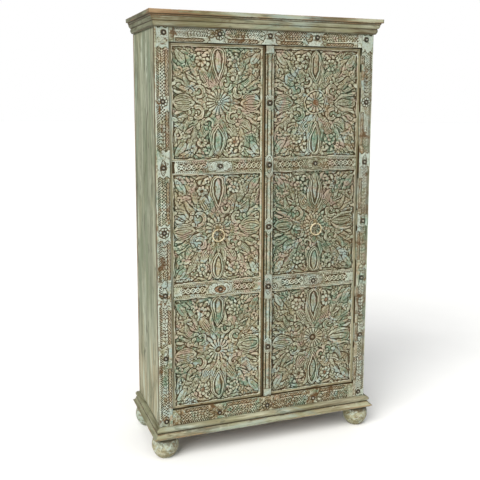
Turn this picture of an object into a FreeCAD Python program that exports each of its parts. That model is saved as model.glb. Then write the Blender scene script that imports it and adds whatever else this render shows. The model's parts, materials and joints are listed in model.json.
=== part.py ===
import FreeCAD, Part
import os, math
import Sketcher

# Two-door carved wardrobe, free standing.  +X to the right, +Y to the back, +Z up.
# Origin: on the floor, in the middle of the overall footprint.  Millimetres.

os.makedirs("parts", exist_ok=True)
V = FreeCAD.Vector
doc = FreeCAD.newDocument("wardrobe")
sheet = doc.addObject("Spreadsheet::Sheet", "dims")
cells = []


class Dim:
    """A length with its number and the expression that drives it."""
    def __init__(self, num, text):
        self.num, self.text = float(num), text

    @staticmethod
    def of(v):
        return v if isinstance(v, Dim) else Dim(v, "%g" % v if v >= 0 else "(%g)" % v)

    def __add__(self, o):
        o = Dim.of(o)
        return Dim(self.num + o.num, "(%s + %s)" % (self.text, o.text))

    def __sub__(self, o):
        o = Dim.of(o)
        return Dim(self.num - o.num, "(%s - %s)" % (self.text, o.text))

    def __rsub__(self, o):
        return Dim.of(o) - self

    def __mul__(self, k):
        k = Dim.of(k)
        return Dim(self.num * k.num, "(%s * %s)" % (self.text, k.text))

    def __neg__(self):
        return self * -1

    __radd__ = __add__
    __rmul__ = __mul__


def cell(alias, value, note=""):
    row = len(cells) + 1
    sheet.set("A%d" % row, alias)
    sheet.set("B%d" % row, "%g" % value)
    sheet.set("C%d" % row, note)
    sheet.setAlias("B%d" % row, alias)
    cells.append(alias)
    return Dim(value, "dims." + alias)


# ---------------------------------------------------------------- dimensions
width = cell("overall_width", 1020, "cornice and plinth, over all")
depth = cell("overall_depth", 440, "front of cornice to back")
height = cell("overall_height", 1830, "floor to top of cornice")
body_w = cell("body_width", 960, "carcass between its outer sides")
frame_y = cell("frame_front", 188, "front plane of the face frame, ahead of the middle")
frame_t = cell("frame_thick", 28, "face frame timber")
stile_w = cell("stile_width", 55, "face frame stile")
side_t = cell("side_thick", 20, "side panel boards")
board_t = cell("board_thick", 18, "floor, top and shelf boards")
back_t = cell("back_thick", 12, "back boards")
corn_h = cell("cornice_height", 63, "height of the cornice moulding")
corn_b = cell("cornice_band", 75, "width of the cornice timber")
plin_h = cell("plinth_height", 48, "height of the plinth moulding")
plin_b = cell("plinth_band", 80, "width of the plinth timber")
foot_h = cell("foot_height", 90, "turned foot below the plinth")
foot_r = cell("foot_radius", 57.4, "largest radius of the foot")
foot_x = cell("foot_offset_side", 452.5, "foot centre from the middle, sideways")
foot_yf = cell("foot_offset_front", 160, "front foot centre ahead of the middle")
foot_yb = cell("foot_offset_back", 162, "back foot centre behind the middle")
open_z0 = cell("opening_bottom", 205, "top edge of the bottom rail")
open_z1 = cell("opening_top", 1710, "bottom edge of the top rail")
gap = cell("door_gap", 2.5, "gap round the doors")
split_l = cell("split_left", -20.5, "inner edge of the left door")
split_r = cell("split_right", -17.5, "inner edge of the right door")
lip = cell("lip_width", 8, "visible edge of the door frame beside the panels")
lip_y = cell("lip_front", 177.5, "front of that edge, ahead of the middle")
panel_y = cell("panel_front", 180, "front of the carved panels, ahead of the middle")
door_m = cell("door_middle", 160, "joint plane between panels and door frame")
door_b = cell("door_back", 146, "back of the doors, ahead of the middle")
dstile = cell("door_stile", 40, "door frame timber width")
drail = cell("door_rail", 50, "top and bottom door rail height")
up0 = cell("upper_rail_bottom", 1192, "upper carved rail")
up1 = cell("upper_rail_top", 1247, "upper carved rail")
lo0 = cell("lower_rail_bottom", 678, "lower carved rail")
lo1 = cell("lower_rail_top", 737, "lower carved rail")
astr = cell("astragal_half", 17.5, "half width of the cover strip")
pin_x = cell("pin_offset", 423.75, "hinge pin from the middle, sideways")
pin_y = cell("pin_front", 182, "hinge pin ahead of the middle")
pin_r = cell("pin_radius", 1.8, "hinge pin")
bore_r = cell("knuckle_bore", 1.85, "knuckle bore")
knuckle_r = cell("knuckle_radius", 3.6, "knuckle outside")
hinge_l = cell("hinge_length", 65, "butt hinge length")
leaf_t = cell("leaf_thick", 1.6, "hinge leaf")
hz = [cell("hinge_low", 340, "hinge centre"), cell("hinge_mid", 972.5, "hinge centre"),
      cell("hinge_high", 1575, "hinge centre")]
ring_R = cell("ring_mean_radius", 25, "ring pull to the middle of its wire")
ring_w = cell("ring_wire_radius", 3.2, "ring pull wire")
eye_y = cell("eye_front", 190, "ring pivot ahead of the middle")
eye_z = cell("eye_height", 960, "ring pivot above the floor")
eye_xl = cell("eye_left", -224, "left ring")
eye_xr = cell("eye_right", 220, "right ring")
bolt_x = cell("bolt_offset", -45, "bolts on the left door")
bolt_y = cell("bolt_front", 139, "bolt rod ahead of the middle")
bolt_r = cell("bolt_radius", 4, "bolt rod")
rail_z = cell("hanging_rail_height", 1430, "centre of the hanging rail")
shelf_z = cell("shelf_height", 1480, "underside of the hat shelf")
pole_r = cell("hanging_rail_radius", 14, "hanging rail")
fit = cell("joint_slack", 0.2, "slack in mortises and grooves")
doc.recompute()

half_w = width * 0.5
half_d = depth * 0.5
half_b = body_w * 0.5
open_x = half_b - stile_w
body_z0 = foot_h + plin_h                # underside of the carcass
body_z1 = height - corn_h                # top of the carcass
nodes = []                               # every sub-part that is exported


# ---------------------------------------------------------------- helpers
def bind(obj, prop, value):
    value = Dim.of(value)
    obj.setExpression(prop, value.text)


def part(obj, label):
    obj.Label = label
    nodes.append(obj)
    return obj


def box(x0, x1, y0, y1, z0, z1, name="block"):
    o = doc.addObject("Part::Box", name)
    x0, x1, y0, y1, z0, z1 = (Dim.of(v) for v in (x0, x1, y0, y1, z0, z1))
    if x1.num < x0.num:
        x0, x1 = x1, x0
    if y1.num < y0.num:
        y0, y1 = y1, y0
    bind(o, "Length", x1 - x0)
    bind(o, "Width", y1 - y0)
    bind(o, "Height", z1 - z0)
    bind(o, "Placement.Base.x", x0)
    bind(o, "Placement.Base.y", y0)
    bind(o, "Placement.Base.z", z0)
    return o


TURN = {"+z": FreeCAD.Rotation(), "-z": FreeCAD.Rotation(V(1, 0, 0), 180),
        "+x": FreeCAD.Rotation(V(0, 1, 0), 90), "-x": FreeCAD.Rotation(V(0, 1, 0), -90),
        "+y": FreeCAD.Rotation(V(1, 0, 0), -90), "-y": FreeCAD.Rotation(V(1, 0, 0), 90)}


def rod(r, length, x, y, z, along="+z", name="rod", r2=None):
    kind = "Part::Cylinder" if r2 is None else "Part::Cone"
    o = doc.addObject(kind, name)
    o.Placement = FreeCAD.Placement(V(0, 0, 0), TURN[along])
    if r2 is None:
        bind(o, "Radius", r)
    else:
        bind(o, "Radius1", r)
        bind(o, "Radius2", r2)
    bind(o, "Height", length)
    bind(o, "Placement.Base.x", x)
    bind(o, "Placement.Base.y", y)
    bind(o, "Placement.Base.z", z)
    return o


def fuse(objs, name="joined"):
    if len(objs) == 1:
        return objs[0]
    o = doc.addObject("Part::MultiFuse", name)
    o.Shapes = objs
    return o


def cut(base, tools, name="trimmed"):
    if not tools:
        return base
    o = doc.addObject("Part::Cut", name)
    o.Base = base
    o.Tool = fuse(tools, "tools")
    return o


def group(objs, name="set"):
    o = doc.addObject("Part::Compound", name)
    o.Links = objs
    return o


def plane(body, role):
    return [f for f in body.Origin.OriginFeatures if f.Role == role][0]


def sketch(body, role, segs, name):
    """Closed profile.  segs: end points, each (x, y) for a line to it or
    (x, y, mx, my) for an arc to it through (mx, my)."""
    sk = body.newObject("Sketcher::SketchObject", name)
    sk.AttachmentSupport = [(plane(body, role), "")]
    sk.MapMode = "FlatFace"
    pts = [(Dim.of(q[0]), Dim.of(q[1])) for q in segs]
    count = len(segs)
    ends = []
    for i in range(count):
        a, b = pts[i - 1], pts[i]
        pa, pb = V(a[0].num, a[1].num, 0), V(b[0].num, b[1].num, 0)
        if len(segs[i]) == 4:
            mid = V(Dim.of(segs[i][2]).num, Dim.of(segs[i][3]).num, 0)
            circle = Part.Arc(pa, mid, pb).toShape().Curve
            c, r = circle.Center, circle.Radius
            ccw = ((pb - pa).cross(mid - pa)).z < 0
            first, last = (pa, pb) if ccw else (pb, pa)
            t0 = math.atan2(first.y - c.y, first.x - c.x)
            t1 = math.atan2(last.y - c.y, last.x - c.x)
            if t1 < t0:
                t1 += 2 * math.pi
            sk.addGeometry(Part.ArcOfCircle(Part.Circle(V(c.x, c.y, 0), V(0, 0, 1), r), t0, t1), False)
            ends.append((2, 1) if ccw else (1, 2))
        else:
            sk.addGeometry(Part.LineSegment(pa, pb), False)
            ends.append((2, 1))
    for i in range(count):
        j = (i + 1) % count
        sk.addConstraint(Sketcher.Constraint("Coincident", i, ends[i][0], j, ends[j][1]))
    for i in range(count):
        for axis, d in (("DistanceX", pts[i][0]), ("DistanceY", pts[i][1])):
            if abs(d.num) < 1e-9:
                other = -2 if axis == "DistanceX" else -1
                sk.addConstraint(Sketcher.Constraint("PointOnObject", i, ends[i][0], other))
                continue
            c = sk.addConstraint(Sketcher.Constraint(axis, -1, 1, i, ends[i][0], d.num))
            if "dims." in d.text:
                sk.setExpression("Constraints[%d]" % c, d.text)
        if len(segs[i]) == 4:
            sk.addConstraint(Sketcher.Constraint("Radius", i, sk.Geometry[i].Radius))
    return sk


def padded(label, role, segs, length, cuts=(), place=None):
    """Profile drawn out both ways from its plane, with optional pockets seen
    from above: cuts are closed profiles on the XY plane."""
    body = doc.addObject("PartDesign::Body", "body_" + label)
    sk = sketch(body, role, segs, "profile")
    pad = body.newObject("PartDesign::Pad", "length")
    pad.Profile = sk
    pad.SideType = "Symmetric"
    bind(pad, "Length", length)
    body.Tip = pad
    doc.recompute()
    for k, tri in enumerate(cuts):
        before = body.Shape.Volume
        s2 = sketch(body, "XY_Plane", tri, "mitre_line")
        po = body.newObject("PartDesign::Pocket", "mitre")
        po.Profile = s2
        po.SideType = "Symmetric"
        po.Length = 5000
        body.Tip = po
        doc.recompute()
        assert body.Shape.Volume < before - 1, label + ": a mitre cuts nothing"
    return part(body, label)


def turned(name, segs):
    body = doc.addObject("PartDesign::Body", name)
    sk = sketch(body, "XZ_Plane", segs, "turning")
    rev = body.newObject("PartDesign::Revolution", "turn")
    rev.Profile = sk
    rev.ReferenceAxis = (sk, ["V_Axis"])
    rev.Angle = 360
    body.Tip = rev
    return body


# ---------------------------------------------------------------- studs
# domed studs: z heights on the stiles and x places on the rails
stud_z = [1745, 1480, 1220, 958, 699, 433, 160]
frame_studs_l = [(-445 if z == 1745 else -452, z) for z in stud_z]
frame_studs_r = [(445 if z == 1745 else 452, z) for z in stud_z]
rail_studs_t = [(-217, 1746), (0, 1746), (212, 1746)]
rail_studs_b = [(-220, 163), (0, 163), (222, 163)]
shank_r, shank_l = 2.0, 8.0


def stud(x, z, face):
    """Round stud whose flat back lies on the plane y = -face."""
    y = -Dim.of(face)
    return fuse([rod(8.4, 1.6, x, y, z, "-y", "flange", 7.4),
                 rod(6.6, 2.6, x, y - 1.2, z, "-y", "dome", 3.6),
                 rod(shank_r, shank_l, x, y + shank_l, z, "-y", "shank")], "stud")


def stud_hole(x, z, face):
    y = -Dim.of(face)
    return rod(shank_r + 0.1, shank_l + 1, x, y + shank_l + 0.5, z, "-y", "stud_hole")


# ---------------------------------------------------------------- carcass
groove = 6
side_y0 = -(frame_y - frame_t)
side_y1 = half_d - back_t
fl_z1 = open_z0 - 7                       # top of the floor board
fl_z0 = fl_z1 - board_t
tp_z0 = open_z1 + 6                       # underside of the top board
tp_z1 = tp_z0 + board_t
for name, s in (("left", -1), ("right", 1)):
    outer, inner = half_b * s, (half_b - side_t) * s
    reach = (half_b - side_t + groove) * s
    side = cut(box(outer, inner, side_y0, side_y1, body_z0, body_z1, "side"),
               [box(inner - s * 5.0, reach, side_y0 - 1, side_y1 + 1, fl_z0 - fit, fl_z1 + fit, "dado"),
                box(inner - s * 5.0, reach, side_y0 - 1, side_y1 + 1, tp_z0 - fit, tp_z1 + fit, "dado")], "side")
    part(side, "side_panel_" + name)

board_x = half_b - side_t + groove - fit
bolt_hole = [rod(bolt_r + 1.5, 60, bolt_x, -bolt_y, z - 30, "+z", "keeper_hole")
             for z in (fl_z0 + 9, tp_z0 + 9)]
part(cut(box(-board_x, board_x, side_y0, side_y1, fl_z0, fl_z1, "floor"), [bolt_hole[0]]), "floor_board")
part(cut(box(-board_x, board_x, side_y0, side_y1, tp_z0, tp_z1, "top"), [bolt_hole[1]]), "top_board")

planks, count = [], 6
for i in range(count):
    x0 = -half_b + body_w * (i / count)
    x1 = -half_b + body_w * ((i + 1) / count)
    planks.append(box(x0 + 0.5, x1 - 0.5, side_y1, half_d, body_z0, body_z1, "plank"))
part(group(planks), "back_boards")

# face frame: two stiles with mortises, two rails with tenons
fy0, fy1 = -frame_y, -(frame_y - frame_t)
tenon_l, tenon_t = 30, 10
ty0 = fy0 + 9.0
ty1 = ty0 + tenon_t
rail_z_spans = [(body_z0, open_z0), (open_z1, body_z1)]


def screw(x, y, z, along, head=1.4):
    return fuse([rod(3.0, head, x, y, z, along, "head"), rod(1.5, 11, x, y, z, along, "shank")], "screw")


knuckle = 13.1
hinge_screws_frame = []
hinge_notches = {-1: [], 1: []}
for s in (-1, 1):
    for c in hz:
        hinge_notches[s].append(box(open_x * s - s * 1.0, (open_x + 2.8) * s, fy0 - 1, -pin_y + 3.8,
                                    c - 36, c + 36, "knuckle_notch"))
        hinge_notches[s].append(box(open_x * s - s * 1.0, (open_x + leaf_t) * s, -pin_y + 3.7, -pin_y + 19.1,
                                    c - 32.6, c + 32.6, "leaf_gain"))
        for dz in (-22, 0, 22):
            hinge_notches[s].append(rod(1.6, 11.5, open_x * s, -pin_y + 13, c + dz,
                                        "+x" if s > 0 else "-x", "pilot"))
            hinge_screws_frame.append(screw(open_x * s, -pin_y + 13, c + dz, "+x" if s > 0 else "-x"))

for name, s, studs in (("left", -1, frame_studs_l), ("right", 1, frame_studs_r)):
    tools = [box(open_x * s - s * 1.0, (open_x + tenon_l + fit) * s, ty0 - fit, ty1 + fit,
                 z0 + 10 - fit, z1 - 10 + fit, "mortise") for z0, z1 in rail_z_spans]
    tools += hinge_notches[s]
    tools += [stud_hole(x, z, frame_y) for x, z in studs]
    part(cut(box(open_x * s, half_b * s, fy0, fy1, body_z0, body_z1, "stile"), tools), "frame_stile_" + name)
for (z0, z1), studs, label in zip(rail_z_spans, (rail_studs_b, rail_studs_t),
                                  ("frame_bottom_rail", "frame_top_rail")):
    rail = fuse([box(-open_x, open_x, fy0, fy1, z0, z1, "rail"),
                 box(-(open_x + tenon_l), open_x + tenon_l, ty0, ty1, z0 + 10, z1 - 10, "tenons")])
    part(cut(rail, [stud_hole(x, z, frame_y) for x, z in studs]), label)
part(group([stud(x, z, frame_y) for x, z in frame_studs_l + frame_studs_r + rail_studs_t + rail_studs_b]),
     "frame_studs")

# ---------------------------------------------------------------- cornice
# profile as (inset from the outer edge, height); the moulding is mitred at the front corners
ch = height
corn = [(0, 0, None), (0, -17, None), (8, -17.6, None), (8, -22, None), (11, -24.5, None),
        (17.5, -40, (12.6, -33.5)), (20.5, -40.5, None), (24, -61, (18.6, -50.5)), (24, -63, None),
        (75, -63, None), (75, -18, None), (60, -18, None), (60, 0, None)]


def moulding(profile, sign, base_u, top_z):
    segs = []
    for d, dz, mid in profile:
        u = base_u - Dim.of(d) * sign
        z = top_z + dz
        if mid is None:
            segs.append((u, z))
        else:
            segs.append((u, z, base_u - Dim.of(mid[0]) * sign, top_z + mid[1]))
    return segs


hw, hd = half_w, half_d
w = corn_b
far = 60
front_cuts = [[(-hw - 1, -hd - 1), (-hw - 1, -hd + w + far), (-hw + w + far, -hd + w + far)],
              [(hw + 1, -hd - 1), (hw - w - far, -hd + w + far), (hw + 1, -hd + w + far)]]
slit = 0.15
padded("cornice_front", "YZ_Plane", moulding(corn, -1, -hd, ch), width, front_cuts)
padded("cornice_left", "XZ_Plane", moulding(corn, -1, -hw, ch), depth,
       [[(-hw - far, -hd - far + slit), (-hw - far, -hd - far - 40), (-hw + w + far, -hd - far - 40),
         (-hw + w + far, -hd + w + far + slit)]])
padded("cornice_right", "XZ_Plane", moulding(corn, 1, hw, ch), depth,
       [[(hw + far, -hd - far + slit), (hw - w - far, -hd + w + far + slit), (hw - w - far, -hd - far - 40),
         (hw + far, -hd - far - 40)]])
part(box(-(hw - w) + 0.1, (hw - w) - 0.1, hd - 30, hd, body_z1, height - 18, "back_rail"), "cornice_back")
part(box(-(hw - 60) + 0.3, (hw - 60) - 0.3, -(hd - 60) + 0.3, hd, height - 18, height - 4, "cap"), "cornice_cap")

# ---------------------------------------------------------------- plinth
pz = body_z0
plin = [(22, 0, None), (20, -20, (11.6, -10)), (19.5, -22.5, None), (14, -24.5, None),
        (1.5, -37, (10.5, -33.5)), (0, -38, None), (0, -41, None), (8, -48, None),
        (80, -48, None), (80, 0, None)]
w = plin_b
foot_spots = [(-foot_x, -foot_yf), (foot_x, -foot_yf), (-foot_x, foot_yb), (foot_x, foot_yb)]
front_cuts = [[(-hw - 1, -hd - 1), (-hw - 1, -hd + w + far), (-hw + w + far, -hd + w + far)],
              [(hw + 1, -hd - 1), (hw - w - far, -hd + w + far), (hw + 1, -hd + w + far)]]


def plinth_piece(label, role, segs, length, cuts, spots):
    body = padded(label + "_blank", role, segs, length, cuts)
    nodes.remove(body)
    holes = [rod(12.7, 32, x, y, foot_h - 1, "+z", "foot_hole") for x, y in spots]
    return part(cut(body, holes), label)


plinth_piece("plinth_front", "YZ_Plane", moulding(plin, -1, -hd, pz), width, front_cuts, foot_spots[:2])
plinth_piece("plinth_left", "XZ_Plane", moulding(plin, -1, -hw, pz), depth,
             [[(-hw - far, -hd - far + slit), (-hw - far, -hd - far - 40), (-hw + w + far, -hd - far - 40),
               (-hw + w + far, -hd + w + far + slit)]], [foot_spots[0], foot_spots[2]])
plinth_piece("plinth_right", "XZ_Plane", moulding(plin, 1, hw, pz), depth,
             [[(hw + far, -hd - far + slit), (hw - w - far, -hd + w + far + slit), (hw - w - far, -hd - far - 40),
               (hw + far, -hd - far - 40)]], [foot_spots[1], foot_spots[3]])
part(box(-(hw - w) + 0.1, (hw - w) - 0.1, hd - 40, hd, foot_h, body_z0, "back_rail"), "plinth_back")

# ---------------------------------------------------------------- feet
# squashed bun with a short neck and a round spigot glued up into the plinth
foot_profile = [(0, 0), (30, 0), (foot_r, 52, 50.12, 22.62), (50, 82, 55.51, 67.45), (45, 84.5), (45, foot_h),
                (12.5, foot_h), (12.5, foot_h + 30), (0, foot_h + 30)]
feet = []
for x, y in foot_spots:
    b = turned("foot", foot_profile)
    bind(b, "Placement.Base.x", x)
    bind(b, "Placement.Base.y", y)
    feet.append(b)
part(group(feet), "feet")

# ---------------------------------------------------------------- inside
ix = half_b - side_t
part(box(-ix + 0.3, ix - 0.3, -125, side_y1 - 0.3, shelf_z, shelf_z + board_t, "shelf"), "hat_shelf")
part(group([box(s * ix, s * (ix - 20), -115, 190, shelf_z - 25, shelf_z, "cleat") for s in (-1, 1)]),
     "shelf_cleats")
pole_y = 30
part(rod(pole_r, (ix - 1) * 2, -(ix - 1), pole_y, rail_z, "+x", "pole"), "hanging_rail")
part(group([cut(rod(22, 9, s * ix, pole_y, rail_z, "-x" if s > 0 else "+x", "flange"),
                [rod(pole_r + 0.1, 12, s * (ix + 1), pole_y, rail_z, "-x" if s > 0 else "+x", "seat")])
            for s in (-1, 1)]), "rail_sockets")
stop_y = -(door_b - 0.4)
part(group([box(0, 60, stop_y, stop_y + 15, tp_z0 - 20, tp_z0, "stop"),
            box(0, 60, stop_y, stop_y + 15, fl_z1, fl_z1 + 20, "stop")]), "door_stops")

# ---------------------------------------------------------------- hinges
frame_leaves, pins = [], []
door_leaves = {-1: [], 1: []}
for s in (-1, 1):
    for c in hz:
        z0 = c - hinge_l * 0.5
        for owner in ("frame", "door"):
            far_side = owner == "frame"
            xa = open_x * s if far_side else (open_x - gap) * s
            xb = xa + leaf_t * s if far_side else xa - leaf_t * s
            reach = 19.0 if far_side else 32.0
            pieces = [box(xa, xb, -pin_y + 3.8, -pin_y + reach, z0, z0 + hinge_l, "leaf")]
            bores = []
            for k in ((0, 2, 4) if far_side else (1, 3)):
                kz = z0 + knuckle * k
                pieces.append(box(xa, xb, -pin_y + 2.4, -pin_y + 4.0, kz, kz + 12.6, "tab"))
                pieces.append(rod(knuckle_r, 12.6, pin_x * s, -pin_y, kz, "+z", "knuckle"))
            bores.append(rod(bore_r, hinge_l + 2, pin_x * s, -pin_y, z0 - 1, "+z", "pin_bore"))
            for dz in (-22, 0, 22):
                yy = -pin_y + (13 if far_side else 28)
                bores.append(rod(3.1, 6, xa - s * 3.0, yy, c + dz, "+x" if s > 0 else "-x", "screw_hole"))
            leaf = cut(fuse(pieces, "leaf_blank"), bores, "leaf")
            (frame_leaves if far_side else door_leaves[s]).append(leaf)
        pins.append(fuse([rod(pin_r, hinge_l + 1.5, pin_x * s, -pin_y, z0 - 0.7, "+z", "pin"),
                          rod(2.8, 1.6, pin_x * s, -pin_y, z0 + hinge_l + 0.3, "+z", "head", 1.8),
                          rod(2.8, 1.6, pin_x * s, -pin_y, z0 - 0.3, "-z", "head", 1.8)], "hinge_pin"))
part(group(frame_leaves), "frame_hinge_leaves")
part(group(pins), "hinge_pins")
part(group(hinge_screws_frame), "frame_hinge_screws")

# ---------------------------------------------------------------- doors
dz0, dz1 = open_z0 + gap, open_z1 - gap
panel_top = dz1 - 7.5
panel_low = dz0 + 7.5
clear = 0.3
rails = [("top_rail", dz1 - drail, dz1), ("upper_rail", up0, up1), ("lower_rail", lo0, lo1),
         ("bottom_rail", dz0, dz0 + drail)]
tenon = 25
for side, s in (("left", -1), ("right", 1)):
    outer = (open_x - gap) * s
    inner = split_l if s < 0 else split_r
    # visible span between the edges of the door
    pa = outer - lip * s
    pb = inner - lip if s < 0 else astr
    fa, fb = pa - clear * s, pb + clear * s
    back_a, back_b = outer - dstile * s, (inner - dstile if s < 0 else inner + dstile)
    morts_a = [box(back_a - s * 1.0, back_a + (tenon + fit) * s, -(door_b + 10 + fit), -(door_b + 4 - fit),
                   z0 + 9 - fit, z1 - 9 + fit, "mortise") for _, z0, z1 in rails]
    morts_b = [box(back_b + s * 1.0, back_b - (tenon + fit) * s, -(door_b + 10 + fit), -(door_b + 4 - fit),
                   z0 + 9 - fit, z1 - 9 + fit, "mortise") for _, z0, z1 in rails]
    gains, screws = [], []
    for c in hz:
        gains.append(box(outer + s * 1.0, outer - leaf_t * s, -pin_y, -pin_y + 32.1, c - 32.6, c + 32.6, "leaf_gain"))
        for dz in (-22, 0, 22):
            turn = "-x" if s > 0 else "+x"
            gains.append(rod(1.6, 11.5, outer, -pin_y + 28, c + dz, turn, "pilot"))
            screws.append(screw(outer, -pin_y + 28, c + dz, turn))
    stile = fuse([box(outer, back_a, -door_m, -door_b, dz0, dz1, "stile"),
                  box(outer, pa, -lip_y, -door_m, dz0, dz1, "edge")])
    part(cut(stile, morts_a + gains), side + "_hinge_stile")

    tools = list(morts_b)
    if s < 0:
        meet = fuse([box(inner, back_b, -door_m, -door_b, dz0, dz1, "stile"),
                     box(inner, pb, -lip_y, -door_m, dz0, dz1, "edge")])
        for zc in (1645, 270):
            for dx in (-6, 6):
                for dz in (-18, 18):
                    tools.append(rod(1.6, 11.5, bolt_x + dx, -door_b + 1.5, zc + dz, "-y", "pilot"))
                    screws.append(screw(bolt_x + dx, -door_b + 1.5, zc + dz, "-y"))
    else:
        meet = box(inner, back_b, -door_m, -door_b, dz0, dz1, "stile")
    part(cut(meet, tools), side + "_meeting_stile")

    studs = []
    stud_x = -213 if s < 0 else 216
    for label, z0, z1 in rails:
        pieces = [box(back_a, back_b, -door_m, -door_b, z0, z1, "rail"),
                  box(back_a + tenon * s, back_b - tenon * s, -(door_b + 10), -(door_b + 4), z0 + 9, z1 - 9, "tenons")]
        holes = []
        if label == "top_rail":
            pieces.append(box(fa, fb, -lip_y, -door_m, panel_top, dz1, "edge"))
        elif label == "bottom_rail":
            pieces.append(box(fa, fb, -lip_y, -door_m, dz0, panel_low, "edge"))
        else:
            pieces.append(box(fa, fb, -panel_y, -door_m, z0, z1, "carved_rail"))
            zc = 1220 if label == "upper_rail" else 704
            studs.append(stud(stud_x, zc, panel_y))
            holes.append(stud_hole(stud_x, zc, panel_y))
        part(cut(fuse(pieces), holes), side + "_" + label)

    eye_x = eye_xl if s < 0 else eye_xr
    for label, z0, z1 in (("panel_top", up1, panel_top), ("panel_middle", lo1, up0), ("panel_bottom", panel_low, lo0)):
        slab = box(fa, fb, -panel_y, -door_m, z0 + clear, z1 - clear, "panel")
        tools = [rod(2.6, 40, eye_x, -panel_y - 5, eye_z + 6, "+y", "spindle_hole")] if label == "panel_middle" else []
        part(cut(slab, tools), side + "_" + label)

    if s > 0:
        faces = [1476, 1220, 958, 698, 430]
        strip = box(-astr, astr, fy0, -door_m, dz0, dz1, "strip")
        part(cut(strip, [stud_hole(0, z, frame_y) for z in faces]), "astragal")
        studs += [stud(0, z, frame_y) for z in faces]
    part(group(studs), side + "_door_studs")
    part(group(door_leaves[s]), side + "_hinge_leaves")
    part(group(screws), side + "_door_screws")

    # eye that carries the ring: rosette, lug with a cross hole, spindle and nut
    eye = fuse([rod(9, 3, eye_x, -panel_y, eye_z + 6, "-y", "rosette", 7.5),
                box(eye_x - 2, eye_x + 2, -eye_y, -panel_y - 2, eye_z - 5, eye_z + 6.5, "lug"),
                rod(6.5, 4, eye_x - 2, -eye_y, eye_z, "+x", "lug_end"),
                rod(2.5, 26, eye_x, -panel_y - 2, eye_z + 6, "+y", "spindle"),
                rod(6, 4, eye_x, -door_m, eye_z + 6, "+y", "nut")])
    part(cut(eye, [rod(ring_w + 0.3, 20, eye_x - 10, -eye_y, eye_z, "+x", "cross_hole")]), side + "_pull_eye")

    # ring pull, hanging
    ring = doc.addObject("Part::Torus", "ring")
    ring.Placement = FreeCAD.Placement(V(0, 0, 0), TURN["+y"])
    bind(ring, "Radius1", ring_R)
    bind(ring, "Radius2", ring_w)
    bind(ring, "Placement.Base.x", eye_x)
    bind(ring, "Placement.Base.y", -eye_y)
    bind(ring, "Placement.Base.z", eye_z - ring_R)
    part(ring, "ring_" + side)

# ---------------------------------------------------------------- tower bolts
by = -bolt_y
plates = []
for zc in (1645, 270):
    plate = fuse([box(bolt_x - 10, bolt_x + 10, -door_b, -door_b + 1.5, Dim.of(zc - 45), zc + 45, "plate"),
                  box(bolt_x - 7, bolt_x + 7, -door_b, by + 6.5, Dim.of(zc - 45), zc - 35, "strap"),
                  box(bolt_x - 7, bolt_x + 7, -door_b, by + 6.5, Dim.of(zc + 35), zc + 45, "strap")])
    holes = [rod(bolt_r + 0.08, 100, bolt_x, by, Dim.of(zc - 50), "+z", "slide_bore")]
    for dx in (-6, 6):
        for dz in (-18, 18):
            holes.append(rod(3.1, 6, bolt_x + dx, -door_b - 2, zc + dz, "+y", "screw_hole"))
    plates.append(cut(plate, holes))
part(group(plates), "bolt_brackets")
part(fuse([rod(bolt_r, 128, bolt_x, by, 1575, "+z", "rod"),
           rod(2.5, 12, bolt_x, by + 1, 1630, "+y", "knob")]), "top_bolt")
part(fuse([rod(bolt_r, 128, bolt_x, by, 212, "+z", "rod"),
           rod(2.5, 12, bolt_x, by + 1, 285, "+y", "knob")]), "bottom_bolt")

# ---------------------------------------------------------------- check and write
doc.recompute()
bad = [o.Name for o in doc.Objects if "Invalid" in o.State or "Error" in o.State]
assert not bad, "objects failed: %s" % bad
labels = [o.Label for o in nodes]
assert len(labels) == len(set(labels)) and len(labels) <= 60, (len(labels), labels)
for o in nodes:
    shape = o.Shape
    assert not shape.isNull() and shape.isValid(), o.Label
    assert shape.Volume > 0 and shape.Solids, o.Label
for old in os.listdir("parts"):
    if old.endswith(".step"):
        os.remove(os.path.join("parts", old))
for o in nodes:
    o.Shape.exportStep("parts/%s.step" % o.Label)
total = Part.makeCompound([o.Shape for o in nodes]).BoundBox
print("%d nodes, box %.1f %.1f %.1f to %.1f %.1f %.1f" % (
    len(nodes), total.XMin, total.YMin, total.ZMin, total.XMax, total.YMax, total.ZMax))
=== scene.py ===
"""A tall painted wardrobe with two carved doors, shown around its fixed frame.

Everything is in metres in the finished object, and in millimetres inside the carving code.
Face planes: carved frame y = -188, door panels y = -180, door backs y = -146, sides |x| = 480.
"""
import json
import math

import bmesh
import bpy
import numpy as np
from mathutils import Matrix, Vector


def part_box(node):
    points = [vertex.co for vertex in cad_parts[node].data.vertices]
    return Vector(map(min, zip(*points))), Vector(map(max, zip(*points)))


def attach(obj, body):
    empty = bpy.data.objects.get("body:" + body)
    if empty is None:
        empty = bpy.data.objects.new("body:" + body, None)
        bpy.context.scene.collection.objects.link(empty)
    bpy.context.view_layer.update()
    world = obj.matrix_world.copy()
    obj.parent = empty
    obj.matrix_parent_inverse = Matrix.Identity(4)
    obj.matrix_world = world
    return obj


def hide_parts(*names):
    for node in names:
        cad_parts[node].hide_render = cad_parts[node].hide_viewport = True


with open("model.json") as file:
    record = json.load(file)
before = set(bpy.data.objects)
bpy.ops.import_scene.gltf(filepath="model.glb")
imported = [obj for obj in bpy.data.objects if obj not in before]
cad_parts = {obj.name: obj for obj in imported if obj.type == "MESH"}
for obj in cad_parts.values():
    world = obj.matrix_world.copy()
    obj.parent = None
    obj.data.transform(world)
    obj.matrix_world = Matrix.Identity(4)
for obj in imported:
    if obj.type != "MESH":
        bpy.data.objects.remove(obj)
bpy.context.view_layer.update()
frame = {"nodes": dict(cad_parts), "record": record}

NODES = frame["nodes"]


# ---------------------------------------------------------------- numbers and noise


def rng(*key):
    """A generator of its own for each thing, so that a change to one leaves the rest as they were."""
    n = 17
    for c in "/".join(str(k) for k in key):
        n = (n * 131 + ord(c)) % 4294967291
    return np.random.default_rng(n)


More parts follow.
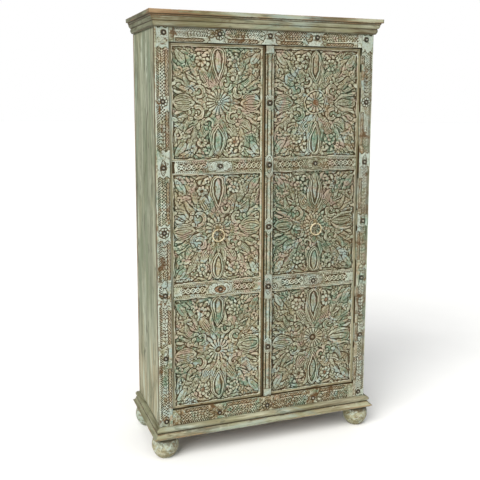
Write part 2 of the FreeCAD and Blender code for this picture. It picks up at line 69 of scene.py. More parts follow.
def smooth(e0, e1, x):
    t = np.clip((x - e0) / (e1 - e0), 0, 1)
    return t * t * (3 - 2 * t)


def _hash3(i, j, k, seed):
    h = (i * 374761393 + j * 668265263 + k * 2147483647 + seed * 974634777) & 0xFFFFFFFF
    h = ((h ^ (h >> 13)) * 1274126177) & 0xFFFFFFFF
    h = ((h ^ (h >> 16)) * 2246822519) & 0xFFFFFFFF
    return ((h ^ (h >> 15)) & 0xFFFFFF) / float(0xFFFFFF)


def noise(x, y, z, size, seed=0):
    """Smooth value noise from -1 to 1; size is the cell in the same unit as the points, or one for each axis."""
    sx, sy, sz = (size, size, size) if np.isscalar(size) else size
    p = [np.asarray(x, float) / sx, np.asarray(y, float) / sy, np.asarray(z, float) / sz]
    p = np.broadcast_arrays(*p)
    i = [np.floor(a).astype(np.int64) for a in p]
    f = [a - b for a, b in zip(p, i)]
    f = [a * a * a * (a * (a * 6 - 15) + 10) for a in f]
    out = 0
    for dx in (0, 1):
        for dy in (0, 1):
            for dz in (0, 1):
                w = (f[0] if dx else 1 - f[0]) * (f[1] if dy else 1 - f[1]) * (f[2] if dz else 1 - f[2])
                out = out + w * _hash3(i[0] + dx, i[1] + dy, i[2] + dz, seed)
    return out * 2 - 1


def fbm(x, y, z, size, seed=0, octaves=3):
    out, amp, total = 0, 1.0, 0.0
    s = np.array([size] * 3 if np.isscalar(size) else size, float)
    for o in range(octaves):
        out = out + amp * noise(x, y, z, tuple(s), seed + 31 * o)
        total += amp
        amp *= 0.5
        s = s / 2.03
    return out / total


def blur(a, ry, rx):
    """Three box blurs with edge padding, close to a Gaussian; radii in cells."""
    for _ in range(3):
        for axis, r in ((0, ry), (1, rx)):
            r = int(round(r))
            if r < 1:
                continue
            pad = [(0, 0), (0, 0)]
            pad[axis] = (r + 1, r)
            c = np.cumsum(np.pad(a, pad, mode="edge"), axis=axis)
            n = a.shape[axis]
            hi = np.take(c, np.arange(2 * r + 1, 2 * r + 1 + n), axis=axis)
            lo = np.take(c, np.arange(0, n), axis=axis)
            a = (hi - lo) / (2 * r + 1)
    return a


def curve(points, n):
    """n points, evenly spaced, on a smooth line through the given ones."""
    p = np.asarray(points, float)
    if len(p) == 2:
        p = np.array([p[0], (p[0] + p[1]) / 2, p[1]])
    q = np.vstack([2 * p[0] - p[1], p, 2 * p[-1] - p[-2]])
    out = []
    for k in range(len(p) - 1):
        a, b, c, d = q[k : k + 4]
        t = np.linspace(0, 1, 24, endpoint=False)[:, None]
        out.append(0.5 * (2 * b + (c - a) * t + (2 * a - 5 * b + 4 * c - d) * t**2 + (3 * b - a - 3 * c + d) * t**3))
    out = np.vstack(out + [p[-1:]])
    s = np.r_[0, np.cumsum(np.hypot(*np.diff(out, axis=0).T))]
    u = np.linspace(0, s[-1], n)
    return np.column_stack([np.interp(u, s, out[:, 0]), np.interp(u, s, out[:, 1])])


def env(t, p, q):
    """The half-width of a leaf along its length: 0.5 makes a round end, 1 a pointed one, more a drawn-out one."""
    t = np.clip(t, 0, 1)
    m = p / (p + q)
    return (t**p * (1 - t) ** q) / (m**p * (1 - m) ** q)


# ---------------------------------------------------------------- relief carving


class Relief:
    """A carved face: H is the height in mm, 0 at the face plane and negative below it."""

    def __init__(self, xs, zs, ground, key):
        self.xs, self.zs = np.asarray(xs, float), np.asarray(zs, float)
        self.X, self.Z = np.meshgrid(self.xs, self.zs)
        self.H = np.full(self.X.shape, float(ground))
        self.T = np.zeros(self.X.shape)  # the colour family of each motif
        self.P = np.zeros(self.X.shape)  # how much bare wood shows; it stays at zero and nothing reads it
        self.step = float(np.median(np.diff(self.xs)))
        self.rnd = rng("relief", key)
        self.key = key

    def win(self, x0, x1, z0, z1):
        i0, i1 = np.searchsorted(self.xs, [x0, x1])
        j0, j1 = np.searchsorted(self.zs, [z0, z1])
        sl = (slice(max(j0, 0), min(j1 + 1, len(self.zs))), slice(max(i0, 0), min(i1 + 1, len(self.xs))))
        return sl, self.X[sl], self.Z[sl]

    def put(self, sl, sd, top, tint=None, groove=2.0, gw=1.9, cover=None):
        """Sets top where sd, the distance inside an outline, is above 0, and cuts a groove round it."""
        H = self.H[sl]
        a = np.clip(sd / self.step + 0.5, 0, 1)
        if cover is not None:
            a = a * cover
        g = groove * np.exp(-((sd / gw) ** 2)) * (sd < 0)
        if cover is not None:
            g = g * cover
        base = np.maximum(H - g, -11.0)
        self.H[sl] = base * (1 - a) + top * a
        if tint is not None:
            self.T[sl] = self.T[sl] * (1 - a) + tint * a

    # every motif: position and size in mm, level = its top below the face

    def along(self, pts, half, n=40):
        C = curve(pts, n)
        m = half + 5
        sl, X, Z = self.win(C[:, 0].min() - m, C[:, 0].max() + m, C[:, 1].min() - m, C[:, 1].max() + m)
        D = np.gradient(C, axis=0)
        D /= np.maximum(np.hypot(D[:, 0], D[:, 1]), 1e-9)[:, None]
        S = np.r_[0, np.cumsum(np.hypot(*np.diff(C, axis=0).T))]
        d2 = (X[..., None] - C[:, 0]) ** 2 + (Z[..., None] - C[:, 1]) ** 2
        k = d2.argmin(-1)
        dx, dz = X - C[k, 0], Z - C[k, 1]
        s = S[k] + dx * D[k, 0] + dz * D[k, 1]
        v = dz * D[k, 0] - dx * D[k, 1]
        over = np.maximum(np.maximum(-s, s - S[-1]), 0)
        return sl, s / S[-1], v, over, S[-1]

    def leaf(self, pts, width, level=-1.5, p=0.7, q=0.9, style="vein", n=3, roll=3.0, drop=2.2, tint=0.0,
             groove=2.2, tilt=0.0, lobes=0, lobe=0.22, rib=1.0, dish=0.0, rim=0.0, cover=None, samples=36, echo=()):
        half = width / 2
        sl, t, v, over, L = self.along(pts, half * 1.2, samples)
        if t.size == 0:
            return
        w = half * env(t, p, q)
        if lobes:
            ph = (t * lobes) % 1.0
            w = w * (1 - lobe + lobe * np.sqrt(np.clip(1 - (2 * ph - 1) ** 2, 0, 1)) * 1.25)
        dist = np.hypot(v, over)
        dw = half * (env(np.clip(t + 0.01, 0, 1), p, q) - env(np.clip(t - 0.01, 0, 1), p, q)) / (0.02 * L)
        sd = (w - dist) / np.sqrt(1 + np.clip(dw, -1.5, 1.5) ** 2)
        e = np.clip(sd / roll, 0, 1)
        top = level - drop * (1 - np.sqrt(np.clip(1 - (1 - e) ** 2, 0, 1)))
        u = v / np.maximum(w, 0.8)
        if style == "rib":  # ridges that run the length and draw together at the tip
            top = top - rib * (0.5 - 0.5 * np.cos(2 * math.pi * n * (u + 1) / 2)) * smooth(0, 2.5, sd)
        elif style == "vein":
            mid = np.exp(-((v / 1.3) ** 2))
            ph = (t * (n + 1) * 1.0 - 0.55 * np.abs(u)) * 1.0
            ph = ph - np.floor(ph)
            top = top - rib * np.exp(-(((ph - 0.5) / 0.16) ** 2)) * smooth(1.0, 3.0, sd) * (1 - mid)
            top = top - 0.9 * np.exp(-((v / 1.2) ** 2)) * smooth(0.5, 2.5, sd)
        elif style == "lobed":  # fluted lobes on both sides of a midrib
            ph = (t * max(lobes, 3) - 0.0) % 1.0
            top = top - rib * ((2 * ph - 1) ** 2) * np.clip(np.abs(u), 0, 1) ** 0.6
            top = top + 0.7 * np.exp(-((v / 1.6) ** 2)) - 0.9 * np.exp(-(((np.abs(v) - 2.8) / 1.1) ** 2)) * (sd > 1.5)
        elif style == "mid":
            top = top - 1.1 * np.exp(-((v / 1.3) ** 2)) * smooth(0.5, 3, sd)
        if dish:
            top = top - dish * np.sqrt(np.clip(1 - u**2, 0, 1)) * smooth(rim, rim + 2.5, sd)
        for e_ in echo:  # lines cut inside the outline, that follow it
            top = top - 1.5 * np.exp(-(((sd - e_) / 1.15) ** 2))
        if tilt:
            top = top + tilt * np.clip(u, -1, 1)
        self.put(sl, sd, np.minimum(top, 0.0), tint, groove, cover=cover)

    def scroll(self, cx, cz, r, start, turn, lines=3, pitch=6.4, level=-0.6, tint=0.0, lean=0.35, core=True):
        """A curled leaf: lines side by side round a bend, that draw together at one end and close on a knob at the other."""
        n = 22
        t = np.linspace(0, 1, n)
        th = start + turn * t
        for k in range(lines):
            rr = (r - pitch * k) * (1 - lean * t**1.6)
            rr = np.maximum(rr, 2.0)
            gather = r * (1 - t) ** 2 * 0.25 * (k / max(1, lines - 1))
            pts = np.column_stack([cx + (rr + gather) * np.cos(th), cz + (rr + gather) * np.sin(th)])
            self.cord(pts, 3.5, 2.2, level - 0.45 * k, tint, 2.4, depth=1.9)
        if core:
            e = np.array([math.cos(start + turn), math.sin(start + turn)])
            rr = max(0.0, (r - pitch * (lines - 1)) * (1 - lean) - 2.5)
            self.bead(cx + e[0] * rr, cz + e[1] * rr, 4.6, level + 0.2, tint)

    def shift(self, amount, size, key, room=9.0):
        """The uneven hand: everything carved so far is moved a little, less and less towards the edges."""
        X, Z, xs, zs = self.X, self.Z, self.xs, self.zs
        d = np.minimum(np.minimum(X - xs[0], xs[-1] - X), np.minimum(Z - zs[0], zs[-1] - Z))
        f = smooth(0.0, room, d) * amount
        u = np.clip(X + f * noise(X, Z, 0 * X, size, key), xs[0], xs[-1])
        w = np.clip(Z + f * noise(X, Z, 0 * X, size, key + 77), zs[0], zs[-1])
        i = np.clip(np.searchsorted(xs, u, side="right") - 1, 0, len(xs) - 2)
        j = np.clip(np.searchsorted(zs, w, side="right") - 1, 0, len(zs) - 2)
        fu = (u - xs[i]) / (xs[i + 1] - xs[i])
        fw = (w - zs[j]) / (zs[j + 1] - zs[j])
        for name in ("H", "T"):
            A = getattr(self, name)
            setattr(self, name, A[j, i] * (1 - fu) * (1 - fw) + A[j, i + 1] * fu * (1 - fw) + A[j + 1, i] * (1 - fu) * fw + A[j + 1, i + 1] * fu * fw)

    def cord(self, pts, r0, r1=None, level=0.0, tint=0.0, groove=2.0, beads=0, depth=1.9):
        """A raised round line, such as a tendril or a volute."""
        r1 = r0 if r1 is None else r1
        sl, t, v, over, L = self.along(pts, max(r0, r1), 60)
        if t.size == 0:
            return
        r = r0 + (r1 - r0) * np.clip(t, 0, 1)
        dist = np.hypot(v, over)
        sd = r - dist
        top = level - depth * (1 - np.sqrt(np.clip(1 - (dist / np.maximum(r, 0.5)) ** 2, 0, 1)))
        if beads:
            top = top - 1.2 * (0.5 - 0.5 * np.cos(2 * math.pi * beads * t))
        self.put(sl, sd, np.minimum(top, 0.0), tint, groove)

    def volute(self, cx, cz, r, turns=1.4, start=0.0, way=1, w0=4.2, w1=2.2, level=-0.6, tint=0.0, eye=True, tail=None):
        n = 26
        th = start + way * np.linspace(0, turns * 2 * math.pi, n)
        rr = r * (1 - 0.74 * np.linspace(0, 1, n) ** 0.85)
        pts = np.column_stack([cx + rr * np.cos(th), cz + rr * np.sin(th)])
        if tail is not None:
            pts = np.vstack([np.asarray(tail, float), pts])
        sl, X, Z = self.win(cx - r, cx + r, cz - r, cz + r)
        d = np.hypot(X - cx, Z - cz)
        self.put(sl, (r - 1) - d, np.full(X.shape, level - 3.6), tint, 1.0)
        self.cord(pts, w0, w1, level, tint, 2.0, depth=1.8)
        if eye:
            self.bead(cx, cz, max(3.6, 0.2 * r), level + 0.2, tint)

    def bead(self, cx, cz, r, level=-0.8, tint=0.0, groove=2.2, pit=False, high=2.6):
        sl, X, Z = self.win(cx - r - 5, cx + r + 5, cz - r - 5, cz + r + 5)
        if X.size == 0:
            return
        d = np.hypot(X - cx, Z - cz)
        top = level - high * (1 - np.sqrt(np.clip(1 - (d / r) ** 2, 0, 1)))
        if pit:
            top = top - 2.2 * np.exp(-((d / (0.35 * r)) ** 2))
        self.put(sl, r - d, np.minimum(top, 0.0), tint, groove)

    def flower(self, cx, cz, r, n=8, level=-0.6, rc=0.24, phase=0.0, pointed=0.5, deep=0.22, tint=0.0, ctint=None,
               centre="dome", groove=2.6, fold=1.6, cup=1.4, split=0.0):
        """A flower of n petals seen from the front, with its heart."""
        sl, X, Z = self.win(cx - r - 6, cx + r + 6, cz - r - 6, cz + r + 6)
        if X.size == 0:
            return
        dx, dz = X - cx, Z - cz
        d = np.hypot(dx, dz)
        th = np.arctan2(dz, dx) - phase
        c = np.abs(np.cos(n * th / 2))
        edge = r * (1 - deep + deep * c**pointed)
        sd = (edge - d) * 0.85
        e = np.clip(sd / 3.0, 0, 1)
        top = level - 1.8 * (1 - np.sqrt(np.clip(1 - (1 - e) ** 2, 0, 1)))
        out = np.clip((d - rc * r) / (r * (1 - rc)), 0, 1)
        top = top - (fold * (1 - c**0.75)) * smooth(0.0, 0.25, out) - cup * (1 - out) ** 1.3
        if split:
            top = top - split * np.exp(-((((1 - c) * r * 0.25)) / 0.35) ** 2) * smooth(0.25, 0.6, out)
        self.put(sl, sd, np.minimum(top, 0.0), tint, groove, gw=1.8)
        if rc > 0:
            R = rc * r
            sl, X, Z = self.win(cx - R - 5, cx + R + 5, cz - R - 5, cz + R + 5)
            d = np.hypot(X - cx, Z - cz)
            if centre == "dome":
                top = level - 0.2 - 2.0 * (1 - np.sqrt(np.clip(1 - (d / R) ** 2, 0, 1)))
                top = top - 1.1 * np.exp(-((d / (0.3 * R)) ** 2))
                gr = 2.4
            elif centre == "hole":
                top = level - 5.0 + 1.6 * np.exp(-((d / (0.42 * R)) ** 2))
                gr = 0.6
            else:  # a flat button with a ring of small pits
                th = np.arctan2(Z - cz, X - cx)
                top = level - 0.8 - 1.2 * np.exp(-(((d - 0.62 * R) / 1.6) ** 2)) * (0.5 + 0.5 * np.cos(9 * th))
                gr = 2.4
            self.put(sl, R - d, np.minimum(top, 0.0), tint if ctint is None else ctint, gr)

    def ring(self, cx, cz, r, w, level=-0.5, tint=0.0, rope=0, flat=False, groove=2.0):
        sl, X, Z = self.win(cx - r - w - 5, cx + r + w + 5, cz - r - w - 5, cz + r + w + 5)
        d = np.hypot(X - cx, Z - cz)
        sd = w / 2 - np.abs(d - r)
        if flat:
            top = level - 1.0 * (1 - np.clip(sd / 1.5, 0, 1))
        else:
            top = level - 1.7 * (1 - np.sqrt(np.clip(1 - ((d - r) / (w / 2)) ** 2, 0, 1)))
        if rope:
            th = np.arctan2(Z - cz, X - cx)
            top = top - 1.1 * (0.5 - 0.5 * np.cos(rope * th + 2.2 * (d - r) / w))
        self.put(sl, sd, np.minimum(top, 0.0), tint, groove)

    def gadroons(self, cx, cz, r0, r1, n, level=-0.6, tint=0.0, amp=2.6, phase=0.0, roundness=0.5):
        """A ring of rounded lobes that point outward."""
        sl, X, Z = self.win(cx - r1 - 5, cx + r1 + 5, cz - r1 - 5, cz + r1 + 5)
        d = np.hypot(X - cx, Z - cz)
        th = np.arctan2(Z - cz, X - cx) - phase
        c = np.abs(np.cos(n * th / 2))
        u = np.clip((d - r0) / (r1 - r0), 0, 1)
        sd = np.minimum(r1 - d, d - r0)
        shape = np.clip(1 - ((1 - c**1.1) / (0.55 + 0.45 * u)) ** 2, 0, 1) ** roundness
        ends = np.sqrt(np.clip(1 - (2 * u - 1) ** 2, 0, 1)) ** 0.7
        top = level - amp * (1 - shape * ends)
        self.put(sl, sd, np.minimum(top, 0.0), tint, 1.4)

    def disc(self, cx, cz, r, level, tint=0.0, groove=1.2, dome=0.0, oval=1.0):
        sl, X, Z = self.win(cx - r * max(oval, 1) - 5, cx + r * max(oval, 1) + 5, cz - r - 5, cz + r + 5)
        d = np.hypot((X - cx) / oval, Z - cz)
        top = level - dome * (1 - np.sqrt(np.clip(1 - (d / r) ** 2, 0, 1)))
        self.put(sl, r - d, np.minimum(top, 0.0), tint, groove)

    def spray(self, stem, n, l0, l1, width, angle=0.85, curl=0.5, sides=(1, -1), level=-2.4, style="rib", ribs=2,
              tint=0.0, end=True, t0=0.08, t1=0.92, wobble=0.12, stem_r=2.4, rise=0.5):
        """Leaflets along both sides of a bent stem, from the tip back to the foot, as a carver lays them."""
        C = curve(stem, 60)
        D = np.gradient(C, axis=0)
        D /= np.hypot(D[:, 0], D[:, 1])[:, None]
        if end:
            k = 57
            tip = C[-1] + D[-1] * l1 * 1.1
            self.leaf([C[k], (C[k] + tip) / 2, tip], width * 0.95, level + rise, 0.7, 0.95, style, ribs, tint=tint)
        for i in range(n)[::-1]:
            f = t0 + (t1 - t0) * (i + 0.5) / n
            k = int(f * 59)
            L = l0 + (l1 - l0) * f
            for s in sides:
                a = s * angle * (1 + wobble * self.rnd.uniform(-1, 1))
                d = D[k]
                def turn(v, q):
                    return np.array([v[0] * math.cos(q) - v[1] * math.sin(q), v[0] * math.sin(q) + v[1] * math.cos(q)])
                LL = L * (1 + wobble * self.rnd.uniform(-1, 1))
                p0 = C[k] - d * 1.0
                p1 = p0 + turn(d, a) * LL * 0.5
                p2 = p1 + turn(d, a * (1 - curl)) * LL * 0.5
                self.leaf([p0, p1, p2], width * (1 + 0.5 * wobble * self.rnd.uniform(-1, 1)), level - 0.5 * (1 - f) + self.rnd.uniform(-0.3, 0.3),
                          0.6, 0.95, style, ribs, tint=tint, tilt=-0.5 * s, roll=2.6)
        if stem_r:
            self.cord(stem, stem_r, stem_r * 0.6, level + 0.9, tint, 1.6)

    def finish(self, wear=0.35, tool=0.18, deep=3.6, wide=7.0):
        """Hand-work: small waves and tool marks, then the values that the paint follows."""
        X, Z = self.X, self.Z
        sd = int(rng("tool", self.key).integers(1, 9999))
        self.H = self.H + wear * 0.5 * (noise(X, Z, 0 * X, 23.0, sd) - 0.2) + tool * noise(X, Z, 0 * X, 5.2, sd + 3)
        self.H = np.clip(self.H, -11.5, 0.0)
        st = self.step
        low = blur(self.H, wide / st, wide / st)
        near = blur(self.H, 2.2 / st, 2.2 / st)
        self.cav = np.clip((low - self.H) / deep, 0, 1)
        self.fine = np.clip((near - self.H) / (0.36 * deep), -1, 1)
        self.high = np.clip((self.H - low) / (0.83 * deep), 0, 1)
        return self
# ---------------------------------------------------------------- the six carved panels

# colour families carried by the motifs: 0 cream olive, 0.25 tan and rose, 0.5 green teal, 0.75 light blue, 1 warm wood
CREAM, TAN, TEAL, BLUE, WOOD = 0.0, 0.25, 0.5, 0.75, 1.0

PANELS = {
    "top_left": dict(x=(-414.2, -28.8), z=(1247.3, 1699.7), c=(-220, 1480)),
    "top_right": dict(x=(17.8, 414.2), z=(1247.3, 1699.7), c=(213, 1480)),
    "middle_left": dict(x=(-414.2, -28.8), z=(737.3, 1191.7), c=(-222, 957)),
    "middle_right": dict(x=(17.8, 414.2), z=(737.3, 1191.7), c=(218, 955)),
    "bottom_left": dict(x=(-414.2, -28.8), z=(215.3, 677.7), c=(-222, 443)),
    "bottom_right": dict(x=(17.8, 414.2), z=(215.3, 677.7), c=(220, 443)),
}


def grid_lines(a, b, step):
    return np.linspace(a, b, int(round((b - a) / step)) + 1)


def carve_panel(name, step=1.4):
    p = PANELS[name]
    (x0, x1), (z0, z1), (cx, cz) = p["x"], p["z"], p["c"]
    R = Relief(grid_lines(x0, x1, step), grid_lines(z0, z1, step), -5.8, name)
    rnd = R.rnd
    m = 7.0  # the plain margin
    R.T[:] = 0.42
    ex0, ex1, ez0, ez1 = cx - x0 - m, x1 - m - cx, cz - z0 - m, z1 - m - cz  # room to each edge
    ground = R.H
    ground += 0.9 * noise(R.X, R.Z, 0 * R.X, 7.0, 5) + 0.7 * noise(R.X, R.Z, 0 * R.X, 2.9, 9)

    def j(a=2.0):
        return rnd.uniform(-a, a)

    def hue(*which):
        return which[int(rnd.integers(0, len(which)))]

    def quad(sx, sz):
        """Places the quarter design: u runs out to the side, w up or down, both stretched to the room there."""
        ku = (ex1 if sx > 0 else ex0) / 186.0
        kw = (ez1 if sz > 0 else ez0) / 214.0

        def P(u, w):
            return (cx + sx * u * ku, cz + sz * w * kw)

        return P, sx, sz, ku, kw

    def go(P, pts, jit=1.6):
        return [P(u + j(jit), w + j(jit)) for u, w in pts]

    # ---- lowest layer: overlapping ribbed leaves that spread from the middle, so that no plain ground is left
    for ring, r in enumerate(np.arange(272, 50, -18)):
        n = int(2 * math.pi * r / 23)
        off = rnd.uniform(0, 6.28)
        bend = 0.36 if ring % 2 else -0.36
        for k in range(n):
            a = off + 2 * math.pi * (k + 0.25 * j(1)) / n
            b = a + bend * (1 + 0.4 * j(1))
            px, pz = cx + r * math.cos(a), cz + r * 1.06 * math.sin(a)
            if not (x0 - 14 < px < x1 + 14 and z0 - 14 < pz < z1 + 14):
                continue
            L = 30 + j(5)
            q1 = (px + L * 0.5 * math.cos(b), pz + L * 0.5 * math.sin(b))
            q2 = (q1[0] + L * 0.5 * math.cos(b + 1.4 * bend), q1[1] + L * 0.5 * math.sin(b + 1.4 * bend))
            R.leaf([(px, pz), q1, q2], 18 + j(3), -3.7 + j(0.7), 0.5, 0.8, "rib", 2 + (k % 2), tint=hue(CREAM, CREAM, 0.12, TAN, 0.42, TEAL), rib=1.7, roll=2.6,
                   drop=1.6, groove=2.0, tilt=0.5, samples=18)

    def band(P, pts, w, n, level, tint=CREAM, pp=0.45, qq=0.7, rib=2.1, tilt=0.0, lobes=0):
        """A broad leaf drawn as a bundle of lines."""
        R.leaf(go(P, pts, 1.6), w, level, pp, qq, "rib", n, tint=tint, rib=rib, roll=3.0, drop=2.0, tilt=tilt, groove=2.8, samples=44, lobes=lobes, lobe=0.16)

    def curl(P, sx, sz, u, w, r, a0, a1, lines=3, level=-0.6, tint=CREAM, lean=0.35, pitch=6.4):
        """A scroll given in the quarter's own angles."""
        x, z = P(u + j(2), w + j(2))
        t0, t1 = math.radians(a0 + j(12)), math.radians(a1 + j(12))
        if sx < 0:
            t0, t1 = math.pi - t0, math.pi - t1
        if sz < 0:
            t0, t1 = -t0, -t1
        R.scroll(x, z, r + j(1.2), t0, t1 - t0, lines, pitch, level, tint, lean)

    for sx, sz in ((-1, 1), (1, 1), (-1, -1), (1, -1)):
        P, _, _, ku, kw = quad(sx, sz)
        side = sx * sz
        # the edge: long leaves that lie along it, and small ones between
        band(P, [(92, 192), (138, 203), (184, 210)], 20, 3, -2.8, hue(CREAM, BLUE))
        band(P, [(174, 92), (179, 140), (184, 208)], 21, 3, -2.9, hue(BLUE, CREAM))
        band(P, [(18, 209), (58, 211), (98, 202)], 16, 2, -3.0, hue(TAN, CREAM))
        band(P, [(184, 26), (180, 60), (181, 96)], 15, 2, -3.2, hue(TAN, CREAM, BLUE))
        for k in range(5):  # leaflets that lap over the edge bands
            f = 104 + 19 * k
            R.leaf(go(P, [(f - 8, 188), (f + 4, 197), (f + 9, 210)], 1.5), 13, -2.2, 0.55, 0.8, "rib", 2, tint=hue(CREAM, TAN, 0.12), rib=1.6)
            f = 84 + 25 * k
            R.leaf(go(P, [(163, f - 8), (173, f + 4), (184, f + 10)], 1.5), 13, -2.3, 0.55, 0.8, "rib", 2, tint=hue(CREAM, BLUE, 0.12), rib=1.6)
        # bundles of lines that sweep from the middle to the corner
        band(P, [(60, 62), (96, 84), (116, 128), (104, 196)], 30, 4, -2.3, hue(CREAM, TEAL), 0.5, 0.9, 2.2, 0.8 * side)
        band(P, [(66, 56), (118, 80), (152, 122), (164, 206)], 29, 4, -1.9, hue(CREAM, TEAL, TAN), 0.5, 0.8, 2.2, 0.8 * side)
        band(P, [(60, 44), (112, 56), (150, 84), (180, 132)], 27, 4, -1.7, hue(CREAM, 0.42), 0.5, 0.85, 2.2, 0.8 * side)
        band(P, [(56, 26), (106, 38), (146, 54), (184, 66)], 23, 3, -1.9, hue(CREAM, TAN), 0.55, 0.9, 2.1, 0.6 * side)
        # the corner: an open scroll round a smooth leaf
        curl(P, sx, sz, 152, 176, 27, 214, 10, 3, -0.9, hue(CREAM, BLUE, TEAL), 0.4)
        # fronds that turn across the bundles, each lobe curled
        for stem, n_, l0, l1, wd, lv, tt in (
            ([(66, 70), (86, 96), (84, 134)], 2, 40, 28, 20, -1.4, CREAM),
            ([(104, 98), (136, 122), (128, 160)], 2, 42, 28, 21, -1.1, 0.42),
            ([(112, 70), (146, 84), (174, 74)], 2, 38, 26, 19, -1.2, TAN),
        ):
            R.spray(go(P, stem, 3.0), n_, l0, l1, wd, 0.8, 0.8, (1, -1), lv, "rib", 3, hue(tt, CREAM, 0.12, 0.42), True, 0.05, 0.9, 0.2, 2.6, 0.5)
        # lapped leaves, each with its veins, between the bundles
        for (u0, w0), (u1, w1), (u2, w2), wd, n_, tt in (((94, 112), (121, 152), (100, 197), 26, 4, CREAM), ((124, 56), (150, 84), (185, 80), 25, 4, 0.12), ((106, 88), (160, 104), (181, 154), 29, 5, TAN),
                                                         ((92, 104), (112, 154), (152, 184), 30, 5, CREAM), ((84, 66), (124, 78), (142, 122), 25, 4, 0.42)):
            R.leaf(go(P, [(u0, w0), (u1, w1), (u2, w2)], 3.6), wd, -1.1 + j(0.4), 0.5, 0.82, "rib", n_, tint=hue(tt, CREAM, 0.12), rib=2.3, roll=3.2, drop=2.2, tilt=hue(-1.7, 1.7), groove=3.0,
                   samples=44, echo=(3.2,))
        R.leaf(go(P, [(140, 152), (158, 174), (180, 202)], 2.0), 30, -0.6, 0.5, 0.62, "mid", 2, tint=hue(BLUE, BLUE, CREAM, TEAL), roll=5, drop=2.8, dish=0.8, rim=2.0, groove=3.0, echo=(4.2,))
        R.leaf(go(P, [(116, 128), (144, 124), (166, 100)], 2.5), 19, -0.8, 0.6, 0.8, "rib", 3, tint=hue(CREAM, TAN, 0.12), rib=2.1, roll=3.0, drop=2.0, tilt=1.2 * side, groove=2.8)
        curl(P, sx, sz, 112, 176, 15, 250, 60, 2, -0.7, hue(CREAM, TAN, 0.42), 0.3, 5.8)
        curl(P, sx, sz, 164, 122, 15, 200, 10, 2, -0.7, hue(CREAM, BLUE, TAN), 0.3, 5.8)
        # small curls beside the buds and the upright petals
        curl(P, sx, sz, 122, 30, 15, 120, -80, 2, -1.0, hue(CREAM, 0.42), 0.3, 5.6)
        curl(P, sx, sz, 44, 186, 15, -30, 170, 2, -1.0, hue(CREAM, TAN), 0.3, 5.6)
        # small leaves round the daisy's place
        for k in range(9):
            a = math.radians(-80 + 40 * k)
            ux, wz = 75 + 22 * math.cos(a), 160 + 22 * math.sin(a)
            R.leaf(go(P, [(ux, wz), (ux + 9 * math.cos(a + 0.3), wz + 9 * math.sin(a + 0.3)), (ux + 18 * math.cos(a + 0.7), wz + 18 * math.sin(a + 0.7))], 1.2),
                   14, -1.7 + j(0.3), 0.5, 0.85, "rib", 2, tint=hue(CREAM, TAN, CREAM, 0.42), rib=1.7)
        # the cupped, fluted leaf below the daisy, held by a scroll
        R.leaf(go(P, [(28, 62), (52, 96), (74, 138)], 1.0), 47, -0.9, 0.42, 0.62, "rib", 6, tint=hue(TAN, CREAM, 0.12), rib=2.3, roll=4, drop=2.4,
               groove=3.0, tilt=0.8 * side, samples=44, echo=(3.4,))
        curl(P, sx, sz, 54, 92, 33, 20, -190, 3, -0.3, hue(CREAM, TEAL, CREAM), 0.28, 6.6)
        # and its twin that opens to the side
        R.leaf(go(P, [(62, 32), (94, 42), (128, 44)], 1.0), 35, -1.1, 0.42, 0.7, "rib", 5, tint=hue(CREAM, TAN), rib=2.1, roll=4, drop=2.2, groove=2.8, tilt=-0.8 * side, echo=(3.2,))

    # ---- the pairs of leaves that hug the upright petals and the side buds
    for sx, sz in ((-1, 1), (1, 1), (-1, -1), (1, -1)):
        P, _, _, ku, kw = quad(sx, sz)
        R.leaf(go(P, [(4, 52), (28, 100), (31, 160)], 1.0), 21, -1.2, 0.7, 1.0, "rib", 3, tint=hue(TEAL, CREAM, CREAM), rib=2.0)
        R.leaf(go(P, [(48, 3), (88, 24), (136, 34)], 1.0), 21, -1.3, 0.7, 1.0, "rib", 3, tint=hue(CREAM, TAN), rib=2.0)
        R.leaf(go(P, [(42, 209), (28, 196), (18, 170)], 1.0), 15, -1.6, 0.6, 0.9, "rib", 2, tint=hue(TAN, CREAM))
        R.leaf(go(P, [(183, 46), (168, 38), (146, 36)], 1.0), 14, -1.6, 0.6, 0.9, "rib", 2, tint=hue(CREAM, TAN))
    # and the short ones that fill the roots between them
    for k in range(4):
        a = k * math.pi / 2
        for da, r0, r1, wd in ((-0.34, 50, 92, 18), (0.34, 50, 92, 18), (0.0, 50, 98, 22)):
            c, s_ = math.cos(a + da + 0.03 * j(1)), math.sin(a + da)
            bend = 0.3 * da
            R.leaf([(cx + r0 * c, cz + r0 * s_), (cx + (r0 + r1) / 2 * math.cos(a + da + bend * 0.3), cz + (r0 + r1) / 2 * math.sin(a + da + bend * 0.3)),
                    (cx + r1 * math.cos(a + da + bend), cz + r1 * math.sin(a + da + bend))], wd, -1.9, 0.6, 0.85, "rib", 3, tint=hue(CREAM, TAN, 0.42), rib=1.9, groove=2.4)

